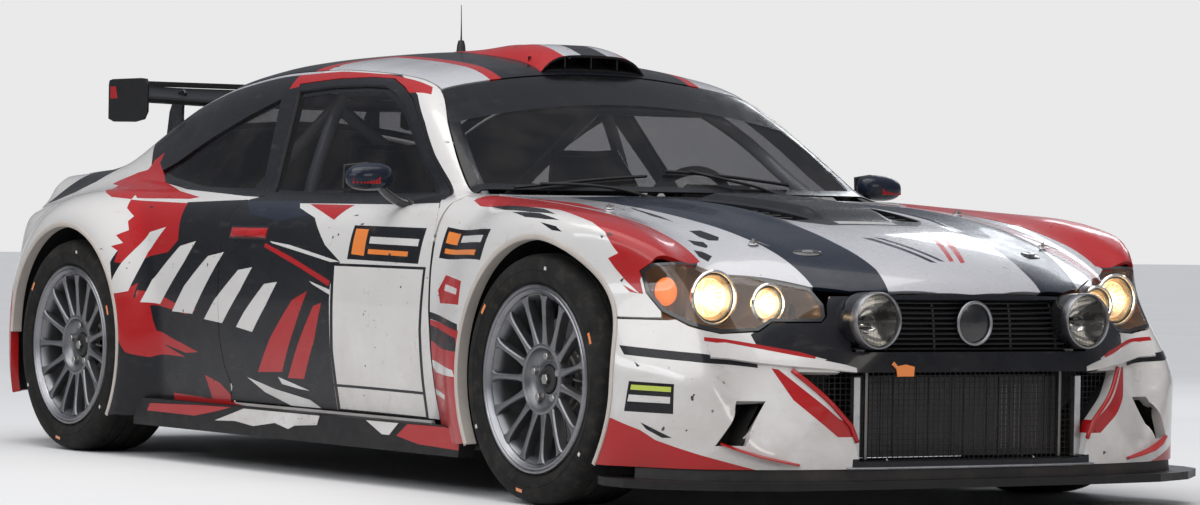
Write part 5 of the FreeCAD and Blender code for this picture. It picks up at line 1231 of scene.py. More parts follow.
rear = Plan(-1300.0)
rb_side = on_side([(-1772, z) for z in np.linspace(168, 558, 22)])
rb_top = phi_pts(np.linspace(62, 0, 30) * -1, 559.0, rear)
x62 = rear.to(rb_side)[:, 0] / 700
p0 = math.degrees(float(x62[-1]))
p1 = math.degrees(float(x62[0]))
rb_top = phi_pts(np.linspace(p0, -p0, 90), 559.0, rear)
rb_low = phi_pts(np.linspace(-p1, p1, 90), 168.0, rear)
yl = rb_low[:, 1]
rb_low[np.abs(yl) < 380, 2] = 262.0
rb_low[np.abs(yl + 470) < 62, 2] = 250.0
rb_out = np.concatenate([rb_side, rb_top[1:-1], flipped(rb_side)[::-1], rb_low[1:-1]])
rbl = [(WHITE, phi_pts([p0, -p0, -p0, -p0 - 33, -p0 - 38, -p0 - 29, -p0 - 35, -p0 - 27, p0 + 27, p0 + 35, p0 + 29, p0 + 38, p0 + 33, p0],
                       [561, 561, 512, 512, 430, 360, 280, 167, 167, 280, 360, 430, 512, 512], rear))]
for s in (1, -1):
    g = (lambda q: np.asarray(q, float)) if s == 1 else flipped
    rbl += [(BLACK, g(phi_pts([-30, -8, -8, -26, -34], [300, 300, 168, 168, 240], rear)))]
rbl.append((BLACK, phi_pts(np.linspace(-28, 28, 12).tolist() + [24, -24], [420] * 12 + [262, 262], rear)))
panel("rear_bumper_skin", rear, rb_out, [], rbl, RED, "chassis", ["rear_bumper"], step=17.0, depth=26.0)

TLAMP = [(-692, 640), (-430, 640), (-430, 735), (-640, 735)]
tl3 = on_nose(dens(TLAMP, 12), -1)
t_side = on_side([(-2026, z) for z in np.linspace(568, 700, 9)])
t_cor = on_top([(-2026, -y) for y in (760, 720, 690)], 1100)
t_lid = on_top([(float(TA(abs(y))) + 76.0, y) for y in np.linspace(-547, 547, 31)], 1100)
t_cor = np.array([p for p in t_cor if p[2] > 700])
t_low = phi_pts(np.degrees(np.linspace(float(rear.to(flipped(t_side))[0, 0]) / 700, float(rear.to(t_side)[0, 0]) / 700, 60)), 568.0, rear)
t_out = np.concatenate([t_side, t_cor, t_lid, flipped(t_cor)[::-1], flipped(t_side)[::-1], t_low[1:-1]])
panel("tail_skin", rear, t_out, [tl3, flipped(tl3)], [(WHITE, phi_pts([-50, -40, -38, -42, -50], [850, 850, 640, 566, 566], rear)), (WHITE, phi_pts([50, 40, 38, 42, 50], [850, 850, 640, 566, 566], rear))],
      BLACK, "chassis", ["tail_panel"], step=15.0, depth=16.0)
lr = panel("right_tail_lens", rear, tl3, [], [(WHITE, on_nose([(-482, 655), (-450, 655), (-450, 720), (-482, 720)], -1))], REDLENS, "chassis", ["tail_lamps"], step=12.0, inset=1.2, depth=10.0, sink=2.5, inner=TRIM)
mirrored(lr, "left_tail_lens", "chassis")

# ------------------------------------------------------------------ camera, floor, light
CAM = (11.113, -7.2296, 0.773)
YAW, PITCH, ROLL = math.radians(56.249), math.radians(0.4403), math.radians(0.9794)
back = Vector((math.sin(YAW) * math.cos(PITCH), -math.cos(YAW) * math.cos(PITCH), math.sin(PITCH)))
fwd = -back
right = fwd.cross(Vector((0, 0, 1))).normalized()
up = right.cross(fwd)
R_ = math.cos(ROLL) * right + math.sin(ROLL) * up
U_ = -math.sin(ROLL) * right + math.cos(ROLL) * up
cam_data = bpy.data.cameras.new("view")
cam_data.sensor_width = 36.0
cam_data.lens = 129.32
cam_data.clip_end = 200.0
cam = bpy.data.objects.new("view", cam_data)
bpy.context.scene.collection.objects.link(cam)
rot = Matrix((R_, U_, back)).transposed()
cam.matrix_world = Matrix.Translation(CAM) @ rot.to_4x4()
bpy.context.scene.camera = cam


def floor_mat():
    m, tree, out = new_mat("floor_pale")
    t = T(tree)
    c = t.mixc(t.ramp(t.noise(0.8, 4, 0.5), 0.3, 0.7), (0.66, 0.66, 0.66), (0.63, 0.63, 0.63))
    shader(t, out, c, 0.85, 0.0, 0.0, 0.05, 0.2)
    return m


fm = bpy.data.meshes.new("floor")
fm.from_pydata([(-60, -60, 0), (60, -60, 0), (60, 60, 0), (-60, 60, 0)], [], [(0, 1, 2, 3)])
fm.materials.append(floor_mat())
floor = bpy.data.objects.new("floor", fm)
bpy.context.scene.collection.objects.link(floor)

w = bpy.data.worlds.new("studio")
bpy.context.scene.world = w
w.use_nodes = True
wt = T(w.node_tree)
bg = w.node_tree.nodes["Background"]
aim = wt.co.outputs["Generated"]
dot = w.node_tree.nodes.new("ShaderNodeVectorMath")
dot.operation = "DOT_PRODUCT"
wt.link(aim, dot.inputs[0])
dot.inputs[1].default_value = (-0.8315, 0.5555, 0.0)
height = wt.xyz(aim)[2]
behind = wt.math("MULTIPLY", wt.ramp(dot.outputs["Value"], 0.86, 0.97), wt.ramp(height, 0.070, 0.105, 1.0, 0.0))
sky = wt.ramp(height, 0.0, 0.9, 0.14, 0.42)
wt.link(wt.mixc(behind, (0.86, 0.90, 1.0), (1.0, 1.0, 1.0)), bg.inputs[0])
wt.link(wt.math("ADD", wt.math("MULTIPLY", behind, 0.82), wt.math("MULTIPLY", wt.math("SUBTRACT", 1.0, behind), sky)), bg.inputs[1])
bpy.context.scene.view_settings.view_transform = "Standard"


def area_light(name, loc, target, size, size_y, power, col=(1, 1, 1)):
    l = bpy.data.lights.new(name, "AREA")
    l.shape = "RECTANGLE"
    l.size, l.size_y = size, size_y
    l.energy = power
    l.color = col
    o = bpy.data.objects.new(name, l)
    bpy.context.scene.collection.objects.link(o)
    o.location = loc
    o.rotation_euler = (Vector(target) - Vector(loc)).to_track_quat("-Z", "Y").to_euler()
    return o


area_light("key_overhead", (0.5, -0.5, 5.2), (0, 0, 0), 6.5, 3.2, 130, (1.0, 0.97, 0.93))
area_light("side_strip", (1.5, -6.0, 2.6), (0, -0.8, 0.7), 7.0, 0.9, 85, (0.94, 0.97, 1.0))
area_light("front_fill", (8.0, 1.5, 2.4), (1.8, 0, 0.6), 3.5, 1.2, 62, (1.0, 0.93, 0.86))
area_light("rear_rim", (-3.5, 7.0, 4.2), (-1.0, 0, 0.9), 4.0, 1.2, 80, (0.92, 0.96, 1.0))
sun = bpy.data.lights.new("soft_sun", "SUN")
sun.energy = 2.1
sun.angle = math.radians(70)
sun_o = bpy.data.objects.new("soft_sun", sun)
bpy.context.scene.collection.objects.link(sun_o)
sun_o.rotation_euler = (math.radians(28), math.radians(14), 0)

# ------------------------------------------------------------------ wheels
def wheel(tag, fx, sy):
    body_name = tag + "_wheel"
    at = np.array([1380.0 * fx, 0, 340.0])
    fl = (lambda v: np.asarray(v, float)) if sy > 0 else flipy

    def put(mesh, vf, m, smooth=True):
        v, f = vf
        v = fl(v)
        mesh.add(v + at, f, m, smooth)

    t = Mesh()
    half = [(340, 822), (340, 896), (339.2, 906), (336.6, 918), (332, 929), (326, 936.5), (318, 941), (308, 942.8), (296, 943), (294.5, 941.6), (291, 941.6), (289.5, 942.8), (284, 942),
            (272, 938), (264, 933), (262.6, 930), (259.5, 929), (258, 926), (250, 922), (240, 919), (231, 916), (229.6, 904), (229.6, 822)]
    grooves = [(340, 822), (340, 842), (336, 843), (336, 849), (340, 850), (340, 880), (336.5, 881), (336.5, 886), (340, 887), (340, 896)]
    out = grooves[:-1] + half[1:]
    prof = out + [(r, 1644.0 - y if y > 822 else y) for r, y in reversed(out)][1:-1]
    prof = [(r, max(703.0, y)) for r, y in prof]
    put(t, revolve(prof, 120), TYRE)
    for a0, span, m_ in ((0.35, 0.10, ORANGE), (2.45, 0.10, ORANGE), (4.5, 0.10, ORANGE), (1.35, 0.035, WHITE), (3.6, 0.035, WHITE), (5.6, 0.035, WHITE)):
        put(t, revolve([(301, 943.2), (310, 943.1), (310, 942.0), (301, 942.0)], 8, "y", True, (a0, a0 + span)), m_)
    t.done(tag + "_tyre_slick", body_name, [tag + "_tyre"], 30.0)

    r = Mesh()
    put(r, revolve([(214, 714), (240, 710), (246, 711), (246, 718), (231, 723), (229, 735), (229, 905), (231, 917), (244, 921), (244, 924), (228, 920), (219, 908), (215, 890), (214, 760)], 120), RIM)
    put(r, revolve([(240, 923.5), (252, 921.5), (256, 924), (256.5, 930), (254, 934.5), (249, 935), (246, 932), (243.5, 934.5), (240, 935), (237, 931), (232, 927), (229.5, 921)], 120), RIMLIP)
    n_sp = 15
    secs = [(86, 17.0, 884, 908), (98, 12.5, 882, 909.5), (116, 9.2, 881, 911.5), (140, 7.8, 882, 914.5), (168, 7.2, 885, 918), (196, 8.0, 889, 921.5), (214, 10.5, 893, 923.5), (227, 17.0, 896, 924)]
    for k in range(n_sp):
        a = 2 * math.pi * (k + 0.5) / n_sp
        v, f = [], []
        for rr, w_, b0, b1 in secs:
            for dx, yy in ((-w_ * 0.72, b0), (-w_, b0 + 5), (-w_, b1 - 4), (-w_ + 3.4, b1), (0, b1 + 0.8), (w_ - 3.4, b1), (w_, b1 - 4), (w_, b0 + 5), (w_ * 0.72, b0)):
                v.append((rr * math.cos(a) - dx * math.sin(a), yy, rr * math.sin(a) + dx * math.cos(a)))
        q = 9
        for i in range(len(secs) - 1):
            for j in range(q):
                j2 = (j + 1) % q
                f.append((i * q + j, i * q + j2, (i + 1) * q + j2, (i + 1) * q + j))
        f.append(tuple(range(q)))
        f.append(tuple(reversed([(len(secs) - 1) * q + j for j in range(q)])))
        put(r, (np.array(v), f), RIM)
    put(r, revolve([(41, 866), (60, 864), (88, 866), (98, 880), (99, 902), (96, 909.5), (90, 911.5), (85, 909), (80, 896), (73, 887), (66, 883), (48, 882), (44, 884), (41, 884)], 90), RIM)
    for k in range(5):
        a = 2 * math.pi * k / 5 + 0.3
        v, f = disc_of(10.5, 883, 899, (0, 0, 0), "y", 6, 1.2)
        put(r, (v + np.array([62 * math.cos(a), 0, 62 * math.sin(a)]), f), BOLT, False)
        v, f = disc_of(14.5, 882, 884.5, (0, 0, 0), "y", 24, 0.6)
        put(r, (v + np.array([62 * math.cos(a), 0, 62 * math.sin(a)]), f), STEEL)
    put(r, revolve([(0.1, 872), (30, 872), (36, 876), (38, 886), (35, 890), (24, 892), (22, 889), (0.1, 889)], 40, "y", False), TRIM)
    put(r, disc_of(15.0, 889, 901, (0, 0, 0), "y", 6, 1.5), BOLT, False)
    v, f = tube([(206, 905, 0), (206, 932, 6), (205, 941, 8)], [3.6, 3.2, 2.6], 10)
    put(r, (v, f), BOLT)
    r.done(tag + "_rim_spoked", body_name, [tag + "_rim"], 32.0)

    d = Mesh()
    put(d, revolve([(92, 800), (168, 800), (170, 802), (170, 807), (92, 807)], 90), IRON)
    put(d, revolve([(84, 825), (170, 825), (170, 830), (168, 832), (88, 832)], 90), IRON)
    for k in range(40):
        a = 2 * math.pi * k / 40
        v, f = block(92, 168, -1.6, 1.6, 807, 825, 0.3)
        v = np.stack([v[:, 0] * math.cos(a) - v[:, 1] * math.sin(a), v[:, 2], v[:, 0] * math.sin(a) + v[:, 1] * math.cos(a)], -1)
        put(d, (v, f), STEEL, False)
    put(d, revolve([(30, 842), (70, 842), (78, 834), (84, 826), (92, 826), (94, 831), (86, 834), (82, 846), (74, 852), (30, 852)], 72), STEEL)
    for k in range(12):
        a = 2 * math.pi * k / 12
        v, f = block(100, 160, -2.2, 2.2, 831.4, 832.4, 0.3)
        v = np.stack([v[:, 0] * math.cos(a) - v[:, 1] * math.sin(a) - 0.25 * (v[:, 0] - 100) * math.sin(a), v[:, 2], v[:, 0] * math.sin(a) + v[:, 1] * math.cos(a) + 0.25 * (v[:, 0] - 100) * math.cos(a)], -1)
        put(d, (v, f), TRIM, False)
        v, f = disc_of(5, 832, 837, (0, 0, 0), "y", 6, 0.8)
        put(d, (v + np.array([88 * math.cos(a + 0.26), 0, 88 * math.sin(a + 0.26)]), f), BOLT, False)
    d.done(tag + "_disc_vented", body_name, [tag + "_disc"], 30.0)


for tag, fx, sy in (("front_left", 1, 1), ("front_right", 1, -1), ("rear_left", -1, 1), ("rear_right", -1, -1)):
    wheel(tag, fx, sy)


# arch edges and liners
def arch_trim(name, cx, r, a0, a1, sy):
    pts = np.array(arch_pts(cx, r, a0, a1, 90))
    p = on_side(pts)
    er = np.stack([(pts[:, 0] - cx) / r, 0 * pts[:, 0], (pts[:, 1] - 345) / r], -1)
    prof = [(7, -1.5), (6, 2.2), (1, 4.2), (-5, 3.6), (-8.5, 0.5), (-9.5, -30), (-4, -31), (-2, -4)]
    v = []
    for q, e in zip(p, er):
        for a, b in prof:
            v.append((q[0] + e[0] * a, q[1] - b, q[2] + e[2] * a))
    k = len(prof)
    f = [(i * k + j, i * k + (j + 1) % k, (i + 1) * k + (j + 1) % k, (i + 1) * k + j) for i in range(len(p) - 1) for j in range(k)]
    f += [tuple(range(k)), tuple(reversed([(len(p) - 1) * k + j for j in range(k)]))]
    v = np.array(v)
    m = Mesh()
    # rolled lip in the darkened white, painted shade
    m.add(v if sy < 0 else flipy(v), f, LIP_PAINTED_SHADE)
    # liner
    deep = []
    for q, e in zip(p, er):
        for yy in (q[1] + 16, q[1] + 60, -700, -600, -545):
            deep.append((cx + e[0] * (r + (10 if yy < -650 else 4)), min(yy, -545) if yy > q[1] else yy, 345 + e[2] * (r + (10 if yy < -650 else 4))))
    deep = np.array(deep)
    f2 = [(i * 5 + j, i * 5 + j + 1, (i + 1) * 5 + j + 1, (i + 1) * 5 + j) for i in range(len(p) - 1) for j in range(4)]
    m.add(deep if sy < 0 else flipy(deep), f2, RUBBER)
    m.done(name, "chassis", (), 40.0)


for sy, nm in ((-1, "right"), (1, "left")):
    arch_trim(nm + "_front_arch_trim", 1380, 380, 211.5, -34.5, sy)
    arch_trim(nm + "_rear_arch_trim", -1380, 384, -34.0, 176.0, sy)


# ------------------------------------------------------------------ lamps
def headlamp(s, nm):
    g = (lambda v: np.asarray(v, float)) if s < 0 else flipy
    L = LENS3 if s < 0 else flipped(LENS3)
    # bucket: rim of the lens carried inwards along -x
    q = grow(dens(nose.to(L), 10), -3.0)
    rim_o = nose.hit(q)
    nr = gradient(rim_o)
    m = Mesh()
    n = len(q)
    rings = []
    for dd, sh in ((2.0, 0.0), (12.0, 3.0), (55.0, 6.0), (95.0, 14.0)):
        q2 = grow(q, -sh) if sh else q
        if len(q2) != n:
            q2 = q
        pp = nose.hit(q2)
        rings.append(pp - nr * 8.0 - np.array([dd, 0, 0]))
    v = np.concatenate(rings)
    f = [(k * n + i, k * n + (i + 1) % n, (k + 1) * n + (i + 1) % n, (k + 1) * n + i) for k in range(3) for i in range(n)]
    # bucket walls in painted glow
    m.add(v, f, BUCKET_PAINTED_GLOW)
    m.done(nm + "_lamp_bucket", "chassis", (), 45.0)
    # back wall of the bucket
    bq = dens(nose.to(L), 12)
    b = Mesh()

    def bowl(c, r, depth, rim_m, bowl_glow_m, bulb):
        c = np.array(c, float)
        prof = [(r + 5, -4), (r + 6, 2), (r + 3, 5), (r, 3), (r - 1, -2)] + [(r * math.sqrt(max(0.0, 1 - k / 9.0)) * 0.985, -2 - depth * k / 9.0) for k in range(0, 9)] + [(r * 0.18, -depth - 2), (0.2, -depth - 2)]
        v, f = revolve([(r + 9, -6), (r + 10, 1), (r + 7, 5), (r + 3, 5), (r + 1, 1), (r + 1, -6)], 56, "x", True)
        b.add(g(v + c), f, CHROME)
        v, f = revolve([(r + 1, -1), (r - 3, -3), (r - 5, -9), (r - 4, -12)], 56, "x", False)
        b.add(g(v + c), f, GLOSSBLACK)
        # reflector surface in painted glow
        v, f = revolve(prof[4:9], 56, "x", False)
        b.add(g(v + c), f, bowl_glow_m)
        v, f = revolve(prof[8:], 56, "x", False)
        b.add(g(v + c), f, BOWL_CORE_PAINTED_GLOW)
        for q_ in range(10):
            a_ = math.pi * q_ / 10
            rr_ = r * 0.86
            bv_, bf_ = tube([(-depth * 0.35, rr_ * math.cos(a_), rr_ * math.sin(a_)), (-depth * 0.92, rr_ * 0.35 * math.cos(a_), rr_ * 0.35 * math.sin(a_))], 0.9, 6)
            b.add(g(bv_ + c), bf_, CHROME)
            bv_, bf_ = tube([(-depth * 0.35, -rr_ * math.cos(a_), -rr_ * math.sin(a_)), (-depth * 0.92, -rr_ * 0.35 * math.cos(a_), -rr_ * 0.35 * math.sin(a_))], 0.9, 6)
            b.add(g(bv_ + c), bf_, CHROME)
        v, f = revolve([(0.2, -depth * 0.25)] + [(bulb * math.sin(t), -depth * 0.45 + bulb * 1.3 * math.cos(t)) for t in np.linspace(0.15, 2.6, 9)] + [(bulb * 0.4, -depth)], 28, "x", False)
        b.add(g(v + c), f, WARMBULB)

    bowl((1868, -690, 572), 64, 56, BUCKET_PAINTED_GLOW, BOWL_PAINTED_GLOW, 19)
    bowl((1938, -563, 558), 46, 44, BUCKET_PAINTED_GLOW, BOWL_PAINTED_GLOW, 14)
    # amber marker: small bowl beside the wing
    av, af = revolve([(30 * math.sin(t), 10 * math.cos(t)) for t in np.linspace(0.02, 1.57, 9)], 36, "x", False)
    av = turned(av * np.array([1, 1, 1.25]), Matrix.Rotation(math.radians(-42), 3, "Z"), (1788, -788, 586))
    b.add(g(av), af, AMBERGLOW)
    # divider wall between the marker and the main bowl, with a faint painted glow
    wv, wf = block(1795, 1830, -760, -752, 520, 650, 2.0)
    b.add(g(wv), wf, BUCKET_PAINTED_GLOW)
    # back plate, with a faint painted glow
    bp = np.array([(1790, -815, 500), (1850, -760, 492), (1900, -640, 492), (1945, -480, 506), (1945, -455, 590), (1860, -600, 640), (1780, -740, 655), (1752, -815, 640)], float)
    cen = bp.mean(0) - np.array([30, 0, 0])
    b.add(g(np.concatenate([bp - np.array([45, 0, 0]), [cen - np.array([20, 0, 0])]])), [(i, (i + 1) % 8, 8) for i in range(8)], BUCKET_PAINTED_GLOW)
    b.done(nm + "_lamp_inside", "chassis", (), 40.0)
    inner = nose.hit(grow(dens(nose.to(L), 10), -9.0))
    panel(nm + "_lamp_lens", nose, L, [], [(LENS, inner)], GLOSSBLACK, "chassis", ["headlights"] if s < 0 else [], step=14.0, inset=1.5, depth=4.0, sink=0.5, inner=LENS)


headlamp(-1, "right")
headlamp(1, "left")

# spot lamps on the nose
m = Mesh()
for s in (-1, 1):
    c = np.array([0, s * 356.0, 520.0])
    v, f = revolve([(0.2, 2012), (30, 2014), (52, 2024), (66, 2044), (72, 2066), (74, 2090), (74, 2126), (70, 2128)], 64, "x", False)
    m.add(v + c, f, GLOSSBLACK)
    v, f = revolve([(70, 2122), (75.5, 2120), (76, 2128), (76, 2142), (74, 2147), (71, 2147.6), (69, 2144), (68.5, 2130)], 64, "x")
    m.add(v + c, f, RIMLIP)
    v, f = revolve([(69, 2134), (66, 2122), (58, 2102), (46, 2084), (30, 2070), (12, 2063), (0.2, 2062)], 64, "x", False)
    m.add(v + c, f, CHROME)
    v, f = revolve([(0.2, 2112), (10, 2111), (15, 2106), (16, 2098), (13, 2086), (10, 2066)], 32, "x", False)
    m.add(v + c, f, GLOSSBLACK)
    v, f = block(2098, 2118, s * 356 - 68, s * 356 + 68, 516, 519, 0.8)
    m.add(v, f, GLOSSBLACK, False)
    for k in range(-5, 6):
        h = math.sqrt(max(0.0, 66 ** 2 - (k * 11.0) ** 2))
        v, f = block(2137, 2139.5, s * 356 + k * 11 - 0.7, s * 356 + k * 11 + 0.7, 520 - h, 518, 0.2)
        m.add(v, f, LENS, False)
    v, f = tube([(2052, s * 356, 452), (2056, s * 356, 436), (2050, s * 356, 424)], 11, 14)
    m.add(v, f, STEEL)
    v, f = disc_of(17, 2036, 2066, (0, s * 356, 440), "x", 6, 2.0)
    m.add(v, f, BOLT, False)
m.done("spot_lamp_pods", "chassis", ["spot_lamps"], 34.0)
m = Mesh()
for s in (-1, 1):
    v, f = revolve([(0.2, 2145), (30, 2144), (52, 2141.5), (68.5, 2137)], 48, "x", False)
    m.add(v + np.array([0, s * 356.0, 520.0]), f, LENS)
m.done("spot_lamp_glass", "chassis", (), 0)

# grille slats, mesh and blank ring badge
m = Mesh()
ys = np.linspace(-399, 399, 60)
for z in np.arange(446, 574, 13.5):
    lim = 398 if z < 560 else 398 - (z - 560) * 4.2
    yy = np.linspace(-lim, lim, 54)
    p = on_nose([(a, z) for a in yy])
    v = []
    for q in p:
        for dx, dz in ((-20, -3.2), (-13, -4.2), (-12, -2.6), (-12, -1), (-17, 2.6), (-24, 3.2)):
            v.append((q[0] + dx, q[1], q[2] + dz))
    f = [(i * 6 + j, i * 6 + (j + 1) % 6, (i + 1) * 6 + (j + 1) % 6, (i + 1) * 6 + j) for i in range(len(p) - 1) for j in range(6)]
    m.add(np.array(v), f, WINGBLACK)
for y0 in (-290, -130, 130, 290):
    p = on_nose([(y0, z) for z in np.linspace(440, 572, 9)])
    v = []
    for q in p:
        for dx, dy in ((-30, -3), (-16, -3), (-16, 3), (-30, 3)):
            v.append((q[0] + dx, q[1] + dy, q[2]))
    f = [(i * 4 + j, i * 4 + (j + 1) % 4, (i + 1) * 4 + (j + 1) % 4, (i + 1) * 4 + j) for i in range(len(p) - 1) for j in range(4)]
    m.add(np.array(v), f, TRIM, False)
gp = on_nose([(a, z) for z in (434, 480, 530, 578) for a in ys]) - np.array([42.0, 0, 0])
m.add(gp, [(k * 60 + i, k * 60 + i + 1, (k + 1) * 60 + i + 1, (k + 1) * 60 + i) for k in range(3) for i in range(59)], RUBBER)
m.done("grille_slats", "chassis", ["grille"], 34.0)
m = Mesh()
v, f = revolve([(56 + 5.0 * math.cos(t), 5.0 * math.sin(t)) for t in np.linspace(0, 2 * math.pi, 12, endpoint=False)], 64, "x")
m.add(v + np.array([2100, 0, 512]), f, RIMLIP)
v, f = revolve([(0.2, 2), (40, 1), (54, -2), (54, -8), (0.2, -8)], 64, "x", False)
m.add(v + np.array([2098, 0, 512]), f, GLOSSBLACK)
m.done("ring_badge_blank", "chassis", (), 40.0)

# lower intake: duct, mesh, bars
m = Mesh()
n3 = dens(INTAKE, 40)
p = on_nose(n3)
n = len(p)
ringa = p - np.array([26, 0, 0])
ringb = p * np.array([1, 0.97, 1]) - np.array([150, 0, 0])
ringb[:, 0] = np.minimum(ringb[:, 0], 1945)
m.add(np.concatenate([ringa, ringb]), [(i, (i + 1) % n, n + (i + 1) % n, n + i) for i in range(n)], TRIM, False)
line_y = np.linspace(-560, 560, 113)
line_x = on_nose([(y, 260) for y in line_y])[:, 0]
for y in np.arange(-520, 521, 17.0):
    a = abs(y)
    z0 = 150 if a < 384 else (150 + (a - 384) * 4.6 if a < 404 else 240 + (a - 404))
    if z0 > 380:
        continue
    x = float(np.interp(y, line_y, line_x)) - 62
    m.add(*tube([(x, y, z0), (x, y, 384)], 1.5, 5), TRIM)
for z in np.arange(158, 384, 15.0):
    lim = 384 if z < 148 else (384 + (z - 148) * 0.217 if z < 240 else 404 + (z - 240))
    pts = [(float(np.interp(y, line_y, line_x)) - 62, y, z) for y in np.linspace(-lim + 3, lim - 3, 13)]
    m.add(*tube(pts, 1.5, 5), TRIM)
for s in (-1, 1):
    x = float(np.interp(s * 376, line_y, line_x)) - 30
    m.add(*block(x - 10, x + 6, s * 376 - 10, s * 376 + 10, 150, 372, 3.0), ALU, False)
    m.add(*block(x - 22, x - 14, s * 330 - 4, s * 330 + 4, 150, 384, 1.5), STEEL, False)
for k in range(9):
    y = 150 + k * 15
    m.add(*block(2030, 2036, y - 1.5, y + 1.5, 170, 345, 0.5), STEEL, False)
m.done("intake_mesh", "chassis", (), 34.0)
# intercooler fins
m = Mesh()
for z in np.arange(170, 362, 8.0):
    m.add(*block(1979, 2036.5, -352, 352, z - 0.7, z + 0.7, 0.3), COREDARK, False)
for y in np.linspace(-340, 340, 18):
    m.add(*block(2035.2, 2037.5, y - 2.5, y + 2.5, 160, 368, 0.5), COREDARK, False)
m.done("cooler_fins", "chassis", (), 0)
# vent wells
for s, nm in ((-1, "right"), (1, "left")):
    m = Mesh()
    p = on_nose(dens([(s * abs(a), z) for a, z in VENT], 14))
    n = len(p)
    c = p.mean(0)
    r1 = p + (p - c) * 0.05 - np.array([24, 0, 0])
    r2 = p + (p - c) * 0.02 - np.array([95, 0, 0])
    m.add(np.concatenate([r1, r2]), [(i, (i + 1) % n, n + (i + 1) % n, n + i) for i in range(n)] + [tuple(n + i for i in range(n))], RUBBER, False)
    m.done("bumper_vent_well_" + nm, "chassis", (), 34.0)
# shelf and winglet beside the vent
for s, nm in ((-1, "right"), (1, "left")):
    m = Mesh()
    # ledge: a thin blade standing proud above the intake corner
    top = [(-760, 455), (-700, 458), (-618, 442), (-540, 426), (-470, 414), (-420, 404), (-392, 396)]
    bot = [(-760, 418), (-700, 414), (-630, 404), (-560, 397), (-490, 392), (-430, 388), (-392, 385)]
    pt, pb = on_nose([(a, b) for a, b in top]), on_nose([(a, b) for a, b in bot])
    v, f = [], []
    for i in range(len(top)):
        u = i / (len(top) - 1)
        out_ = 2 + 11 * math.sin(math.pi * min(1.0, 0.08 + u * 0.98))
        mid = (pt[i] + pb[i]) / 2
        v += [pt[i] - [4, 0, 0], pt[i] + [out_ * 0.55, 0, -1], mid + [out_, 0, -3], pb[i] + [out_ * 0.9, 0, 2], pb[i] + [out_ * 0.3, 0, -2], pb[i] - [6, 0, 0]]
    for i in range(len(top) - 1):
        for j in range(6):
            f.append((i * 6 + j, i * 6 + (j + 1) % 6, (i + 1) * 6 + (j + 1) % 6, (i + 1) * 6 + j))
    f += [tuple(range(6)), tuple(reversed([(len(top) - 1) * 6 + j for j in range(6)]))]
    v = np.array(v, float)
    m.add(v if s < 0 else flipy(v), f, WHITE)
    m.done("intake_ledge_" + nm, "chassis", (), 50.0)
    m = Mesh()
    path = phi_pts([-47, -44, -41, -38, -35.5], [196, 178, 162, 150, 141], nose)
    v, f = [], []
    for i, q in enumerate(path):
        o = np.array([0.72, -0.69, 0]) * (8 + 16 * math.sin(math.pi * i / 4))
        v += [q + o * 0 + [0, 0, 4], q + o + [0, 0, 1], q + o - [0, 0, 2], q - [0, 0, 3]]
    for i in range(4):
        for j in range(4):
            f.append((i * 4 + j, i * 4 + (j + 1) % 4, (i + 1) * 4 + (j + 1) % 4, (i + 1) * 4 + j))
    v = np.array(v, float)
    m.add(v if s < 0 else flipy(v), f, RED)
    m.done("corner_winglet_" + nm, "chassis", (), 50.0)
# opening trims in red round the intake corners
m = Mesh()
for s in (-1, 1):
    pts = on_nose(dens([(s * 556, 388), (s * 480, 312), (s * 410, 242), (s * 392, 200)], 18, False))
    m.add(*tube(pts + np.array([3.0, 0, 0]), 6.5, 8), RED)
m.done("intake_trim", "chassis", (), 0)
# air dam and bright strip over the splitter
m = Mesh()
ph = np.linspace(-60, 60, 90)
pa = phi_pts(ph, 131.0, nose)
ctr = np.array([1300.0, 0, 0])
dirn = pa - ctr
dirn[:, 2] = 0
dirn /= np.linalg.norm(dirn, axis=1)[:, None]
v = []
for q, d_ in zip(pa, dirn):
    for o, z in ((-6, 130), (-4, 99.5), (-18, 99.5), (-20, 130)):
        v.append((q[0] + d_[0] * o, q[1] + d_[1] * o, z))
m.add(np.array(v), [(i * 4 + j, i * 4 + (j + 1) % 4, (i + 1) * 4 + (j + 1) % 4, (i + 1) * 4 + j) for i in range(89) for j in range(4)], TRIM)
sel = np.abs(pa[:, 1]) < 430
pb = (pa + dirn * 1.5)[sel]
m.add(*tube(pb, 4.0, 8), ALU)
m.done("front_air_dam", "chassis", (), 34.0)
m = Mesh()
for s in (-1, 1):
    for y in (250, 560):
        x = 2040 if y == 250 else 1990
        m.add(*tube([(x + 60, s * y, 100), (x + 10, s * y, 150)], 4.0, 10), BOLT)
        m.add(*disc_of(8, 99.5, 104, (x + 60, s * y, 0), "z", 12, 1.0), BOLT)
m.done("splitter_stays", "chassis", (), 40.0)
# tow strap
m = Mesh()
v, f = slab([(-268, 372), (-214, 372), (-212, 398), (-240, 404), (-268, 400), (-280, 412), (-288, 404), (-272, 392)], 2112, 2117, "yz", 1.0)
m.add(v, f, ORANGE, False)
m.done("tow_tab_front", "chassis", (), 0)

# ------------------------------------------------------------------ hood hardware, wipers
m = Mesh()


def hood_z(x, y):
    p = on_hood_raw([(x, y)])
    return float(p[0, 2] + bulge(p)[0][0])


def on_hood_raw(pts):
    return on_top(pts, 1000)


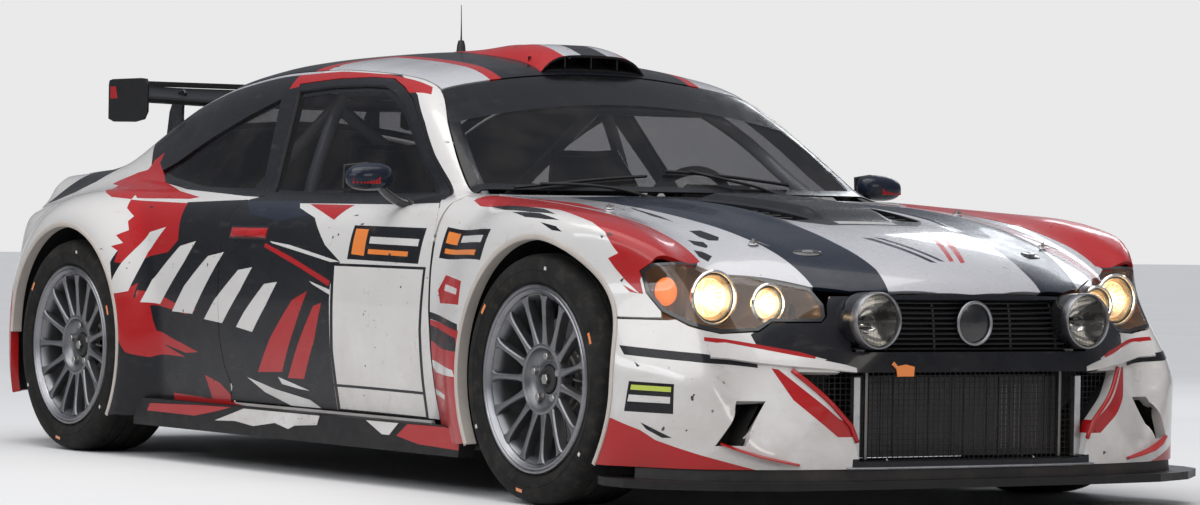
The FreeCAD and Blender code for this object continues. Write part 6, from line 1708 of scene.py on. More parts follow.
for s in (-1, 1):
    for x, y in ((1775, 499), (1250, 610)):
        z = hood_z(x, s * y)
        m.add(*disc_of(15, z - 1, z + 2.5, (x, s * y, 0), "z", 28, 1.0), ALU)
        m.add(*tube([(x, s * y, z - 4), (x, s * y, z + 17)], 4.4, 12), BOLT)
        m.add(*tube([(x - 14, s * y - 3, z + 8), (x + 16, s * y + 3, z + 9)], 1.7, 8), STEEL)
        m.add(*tube([(x + 16, s * y + 3, z + 9), (x + 30, s * y + 12, z + 3), (x + 38, s * y + 26, z - 2)], 1.1, 6), STEEL)
    z = hood_z(1862, s * 384)
    v, f = disc_of(1, -1, 3, (0, 0, 0), "z", 32, 0.5)
    n_ = gradient(on_hood_raw([(1862, s * 384)]))[0]
    rot_ = Vector(n_).to_track_quat("Z", "Y").to_matrix()
    v, f = revolve([(0.2, 3.5), (20, 3.2), (24, 1.0), (25, -2)], 40, "z", False)
    v = v * np.array([1.7, 0.9, 1])
    m.add(turned(v, rot_, (1862, s * 384, z)), f, GLOSSBLACK)
    v, f = revolve([(0.2, 7), (8, 6.5), (9, 3)], 24, "z", False)
    m.add(turned(v * np.array([1.9, 0.7, 1]), rot_, (1866, s * 384, z)), f, BOLT)
m.done("hood_pins", "hood", (), 34.0)

m = Mesh()


def scr(x, y, lift=0.0):
    p = on_top([(x, y)], 1450)
    return p[0] + gradient(p)[0] * lift


for y0, y1 in ((-180, -600), (330, -80)):
    root = np.array([858 - 0.0003 * y0 * y0, y0, float(ZC(858)) - 6])
    mid = scr(788, (y0 * 0.45 + y1 * 0.55), 13)
    tip = scr(752, (y0 * 0.2 + y1 * 0.8), 11)
    m.add(*disc_of(16, root[2] - 26, root[2] + 0, (root[0], root[1], 0), "z", 20, 3.0), TRIM)
    m.add(*tube(smooth_path([root + [0, 0, 0], (root + mid) / 2 + [-4, 0, 8], mid, tip], 6), 4.5, 8), TRIM)
    bl = on_top([(766 - 0.00012 * (y - y0) ** 2, y) for y in np.linspace(y0 - 0.05 * (y1 - y0), y1, 24)], 1450)
    bn = gradient(bl)
    m.add(*tube(bl + bn * 7.0, 4.5, 6), TRIM)
    m.add(*tube(bl + bn * 2.8, 1.8, 5), RUBBER)
m.done("wipers", "chassis", (), 40.0)

# ------------------------------------------------------------------ colour on the sills
m = Mesh()
for s in (-1, 1):
    y0, y1 = sorted((s * 914.3, s * 915.8))
    for poly, mat_ in (([(-870, 152), (-850, 176), (-520, 184), (-330, 186), (-420, 170), (-560, 150)], RED),
                       ([(-430, 142), (-250, 186), (205, 186), (190, 158), (60, 150), (20, 138), (-60, 152), (-190, 136), (-300, 146)], WHITE),
                       ([(700, 186), (640, 150), (760, 132), (975, 126), (978, 178), (900, 187)], RED),
                       ([(470, 186), (560, 150), (600, 150), (650, 186)], WHITE)):
        v, f = slab(poly, y0, y1, "xz", 0.4)
        m.add(v, f, mat_, False)
m.done("sill_colour", "chassis", (), 0)

# ------------------------------------------------------------------ mirrors
def narrow(q):
    # the pod is drawn 180 mm wide and shown 152 mm wide
    q = np.array(q, float)
    q[:, 1] = np.sign(q[:, 1]) * (842.0 + (np.abs(q[:, 1]) - 843.0) * 152.0 / 180.0)
    return q


for s, nm in ((-1, "right"), (1, "left")):
    m = Mesh()
    nu, nv = 28, 40
    v = []
    for i in range(nu + 1):
        u = -1 + 2 * i / nu
        # along y; section in x-z
        for j in range(nv):
            a = 2 * math.pi * j / nv
            c, sn = math.cos(a), math.sin(a)
            k = (1 - abs(u) ** 2.6) ** (1 / 2.6)
            rx = 46 * k * (1.0 if c > 0 else 0.62)
            rz = 42 * k * (0.94 + 0.06 * u)
            px = math.copysign(abs(c) ** 0.85, c) * rx
            pz = math.copysign(abs(sn) ** 0.82, sn) * rz
            v.append((462 + px + 6 * (1 - u) * 0.5, -(933 - u * 90), 884 + pz + 3 * u))
    f = [(i * nv + j, i * nv + (j + 1) % nv, (i + 1) * nv + (j + 1) % nv, (i + 1) * nv + j) for i in range(nu) for j in range(nv)]
    v = narrow(v)
    # pod in black with a painted blue sheen
    m.add(v if s < 0 else flipy(v), f, BLACK_BLUE_SHEEN)
    # glass set in the rear face, ribbed marker in the front face, stalk
    gv, gf = slab([(-1006, 854), (-862, 850), (-858, 912), (-920, 920), (-1004, 912)], 428, 432, "yz", 2.0)
    gv = narrow(gv)
    m.add(gv if s < 0 else flipy(gv), gf, CHROME, False)
    rv, rf = slab([(-1014, 848), (-854, 843), (-850, 917), (-920, 926), (-1010, 918)], 431, 440, "yz", 3.0)
    rv = narrow(rv)
    m.add(rv if s < 0 else flipy(rv), rf, TRIM, False)
    for k in range(9):
        yy = -1008 + k * 11.0
        x = 462 + 46 * (1 - min(1.0, abs((-yy - 933) / 90.0)) ** 2.6) ** (1 / 2.6)
        bv, bf = block(x - 9, x + 2.4, yy - 4.2, yy + 4.2, 864, 886, 1.0)
        bv = narrow(bv)
        m.add(bv if s < 0 else flipy(bv), bf, RED, False)
    st = smooth_path([(470, -880, 858), (474, -858, 836), (480, -826, 816), (486, -792, 806)], 6)
    sv, sf = tube(st, np.linspace(11, 15, len(st)), 14)
    sv = (sv - st.mean(0)) * np.array([1.5, 1, 1]) + st.mean(0)
    m.add(sv if s < 0 else flipy(sv), sf, GLOSSBLACK)
    bv, bf = disc_of(26, 0, 8, (0, 0, 0), "y", 28, 3.0)
    bv = bv * np.array([1.3, 1, 0.8]) + np.array([486, -806, 806])
    m.add(bv if s < 0 else flipy(bv), bf, TRIM)
    m.done(nm + "_mirror_pod", nm + "_door", [nm + "_mirror"], 34.0)

# ------------------------------------------------------------------ rear wing
m = Mesh()


def aerofoil(c, t, camber, x0, z0, tilt, n=14):
    """closed section, leading edge forward, inverted camber"""
    up_, lo_ = [], []
    for i in range(n + 1):
        u = 0.5 - 0.5 * math.cos(math.pi * i / n)
        th = 5 * t * (0.2969 * math.sqrt(u) - 0.126 * u - 0.3516 * u * u + 0.2843 * u ** 3 - 0.1036 * u ** 4)
        cb = -camber * 4 * u * (1 - u)
        up_.append((u, cb + th))
        lo_.append((u, cb - th))
    pts = up_ + lo_[::-1][1:-1]
    out_ = []
    for u, w_ in pts:
        x, z = -u * c, w_ * c
        out_.append((x0 + x * math.cos(tilt) - z * math.sin(tilt) * 0, z0 + z + (-x) * math.sin(tilt)))
    return out_


def span_wing(sec, y0, y1, n, mat_):
    k = len(sec(0))
    v = []
    for y in np.linspace(y0, y1, n):
        for x, z in sec(abs(y)):
            v.append((x, y, z))
    f = [(i * k + j, i * k + (j + 1) % k, (i + 1) * k + (j + 1) % k, (i + 1) * k + j) for i in range(n - 1) for j in range(k)]
    f += [tuple(range(k)), tuple(reversed([(n - 1) * k + j for j in range(k)]))]
    m.add(np.array(v), f, mat_)


span_wing(lambda y: aerofoil(232, 0.13, 0.06, -1563, 1146 - 6 * (1 - float(sstep(300, 560, y))), math.radians(13)), -566, 566, 33, WINGBLACK)
m.add(*block(-1801, -1792, -560, 560, 1194, 1212, 1.2), GLOSSBLACK, False)
for s in (-1, 1):
    ep = [(-1828, 1082), (-1790, 1072), (-1640, 1070), (-1574, 1078), (-1552, 1102), (-1550, 1196), (-1562, 1212), (-1600, 1215), (-1800, 1215), (-1824, 1211), (-1828, 1196)]
    y0, y1 = sorted((s * 566.5, s * 575.5))
    m.add(*slab(ep, y0, y1, "xz", 2.0), WINGBLACK, False)
    y0, y1 = sorted((s * 575.4, s * 576.4))
    m.add(*slab([(-1812, 1150), (-1760, 1150), (-1775, 1190), (-1812, 1190)], y0, y1, "xz", 0.2), RED, False)
    # swan-neck strut
    sp = [(-1640, 940), (-1648, 1020), (-1662, 1090), (-1660, 1140), (-1640, 1172), (-1655, 1184), (-1690, 1176), (-1720, 1160), (-1752, 1110), (-1772, 1020), (-1788, 930), (-1760, 918), (-1700, 925)]
    y0, y1 = s * 380 - 5, s * 380 + 5
    m.add(*slab(sp, y0, y1, "xz", 2.0), GLOSSBLACK, False)
    for x, z in ((-1690, 1150), (-1720, 1140)):
        v, f = disc_of(7, -8, 8, (x, s * 380, z), "y", 6, 1.2)
        m.add(v, f, BOLT, False)
# lip along the rear edge of the lid
rows = []
lip_y = np.linspace(-530, 530, 45)
lip_z = on_top([(float(TA(abs(y))) + 88.0 + o, y) for y in lip_y for o in (6, 80, 165)], 1100)[:, 2].reshape(45, 3)
for r_, y in enumerate(lip_y):
    xr = float(TA(abs(y))) + 88.0
    hh = 6 + 42 * (1 - (abs(y) / 560.0) ** 2.6)
    z0, z1, z2 = [float(q) for q in lip_z[r_]]
    rows.append([(xr + 165, y, z2 - 1.0), (xr + 130, y, z2 + 1.5), (xr + 80, y, z1 + hh * 0.24), (xr + 40, y, z0 + hh * 0.55), (xr + 6, y, z0 + hh * 0.94), (xr - 2, y, z0 + hh), (xr - 6, y, z0 + hh - 4), (xr + 1, y, z0 + hh * 0.55), (xr + 10, y, z0 - 1)])
m.add([q for r in rows for q in r], [(i * 9 + j, i * 9 + (j + 1) % 9, (i + 1) * 9 + (j + 1) % 9, (i + 1) * 9 + j) for i in range(44) for j in range(9)] + [tuple(range(9)), tuple(reversed([44 * 9 + j for j in range(9)]))], WINGBLACK)
m.done("rear_wing_carbon", "trunk_lid", ["rear_wing"], 34.0)

# ------------------------------------------------------------------ roof scoop
m = Mesh()
rows = []
sc_k = np.linspace(0, 1, 22)
sc_z = on_top([(mix(238.0, -330.0, k), (-1 + 2 * j / 24.0) * mix(188.0, 150.0, k)) for k in sc_k for j in range(25)], 1450)[:, 2].reshape(22, 25)
for r_, k in enumerate(sc_k):
    x = mix(238.0, -330.0, k)
    h = 46 * (1 - float(sstep(0.25, 1.0, k))) * 1.0 + 3
    wd = mix(188.0, 150.0, k)
    row = []
    for j in range(25):
        a = -1 + 2 * j / 24.0
        y = a * wd
        zz_ = float(sc_z[r_, j])
        hh = h * (1 - abs(a) ** 5) + 0.5
        row.append((x + (6 * (1 - a * a) if k == 0 else 0), y, min(zz_ + hh, 1303.5)))
    rows.append(row)
v = [p for r in rows for p in r]
grid = np.array(v).reshape(22, 25, 3)
# the pale strips are the darkened white, painted shade
for j0, j1, mat_ in ((0, 5, RED), (5, 9, WHITE_SHADE_AND_HIGHLIGHT), (9, 15, BLACK), (15, 19, WHITE_SHADE_AND_HIGHLIGHT), (19, 24, RED)):
    sub = grid[:, j0:j1 + 1]
    c_ = j1 - j0 + 1
    m.add(sub.reshape(-1, 3), [(i * c_ + j, i * c_ + j + 1, (i + 1) * c_ + j + 1, (i + 1) * c_ + j) for i in range(21) for j in range(c_ - 1)], mat_)
r0 = np.array(rows[0])
r1 = r0.copy()
r1[:, 2] -= 7
r1 -= np.array([2, 0, 0])
m.add(np.concatenate([r0, r1]), [(j, j + 1, 25 + j + 1, 25 + j) for j in range(24)], BLACK)
r2 = r1 - np.array([70, 0, 0])
m.add(np.concatenate([r1, r2]), [(j, j + 1, 25 + j + 1, 25 + j) for j in range(24)], TRIM)
fl_ = on_top([(x, y) for x in (236, 168) for y in np.linspace(-180, 180, 13)], 1450) + np.array([0, 0, 1.5])
m.add(fl_, [(j, j + 1, 13 + j + 1, 13 + j) for j in range(12)], TRIM)
for y in (-95, 0, 95):
    z = float(on_top([(215, y)], 1450)[0, 2])
    m.add(*block(150, 228, y - 2, y + 2, z, z + 40, 1.0), GLOSSBLACK, False)
bk = np.array([(150, y, z) for z in (1205, 1262) for y in np.linspace(-178, 178, 7)])
m.add(bk, [(j, j + 1, 7 + j + 1, 7 + j) for j in range(6)], RUBBER)
m.done("roof_scoop_shell", "chassis", ["roof_scoop"], 40.0)
m = Mesh()
z = float(on_top([(-520, 0)], 1450)[0, 2])
m.add(*revolve([(0.2, z + 46), (9, z + 44), (13, z + 30), (15, z + 10), (17, z + 2), (22, z - 1)], 28, "z", False), TRIM)
m.v[-1] = m.v[-1] + np.array([-520, 0, 0])
m.add(*tube([(-520, 0, z + 40), (-520, 0, z + 60), (-521, 0, z + 110), (-523, 0, 1446)], [3.4, 2.4, 1.5, 1.1], 10), TRIM)
m.done("antenna_whip", "chassis", ["antenna"], 40.0)


# ------------------------------------------------------------------ seats
SEAT_LINE = [(196, 318), (176, 334), (120, 318), (60, 300), (-40, 280), (-120, 272), (-190, 282), (-236, 316), (-268, 380), (-292, 440), (-320, 540), (-342, 630), (-360, 730), (-372, 820), (-384, 900), (-391, 955), (-396, 985)]


def seat_form(cy):
    line = smooth_path([(x, 0, z) for x, z in SEAT_LINE], 4)[:, [0, 2]]
    d = np.gradient(line, axis=0)
    d /= np.linalg.norm(d, axis=1)[:, None]
    nrm = np.stack([-d[:, 1], d[:, 0]], -1) * -1
    s = np.concatenate([[0], np.cumsum(np.linalg.norm(np.diff(line, axis=0), axis=1))])
    s /= s[-1]
    half = np.interp(s, [0, 0.08, 0.28, 0.38, 0.52, 0.66, 0.76, 0.84, 0.92, 1.0], [186, 196, 204, 200, 196, 218, 222, 176, 152, 120])
    wing = np.interp(s, [0, 0.05, 0.25, 0.36, 0.46, 0.62, 0.72, 0.80, 0.90, 1.0], [34, 62, 96, 104, 82, 98, 92, 50, 86, 40])
    return line, nrm, s, half, wing


def seat_point(k, u, lift, cy, data, grow_=0.0):
    line, nrm, s, half, wing = data
    a = abs(u)
    y = math.copysign((half[k] + grow_) * (a if a < 0.8 else 0.8 + 0.2 * math.sin((a - 0.8) / 0.2 * math.pi / 2)), u)
    r = wing[k] * max(0.0, (a - 0.42) / 0.58) ** 2.2
    return (line[k, 0] + nrm[k, 0] * (r + lift), cy + y, line[k, 1] + nrm[k, 1] * (r + lift))


def seat(cy, nm, repl):
    data = seat_form(cy)
    n = len(data[0])
    us = np.linspace(-1, 1, 41)
    m = Mesh()
    v = [seat_point(k, u, 0.0, cy, data) for k in range(n) for u in us] + [seat_point(k, u, -9.0, cy, data, 4.0) for k in range(n) for u in us]
    q = len(us)
    f = [(i * q + j, i * q + j + 1, (i + 1) * q + j + 1, (i + 1) * q + j) for i in range(n - 1) for j in range(q - 1)]
    o = n * q
    f += [(o + a, o + b, o + c, o + d_) for a, b, c, d_ in f]
    ring = [j for j in range(q)] + [i * q + q - 1 for i in range(1, n)] + [(n - 1) * q + j for j in range(q - 2, -1, -1)] + [i * q for i in range(n - 2, 0, -1)]
    f += [(a, b, o + b, o + a) for a, b in zip(ring, ring[1:] + ring[:1])]
    m.add(v, f, CARBONM)
    # rolled edge of the shell
    edge = np.array([v[a] for a in ring])
    m.add(*tube(edge, 6.5, 8, True), GLOSSBLACK)
    m.done(nm + "_seat_shell", "chassis", repl, 40.0)
    # pads: base, back and head, each a puffed form with channels, and plain side wings on the base and back

    def pad(tag, k0, k1, u0, u1, thick, m_, channels=0, across=False):
        nk, nu_ = 34, 30
        ks = np.linspace(k0 * (n - 1), k1 * (n - 1), nk)
        rows_t, rows_b = [], []
        for a, kf in enumerate(ks):
            k = int(min(n - 2, math.floor(kf)))
            w_ = kf - k
            e1 = max(0.0, math.sin(math.pi * a / (nk - 1))) ** 0.32
            for b, u in enumerate(np.linspace(u0, u1, nu_)):
                e2 = max(0.0, math.sin(math.pi * b / (nu_ - 1))) ** 0.32
                puff = e1 * e2
                if channels:
                    t_ = (a / (nk - 1.0)) if across else (b / (nu_ - 1.0))
                    puff *= 1 - 0.30 * (0.5 + 0.5 * math.cos(2 * math.pi * channels * t_)) ** 6
                p0_, p1_ = np.array(seat_point(k, u, 3.0 + thick * puff, cy, data)), np.array(seat_point(k + 1, u, 3.0 + thick * puff, cy, data))
                rows_t.append(p0_ * (1 - w_) + p1_ * w_)
                p0_, p1_ = np.array(seat_point(k, u, 1.0, cy, data)), np.array(seat_point(k + 1, u, 1.0, cy, data))
                rows_b.append(p0_ * (1 - w_) + p1_ * w_)
        vv = np.array(rows_t + rows_b)
        ff = [(i * nu_ + j, i * nu_ + j + 1, (i + 1) * nu_ + j + 1, (i + 1) * nu_ + j) for i in range(nk - 1) for j in range(nu_ - 1)]
        oo = nk * nu_
        ff += [(oo + c[3], oo + c[2], oo + c[1], oo + c[0]) for c in ff]
        rg_ = [j for j in range(nu_)] + [i * nu_ + nu_ - 1 for i in range(1, nk)] + [(nk - 1) * nu_ + j for j in range(nu_ - 2, -1, -1)] + [i * nu_ for i in range(nk - 2, 0, -1)]
        ff += [(a, b, oo + b, oo + a) for a, b in zip(rg_, rg_[1:] + rg_[:1])]
        pm = Mesh()
        pm.add(vv, ff, m_)
        ob = pm.done(nm + "_seat_" + tag, "chassis", (), 60.0)

    pad("base_pad", 0.045, 0.34, -0.58, 0.58, 30, SEATCLOTH, 4, True)
    pad("base_wing_r", 0.06, 0.36, -0.97, -0.62, 17, SEATRED)
    pad("base_wing_l", 0.06, 0.36, 0.62, 0.97, 17, SEATRED)
    pad("back_pad", 0.40, 0.70, -0.56, 0.56, 30, SEATCLOTH, 5, True)
    pad("back_wing_r", 0.41, 0.735, -0.97, -0.60, 17, SEATRED)
    pad("back_wing_l", 0.41, 0.735, 0.60, 0.97, 17, SEATRED)
    pad("head_pad", 0.82, 0.975, -0.62, 0.62, 24, SEATCLOTH, 2, True)
    # harness: two shoulder straps, lap straps, crotch strap, buckle
    hm = Mesh()

    def strap(pts, width, axis_):
        p = smooth_path(pts, 6)
        t_ = np.gradient(p, axis=0)
        t_ /= np.maximum(np.linalg.norm(t_, axis=1), 1e-9)[:, None]
        wv_ = np.tile(np.asarray(axis_, float), (len(p), 1))
        wv_ -= t_ * (wv_ * t_).sum(1)[:, None]
        wv_ /= np.maximum(np.linalg.norm(wv_, axis=1), 1e-9)[:, None]
        nn = np.cross(t_, wv_)
        v_ = []
        for a_, b_, c_ in zip(p, wv_, nn):
            for sx, sn in ((-1, -1.2), (1, -1.2), (1, 1.2), (-1, 1.2)):
                v_.append(a_ + b_ * sx * width / 2 + c_ * sn)
        f_ = [(i * 4 + j, i * 4 + (j + 1) % 4, (i + 1) * 4 + (j + 1) % 4, (i + 1) * 4 + j) for i in range(len(p) - 1) for j in range(4)]
        f_ += [(0, 1, 2, 3), tuple((len(p) - 1) * 4 + j for j in (3, 2, 1, 0))]
        hm.add(v_, f_, WEBBING)

    def on_seat(sf, u, lift):
        kf = sf * (n - 1)
        k = int(min(n - 2, math.floor(kf)))
        w_ = kf - k
        return np.array(seat_point(k, u, lift, cy, data)) * (1 - w_) + np.array(seat_point(k + 1, u, lift, cy, data)) * w_

    for s_ in (-1, 1):
        strap([on_seat(0.36, s_ * 0.10, 42), on_seat(0.44, s_ * 0.20, 46), on_seat(0.56, s_ * 0.30, 44), on_seat(0.68, s_ * 0.36, 43), on_seat(0.735, s_ * 0.36, 33), on_seat(0.775, s_ * 0.34, 14), (-400, cy + s_ * 70, 846)], 72, (0, 1, 0))
        strap([on_seat(0.335, s_ * 0.14, 44), on_seat(0.345, s_ * 0.52, 46), on_seat(0.36, s_ * 0.80, 34), on_seat(0.37, s_ * 0.93, 20)], 50, (0.7, 0, 0.7))
    strap([on_seat(0.325, 0, 45), on_seat(0.25, 0, 40), on_seat(0.20, 0, 36)], 44, (0, 1, 0))
    bk_ = on_seat(0.345, 0, 52)
    bv_, bf_ = revolve([(0.2, 9), (26, 9), (31, 5), (32, -6), (0.2, -6)], 36, "z", False)
    hm.add(turned(bv_, Matrix.Rotation(math.radians(38), 3, "Y"), bk_), bf_, ALU)
    for s_ in (-1, 1):
        for sf in (0.50, 0.60):
            c_ = on_seat(sf, s_ * (0.25 if sf < 0.55 else 0.32), 48)
            bv_, bf_ = block(-9, 9, -40, 40, -3, 3, 1.5)
            hm.add(turned(bv_, Matrix.Rotation(math.radians(72), 3, "Y"), c_), bf_, BOLT, False)
    hm.done(nm + "_harness", "chassis", (), 40.0)
    # side mounts
    sm_ = Mesh()
    for s_ in (-1, 1):
        sm_.add(*slab([(-200, 150), (-200, 176), (-160, 260), (-60, 268), (80, 262), (110, 176), (110, 150)], cy + s_ * 214 - 2.5, cy + s_ * 214 + 2.5, "xz", 1.0), STEEL, False)
        for x, z in ((-140, 238), (70, 238)):
            v_, f_ = disc_of(9, -6, 6, (x, cy + s_ * 214, z), "y", 6, 1.5)
            sm_.add(v_, f_, BOLT, False)
    sm_.done(nm + "_seat_mounts", "chassis", (), 0)


seat(370.0, "left", ["seats"])
seat(-370.0, "right", [])

# ------------------------------------------------------------------ steering wheel
m = Mesh()
TILT = math.radians(22)
ax = np.array([-math.cos(TILT), 0, math.sin(TILT)])
e1 = np.array([0, 1.0, 0])
e2 = np.cross(ax, e1)
hub = np.array([205.0, 370.0, 775.0])


def wheel_pt(u, v_, w_):
    return hub + e1 * u + e2 * v_ + ax * w_


pts = []
for a in np.linspace(0, 2 * math.pi, 72, endpoint=False):
    r = 165 - 20 * max(0.0, -math.sin(a)) ** 6
    pts.append(wheel_pt(r * math.cos(a), r * math.sin(a) if e2[2] > 0 else -r * math.sin(a), 0))
m.add(*tube(pts, 14.5, 14, True), SUEDE)
for a in (math.radians(4), math.radians(176), math.radians(270)):
    d_ = np.array([math.cos(a), math.sin(a) if e2[2] > 0 else -math.sin(a)])
    pr = np.array([-d_[1], d_[0]])
    poly = []
    for r, hw in ((34, 26), (80, 15), (120, 14), (150, 24)):
        poly.append((r, hw))
    poly = poly + [(r, -hw) for r, hw in reversed(poly)]
    vv = []
    for w_ in (-2.5, 2.5):
        for r, t_ in poly:
            q = d_ * r + pr * t_
            vv.append(wheel_pt(q[0], q[1], -10 + w_ + 8 * (r / 150.0)))
    k = len(poly)
    m.add(vv, [tuple(range(k)), tuple(reversed(range(k, 2 * k)))] + [(i, (i + 1) % k, k + (i + 1) % k, k + i) for i in range(k)], ALU, False)
rot_w = Matrix((tuple(e1), tuple(e2), tuple(ax))).transposed()
bv_, bf_ = revolve([(0.2, 16), (28, 15), (36, 10), (38, -16), (0.2, -18)], 40, "z", False)
m.add(turned(bv_, rot_w, hub), bf_, TRIM)
bv_, bf_ = revolve([(0.2, 19), (14, 18.5), (16, 15)], 28, "z", False)
m.add(turned(bv_, rot_w, hub), bf_, ORANGE)
for k in range(6):
    a = 2 * math.pi * k / 6
    bv_, bf_ = disc_of(4, 12, 18, (27 * math.cos(a), 27 * math.sin(a), 0), "z", 6, 0.8)
    m.add(turned(bv_, rot_w, hub), bf_, BOLT, False)
for k, (u, v_, c_) in enumerate(((-58, 14, RED), (58, 14, YELLOW), (-62, -16, WHITE), (62, -16, ORANGE))):
    bv_, bf_ = disc_of(8, -2, 6, (u, v_, 0), "z", 20, 1.2)
    m.add(turned(bv_, rot_w, hub), bf_, c_)
m.add(*tube([hub - ax * 16, hub - ax * 60], 20, 20), TRIM)
m.done("steering_wheel_suede", "steering_wheel", ["steering_wheel"], 40.0)

# ------------------------------------------------------------------ roll cage
m = Mesh()
for s in (-1, 1):
    loop = smooth_path([(-430, s * 620, 150), (-430, s * 620, 430), (-430, s * 620, 690), (-430, s * 590, 860), (-430, s * 520, 1060), (-430, s * 470, 1150)], 8)
    m.add(*tube(loop, 20, 16), CAGE)
    pillar = smooth_path([(-430, s * 470, 1152), (-300, s * 480, 1158), (0, s * 476, 1144), (150, s * 474, 1110), (300, s * 520, 1026), (460, s * 568, 910), (600, s * 606, 818), (612, s * 610, 770), (610, s * 610, 500), (610, s * 610, 150)], 8)
    m.add(*tube(pillar, 20, 16), CAGE)
    m.add(*tube([(-430, s * 602, 300), (90, s * 606, 380), (610, s * 610, 560)], 18, 14), CAGE)
    m.add(*tube([(-430, s * 604, 560), (90, s * 606, 430), (610, s * 610, 300)], 18, 14), CAGE)
    m.add(*tube([(-436, s * 474, 1138), (-900, s * 476, 880), (-1376, s * 475, 606)], 20, 16), CAGE)
    for x, z in ((-430, 152), (610, 152)):
        y = 620 if x < 0 else 610
        m.add(*block(x - 45, x + 45, s * y - 34, s * y + 20 if s < 0 else s * y + 20, 143, 149, 2.0), STEEL, False)
m.add(*tube([(-430, -472, 1152), (-430, 472, 1152)], 20, 16), CAGE)
m.add(*tube([(150, -474, 1112), (150, 474, 1112)], 20, 16), CAGE)
m.add(*tube([(-436, -590, 830), (-436, 590, 830)], 20, 16), CAGE)
m.add(*tube([(-430, 600, 330), (-430, 0, 760), (-430, -490, 1100)], 20, 16), CAGE)
m.done("roll_cage_tubes", "chassis", ["roll_cage"], 50.0)

# ------------------------------------------------------------------ dash details, lever, door cards
m = Mesh()
m.add(*block(356, 372, 250, 490, 800, 862, 6.0), SCREENM, False)
m.add(*slab([(240, 798), (500, 798), (500, 868), (480, 884), (260, 884), (240, 868)], 366, 392, "yz", 5.0), TRIM, False)
for k in range(7):
    v_, f_ = disc_of(4.5, -3, 3, (353, 270 + k * 32, 872), "x", 16, 1.0)
    m.add(v_, f_, (AMBERGLOW if k > 4 else STEEL))
m.add(*slab([(-120, 600), (120, 600), (120, 790), (100, 806), (-100, 806), (-120, 790)], 372, 384, "yz", 4.0), CARBONM, False)
for r_ in range(4):
    for c_ in range(5):
        v_, f_ = disc_of(7, -8, 4, (368, -84 + c_ * 42, 640 + r_ * 40), "x", 16, 1.2)
        m.add(v_, f_, (TRIM, BOLT, RED)[(r_ * 5 + c_) % 3])
for y in (-560, -300, 560):
    v_, f_ = revolve([(28, 0), (34, 0), (36, -5), (34, -9), (0.2, -9)], 32, "x", False)
    m.add(-v_ * np.array([1, 1, 1]) + np.array([360, y, 810]), f_, GLOSSBLACK)
m.done("dash_controls", "chassis", (), 40.0)
m = Mesh()
m.add(*tube(smooth_path([(180, 20, 150), (176, 24, 300), (168, 40, 470), (150, 52, 560)], 5), 9, 12), ALU)
v_, f_ = revolve([(0.2, 22), (14, 19), (20, 8), (20, -6), (13, -18), (9, -22)], 28, "z", False)
m.add(v_ + np.array([148, 53, 580]), f_, BLACK)
m.add(*tube(smooth_path([(40, -30, 150), (30, -28, 320), (10, -24, 520)], 5), 8, 12), STEEL)
m.add(*tube([(12, -24, 500), (4, -22, 610)], 13, 14), SUEDE)
m.add(*slab([(60, -50), (250, -50), (250, 70), (60, 70)], 150, 172, "xy", 5.0), CARBONM, False)
m.done("levers", "chassis", (), 40.0)

# ------------------------------------------------------------------ door furniture
for s, nm in ((-1, "right"), (1, "left")):
    m = Mesh()
    # pull handle: recessed cup with a flap
    v = []
    hx = ((-440, 2), (-425, 9), (-380, 13), (-330, 14), (-280, 13), (-240, 9), (-222, 2))
    hp = on_side([(x0, z0) for x0, lift in hx for z0 in (700, 706, 722, 730)])
    for i_, (x0, lift) in enumerate(hx):
        for j_, z0 in enumerate((700, 706, 722, 730)):
            p = hp[i_ * 4 + j_]
            k_ = 1.0 if 704 < z0 < 728 else 0.25
            v.append((p[0], p[1] - lift * k_, p[2]))
    f = [(i * 4 + j, i * 4 + j + 1, (i + 1) * 4 + j + 1, (i + 1) * 4 + j) for i in range(6) for j in range(3)]
    v = np.array(v)
    back_ = v + np.array([0, 8.0, 0])
    n_ = len(v)
    f2 = list(f) + [tuple(n_ + i for i in reversed(c)) for c in f]
    rg_ = [0, 1, 2, 3, 7, 11, 15, 19, 23, 27, 26, 25, 24, 20, 16, 12, 8, 4]
    f2 += [(p_, q_, n_ + q_, n_ + p_) for p_, q_ in zip(rg_, rg_[1:] + rg_[:1])]
    vv = np.concatenate([v, back_])
    m.add(vv if s < 0 else flipy(vv), f2, RED)
    cup = on_side([(x, z) for x in np.linspace(-446, -214, 9) for z in (694, 736)])
    cup[:, 1] -= 0.8
    fc = [(i * 2, i * 2 + 1, i * 2 + 3, i * 2 + 2) for i in range(8)]
    m.add(cup if s < 0 else flipy(cup), fc, GLOSSBLACK)
    m.done(nm + "_door_handle", nm + "_door", (), 40.0)
    # inner card, pad and strap
    m = Mesh()
    card = [(-370, 260), (-405, 420), (-410, 640), (-400, 745), (-120, 750), (420, 752), (640, 745), (672, 600), (676, 440), (700, 300), (690, 262)]
    inn = s * 786.0
    y0, y1 = sorted((inn, inn + s * 8.0))
    m.add(*slab(card, y0, y1, "xz", 3.0), CARBONM, False)
    y0, y1 = sorted((inn - s * 16.0, inn))
    m.add(*slab([(-260, 600), (260, 600), (300, 560), (260, 540), (-240, 540), (-280, 560)], y0, y1, "xz", 6.0), FOAM, False)
    m.add(*tube(smooth_path([(-120, inn - s * 2, 690), (-60, inn - s * 20, 684), (60, inn - s * 20, 684), (120, inn - s * 2, 690)], 6), 7, 10), WEBBING)
    m.done(nm + "_door_card", nm + "_door", (), 0)


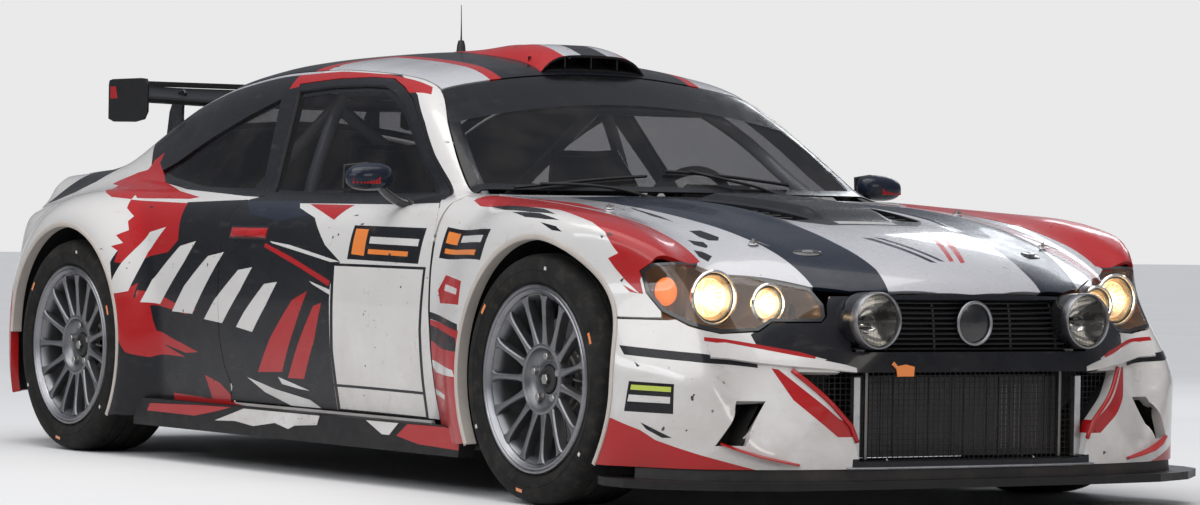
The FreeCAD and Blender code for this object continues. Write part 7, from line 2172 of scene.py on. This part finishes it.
# ------------------------------------------------------------------ engine, under the hood
COVERRED = plastic("cam_cover_red", (0.20, 0.006, 0.008), 0.55, 0.4, 900.0, 0.5)
CASTGREY = metal("cast_alloy", (0.30, 0.30, 0.31), 0.55, 0.2, None, 0.8, 0.45)
m = Mesh()
m.add(*slab([(1200, 312), (1232, 270), (1540, 270), (1580, 306), (1700, 330), (1700, 468), (1200, 468)], -150, 150, "xz", 9.0), CASTGREY, False)
for k in range(9):
    for y in (-1, 1):
        y0, y1 = sorted((y * 148, y * 157))
        m.add(*block(1222 + k * 56, 1230 + k * 56, y0, y1, 330, 462, 2.0), CASTGREY, False)
m.add(*slab([(1204, 469), (1702, 469), (1698, 560), (1208, 560)], -162, 162, "xz", 5.0), ALU, False)
m.add(*slab([(-150, 561), (150, 561), (150, 600), (124, 634), (-124, 634), (-150, 600)], 1214, 1690, "yz", 8.0), COVERRED, False)
for k in range(9):
    m.add(*block(1240 + k * 50, 1249 + k * 50, -116, 116, 631, 640, 2.5), COVERRED, False)
for k in range(4):
    m.add(*disc_of(21, 632, 645, (1270 + k * 108, 0, 0), "z", 28, 3.0), GLOSSBLACK)
    m.add(*tube(smooth_path([(1270 + k * 108, 0, 645), (1270 + k * 108, -28, 652), (1276 + k * 108, -80, 648), (1284 + k * 108, -104, 640)], 5), 4.2, 8), RUBBER)
m.add(*tube([(1240, -106, 640), (1660, -106, 640)], 8.0, 12), TRIM)
for k in range(7):
    m.add(*tube([(1262 + k * 62, -106, 640), (1268 + k * 62, -106, 640)], 9.4, 12), RUBBER)
    for y in (-142, 142):
        m.add(*disc_of(6.5, 598, 606, (1240 + k * 70, y, 0), "z", 6, 1.2), BOLT, False)
m.add(*disc_of(29, 630, 655, (1640, 70, 0), "z", 32, 4.0), GLOSSBLACK)
for k in range(3):
    a_ = k * math.pi / 3
    m.add(*tube([(1640 - 26 * math.cos(a_), 70 - 26 * math.sin(a_), 656), (1640 + 26 * math.cos(a_), 70 + 26 * math.sin(a_), 656)], 3.0, 8), GLOSSBLACK)
# drive at the front
m.add(*slab([(-128, 300), (128, 300), (152, 430), (146, 600), (96, 636), (-96, 636), (-146, 600), (-152, 430)], 1703, 1716, "yz", 4.0), TRIM, False)
pul = [(0, 336, 60), (118, 420, 36), (12, 486, 46), (-96, 420, 30)]
for y, z, r in pul:
    v, f = revolve([(0.2, 1732), (r * 0.3, 1733), (r * 0.36, 1727), (r * 0.8, 1725), (r - 4, 1733), (r, 1734), (r, 1719), (r * 0.4, 1718)], 40, "x", False)
    m.add(v + np.array([0, y, z]), f, STEEL)
    m.add(*disc_of(8, 1728, 1738, (0, y, z), "x", 6, 1.0), BOLT, False)
loop = [(60 * math.cos(a), 336 + 60 * math.sin(a)) for a in np.radians(np.linspace(205, 325, 13))]
loop += [(118 + 36 * math.cos(a), 420 + 36 * math.sin(a)) for a in np.radians(np.linspace(-30, 95, 11))]
loop += [(12 + 46 * math.cos(a), 486 + 46 * math.sin(a)) for a in np.radians(np.linspace(62, 128, 8))]
loop += [(-96 + 30 * math.cos(a), 420 + 30 * math.sin(a)) for a in np.radians(np.linspace(128, 205, 8))]
m.add(*tube([(1726, a, b) for a, b in loop], 4.0, 6, True), RUBBER)
# intake chest and runners
m.add(*tube(smooth_path([(1214, 182, 596), (1228, 182, 600), (1440, 182, 602), (1680, 182, 600), (1700, 182, 598)], 5), [24] + [33] * (len(smooth_path([(1214, 182, 596), (1228, 182, 600), (1440, 182, 602), (1680, 182, 600), (1700, 182, 598)], 5)) - 2) + [26], 24), ALU)
for k in range(4):
    x = 1272 + k * 112
    m.add(*tube(smooth_path([(x, 184, 572), (x, 190, 545), (x, 176, 520), (x, 156, 512)], 5), 20, 16), CASTGREY)
    m.add(*block(x - 30, x + 30, 160, 168, 494, 534, 3.0), ALU, False)
    m.add(*tube([(x, 150, 560), (x, 172, 548)], 7.5, 10), ORANGE)
m.add(*tube([(1230, 152, 566), (1660, 152, 566)], 7.0, 12), STEEL)
m.add(*tube([(1700, 182, 598), (1736, 182, 594)], 27, 20), GLOSSBLACK)
m.add(*tube([(1712, 182, 597), (1722, 182, 596)], 30, 20), BOLT)
# exhaust side: runners, collector and compressor
for k in range(4):
    x = 1272 + k * 112
    m.add(*tube(smooth_path([(x, -156, 512), (x, -186, 508), (x * 0.6 + 1440 * 0.4, -192, 470), (x * 0.25 + 1440 * 0.75, -186, 432)], 5), 17, 16), STEEL)
    m.add(*block(x - 28, x + 28, -168, -160, 494, 532, 3.0), STEEL, False)
ring = [(1440 + 34 * math.cos(a), -184, 396 + 34 * math.sin(a)) for a in np.linspace(0, 2 * math.pi, 29)[:-1]]
m.add(*tube(ring, 19, 14, True), CASTGREY)
m.add(*disc_of(30, -212, -166, (1440, 0, 396), "y", 32, 3.0), STEEL)
m.add(*disc_of(13, -219, -205, (1440, 0, 396), "y", 24, 2.0), GLOSSBLACK)
m.add(*tube(smooth_path([(1474, -184, 396), (1540, -188, 388), (1620, -186, 372), (1700, -170, 360), (1728, -168, 356)], 6), 24, 18), RUBBER)
m.add(*slab([(1250, 470), (1640, 470), (1650, 556), (1240, 556)], -206, -203, "xz", 1.0), STEEL, False)
# dipstick, loom, coolant hose
m.add(*tube(smooth_path([(1400, 150, 470), (1400, 158, 560), (1406, 160, 628)], 5), 3.2, 8), STEEL)
m.add(*tube([(1406 + 9 * math.cos(a), 160, 636 + 9 * math.sin(a)) for a in np.linspace(0, 2 * math.pi, 17)[:-1]], 2.4, 8, True), ORANGE)
m.add(*tube(smooth_path([(1690, -80, 590), (1722, -96, 584), (1728, -130, 560), (1726, -150, 500), (1724, -160, 440)], 6), 15, 16), RUBBER)
m.done("engine_assembly", "chassis", ["engine_block"], 34.0)

# ------------------------------------------------------------------ carried-over parts
def dress(node, m):
    if node not in NODES:
        return
    o = NODES[node]
    o.data.materials.clear()
    o.data.materials.append(m)


for n_, m_ in (("floor_pan", BARE), ("chassis_rails", BARE), ("wheel_liners", RUBBER), ("left_knuckle", IRON), ("right_knuckle", IRON), ("dashboard", SUEDE), 
               ("intercooler", COREDARK), ("front_arms", STEEL), ("rear_axle", STEEL), ("exhaust", STEEL), ("side_skirts", WINGBLACK), ("front_splitter", WINGBLACK), ("rear_diffuser", CARBONM)):
    dress(n_, m_)
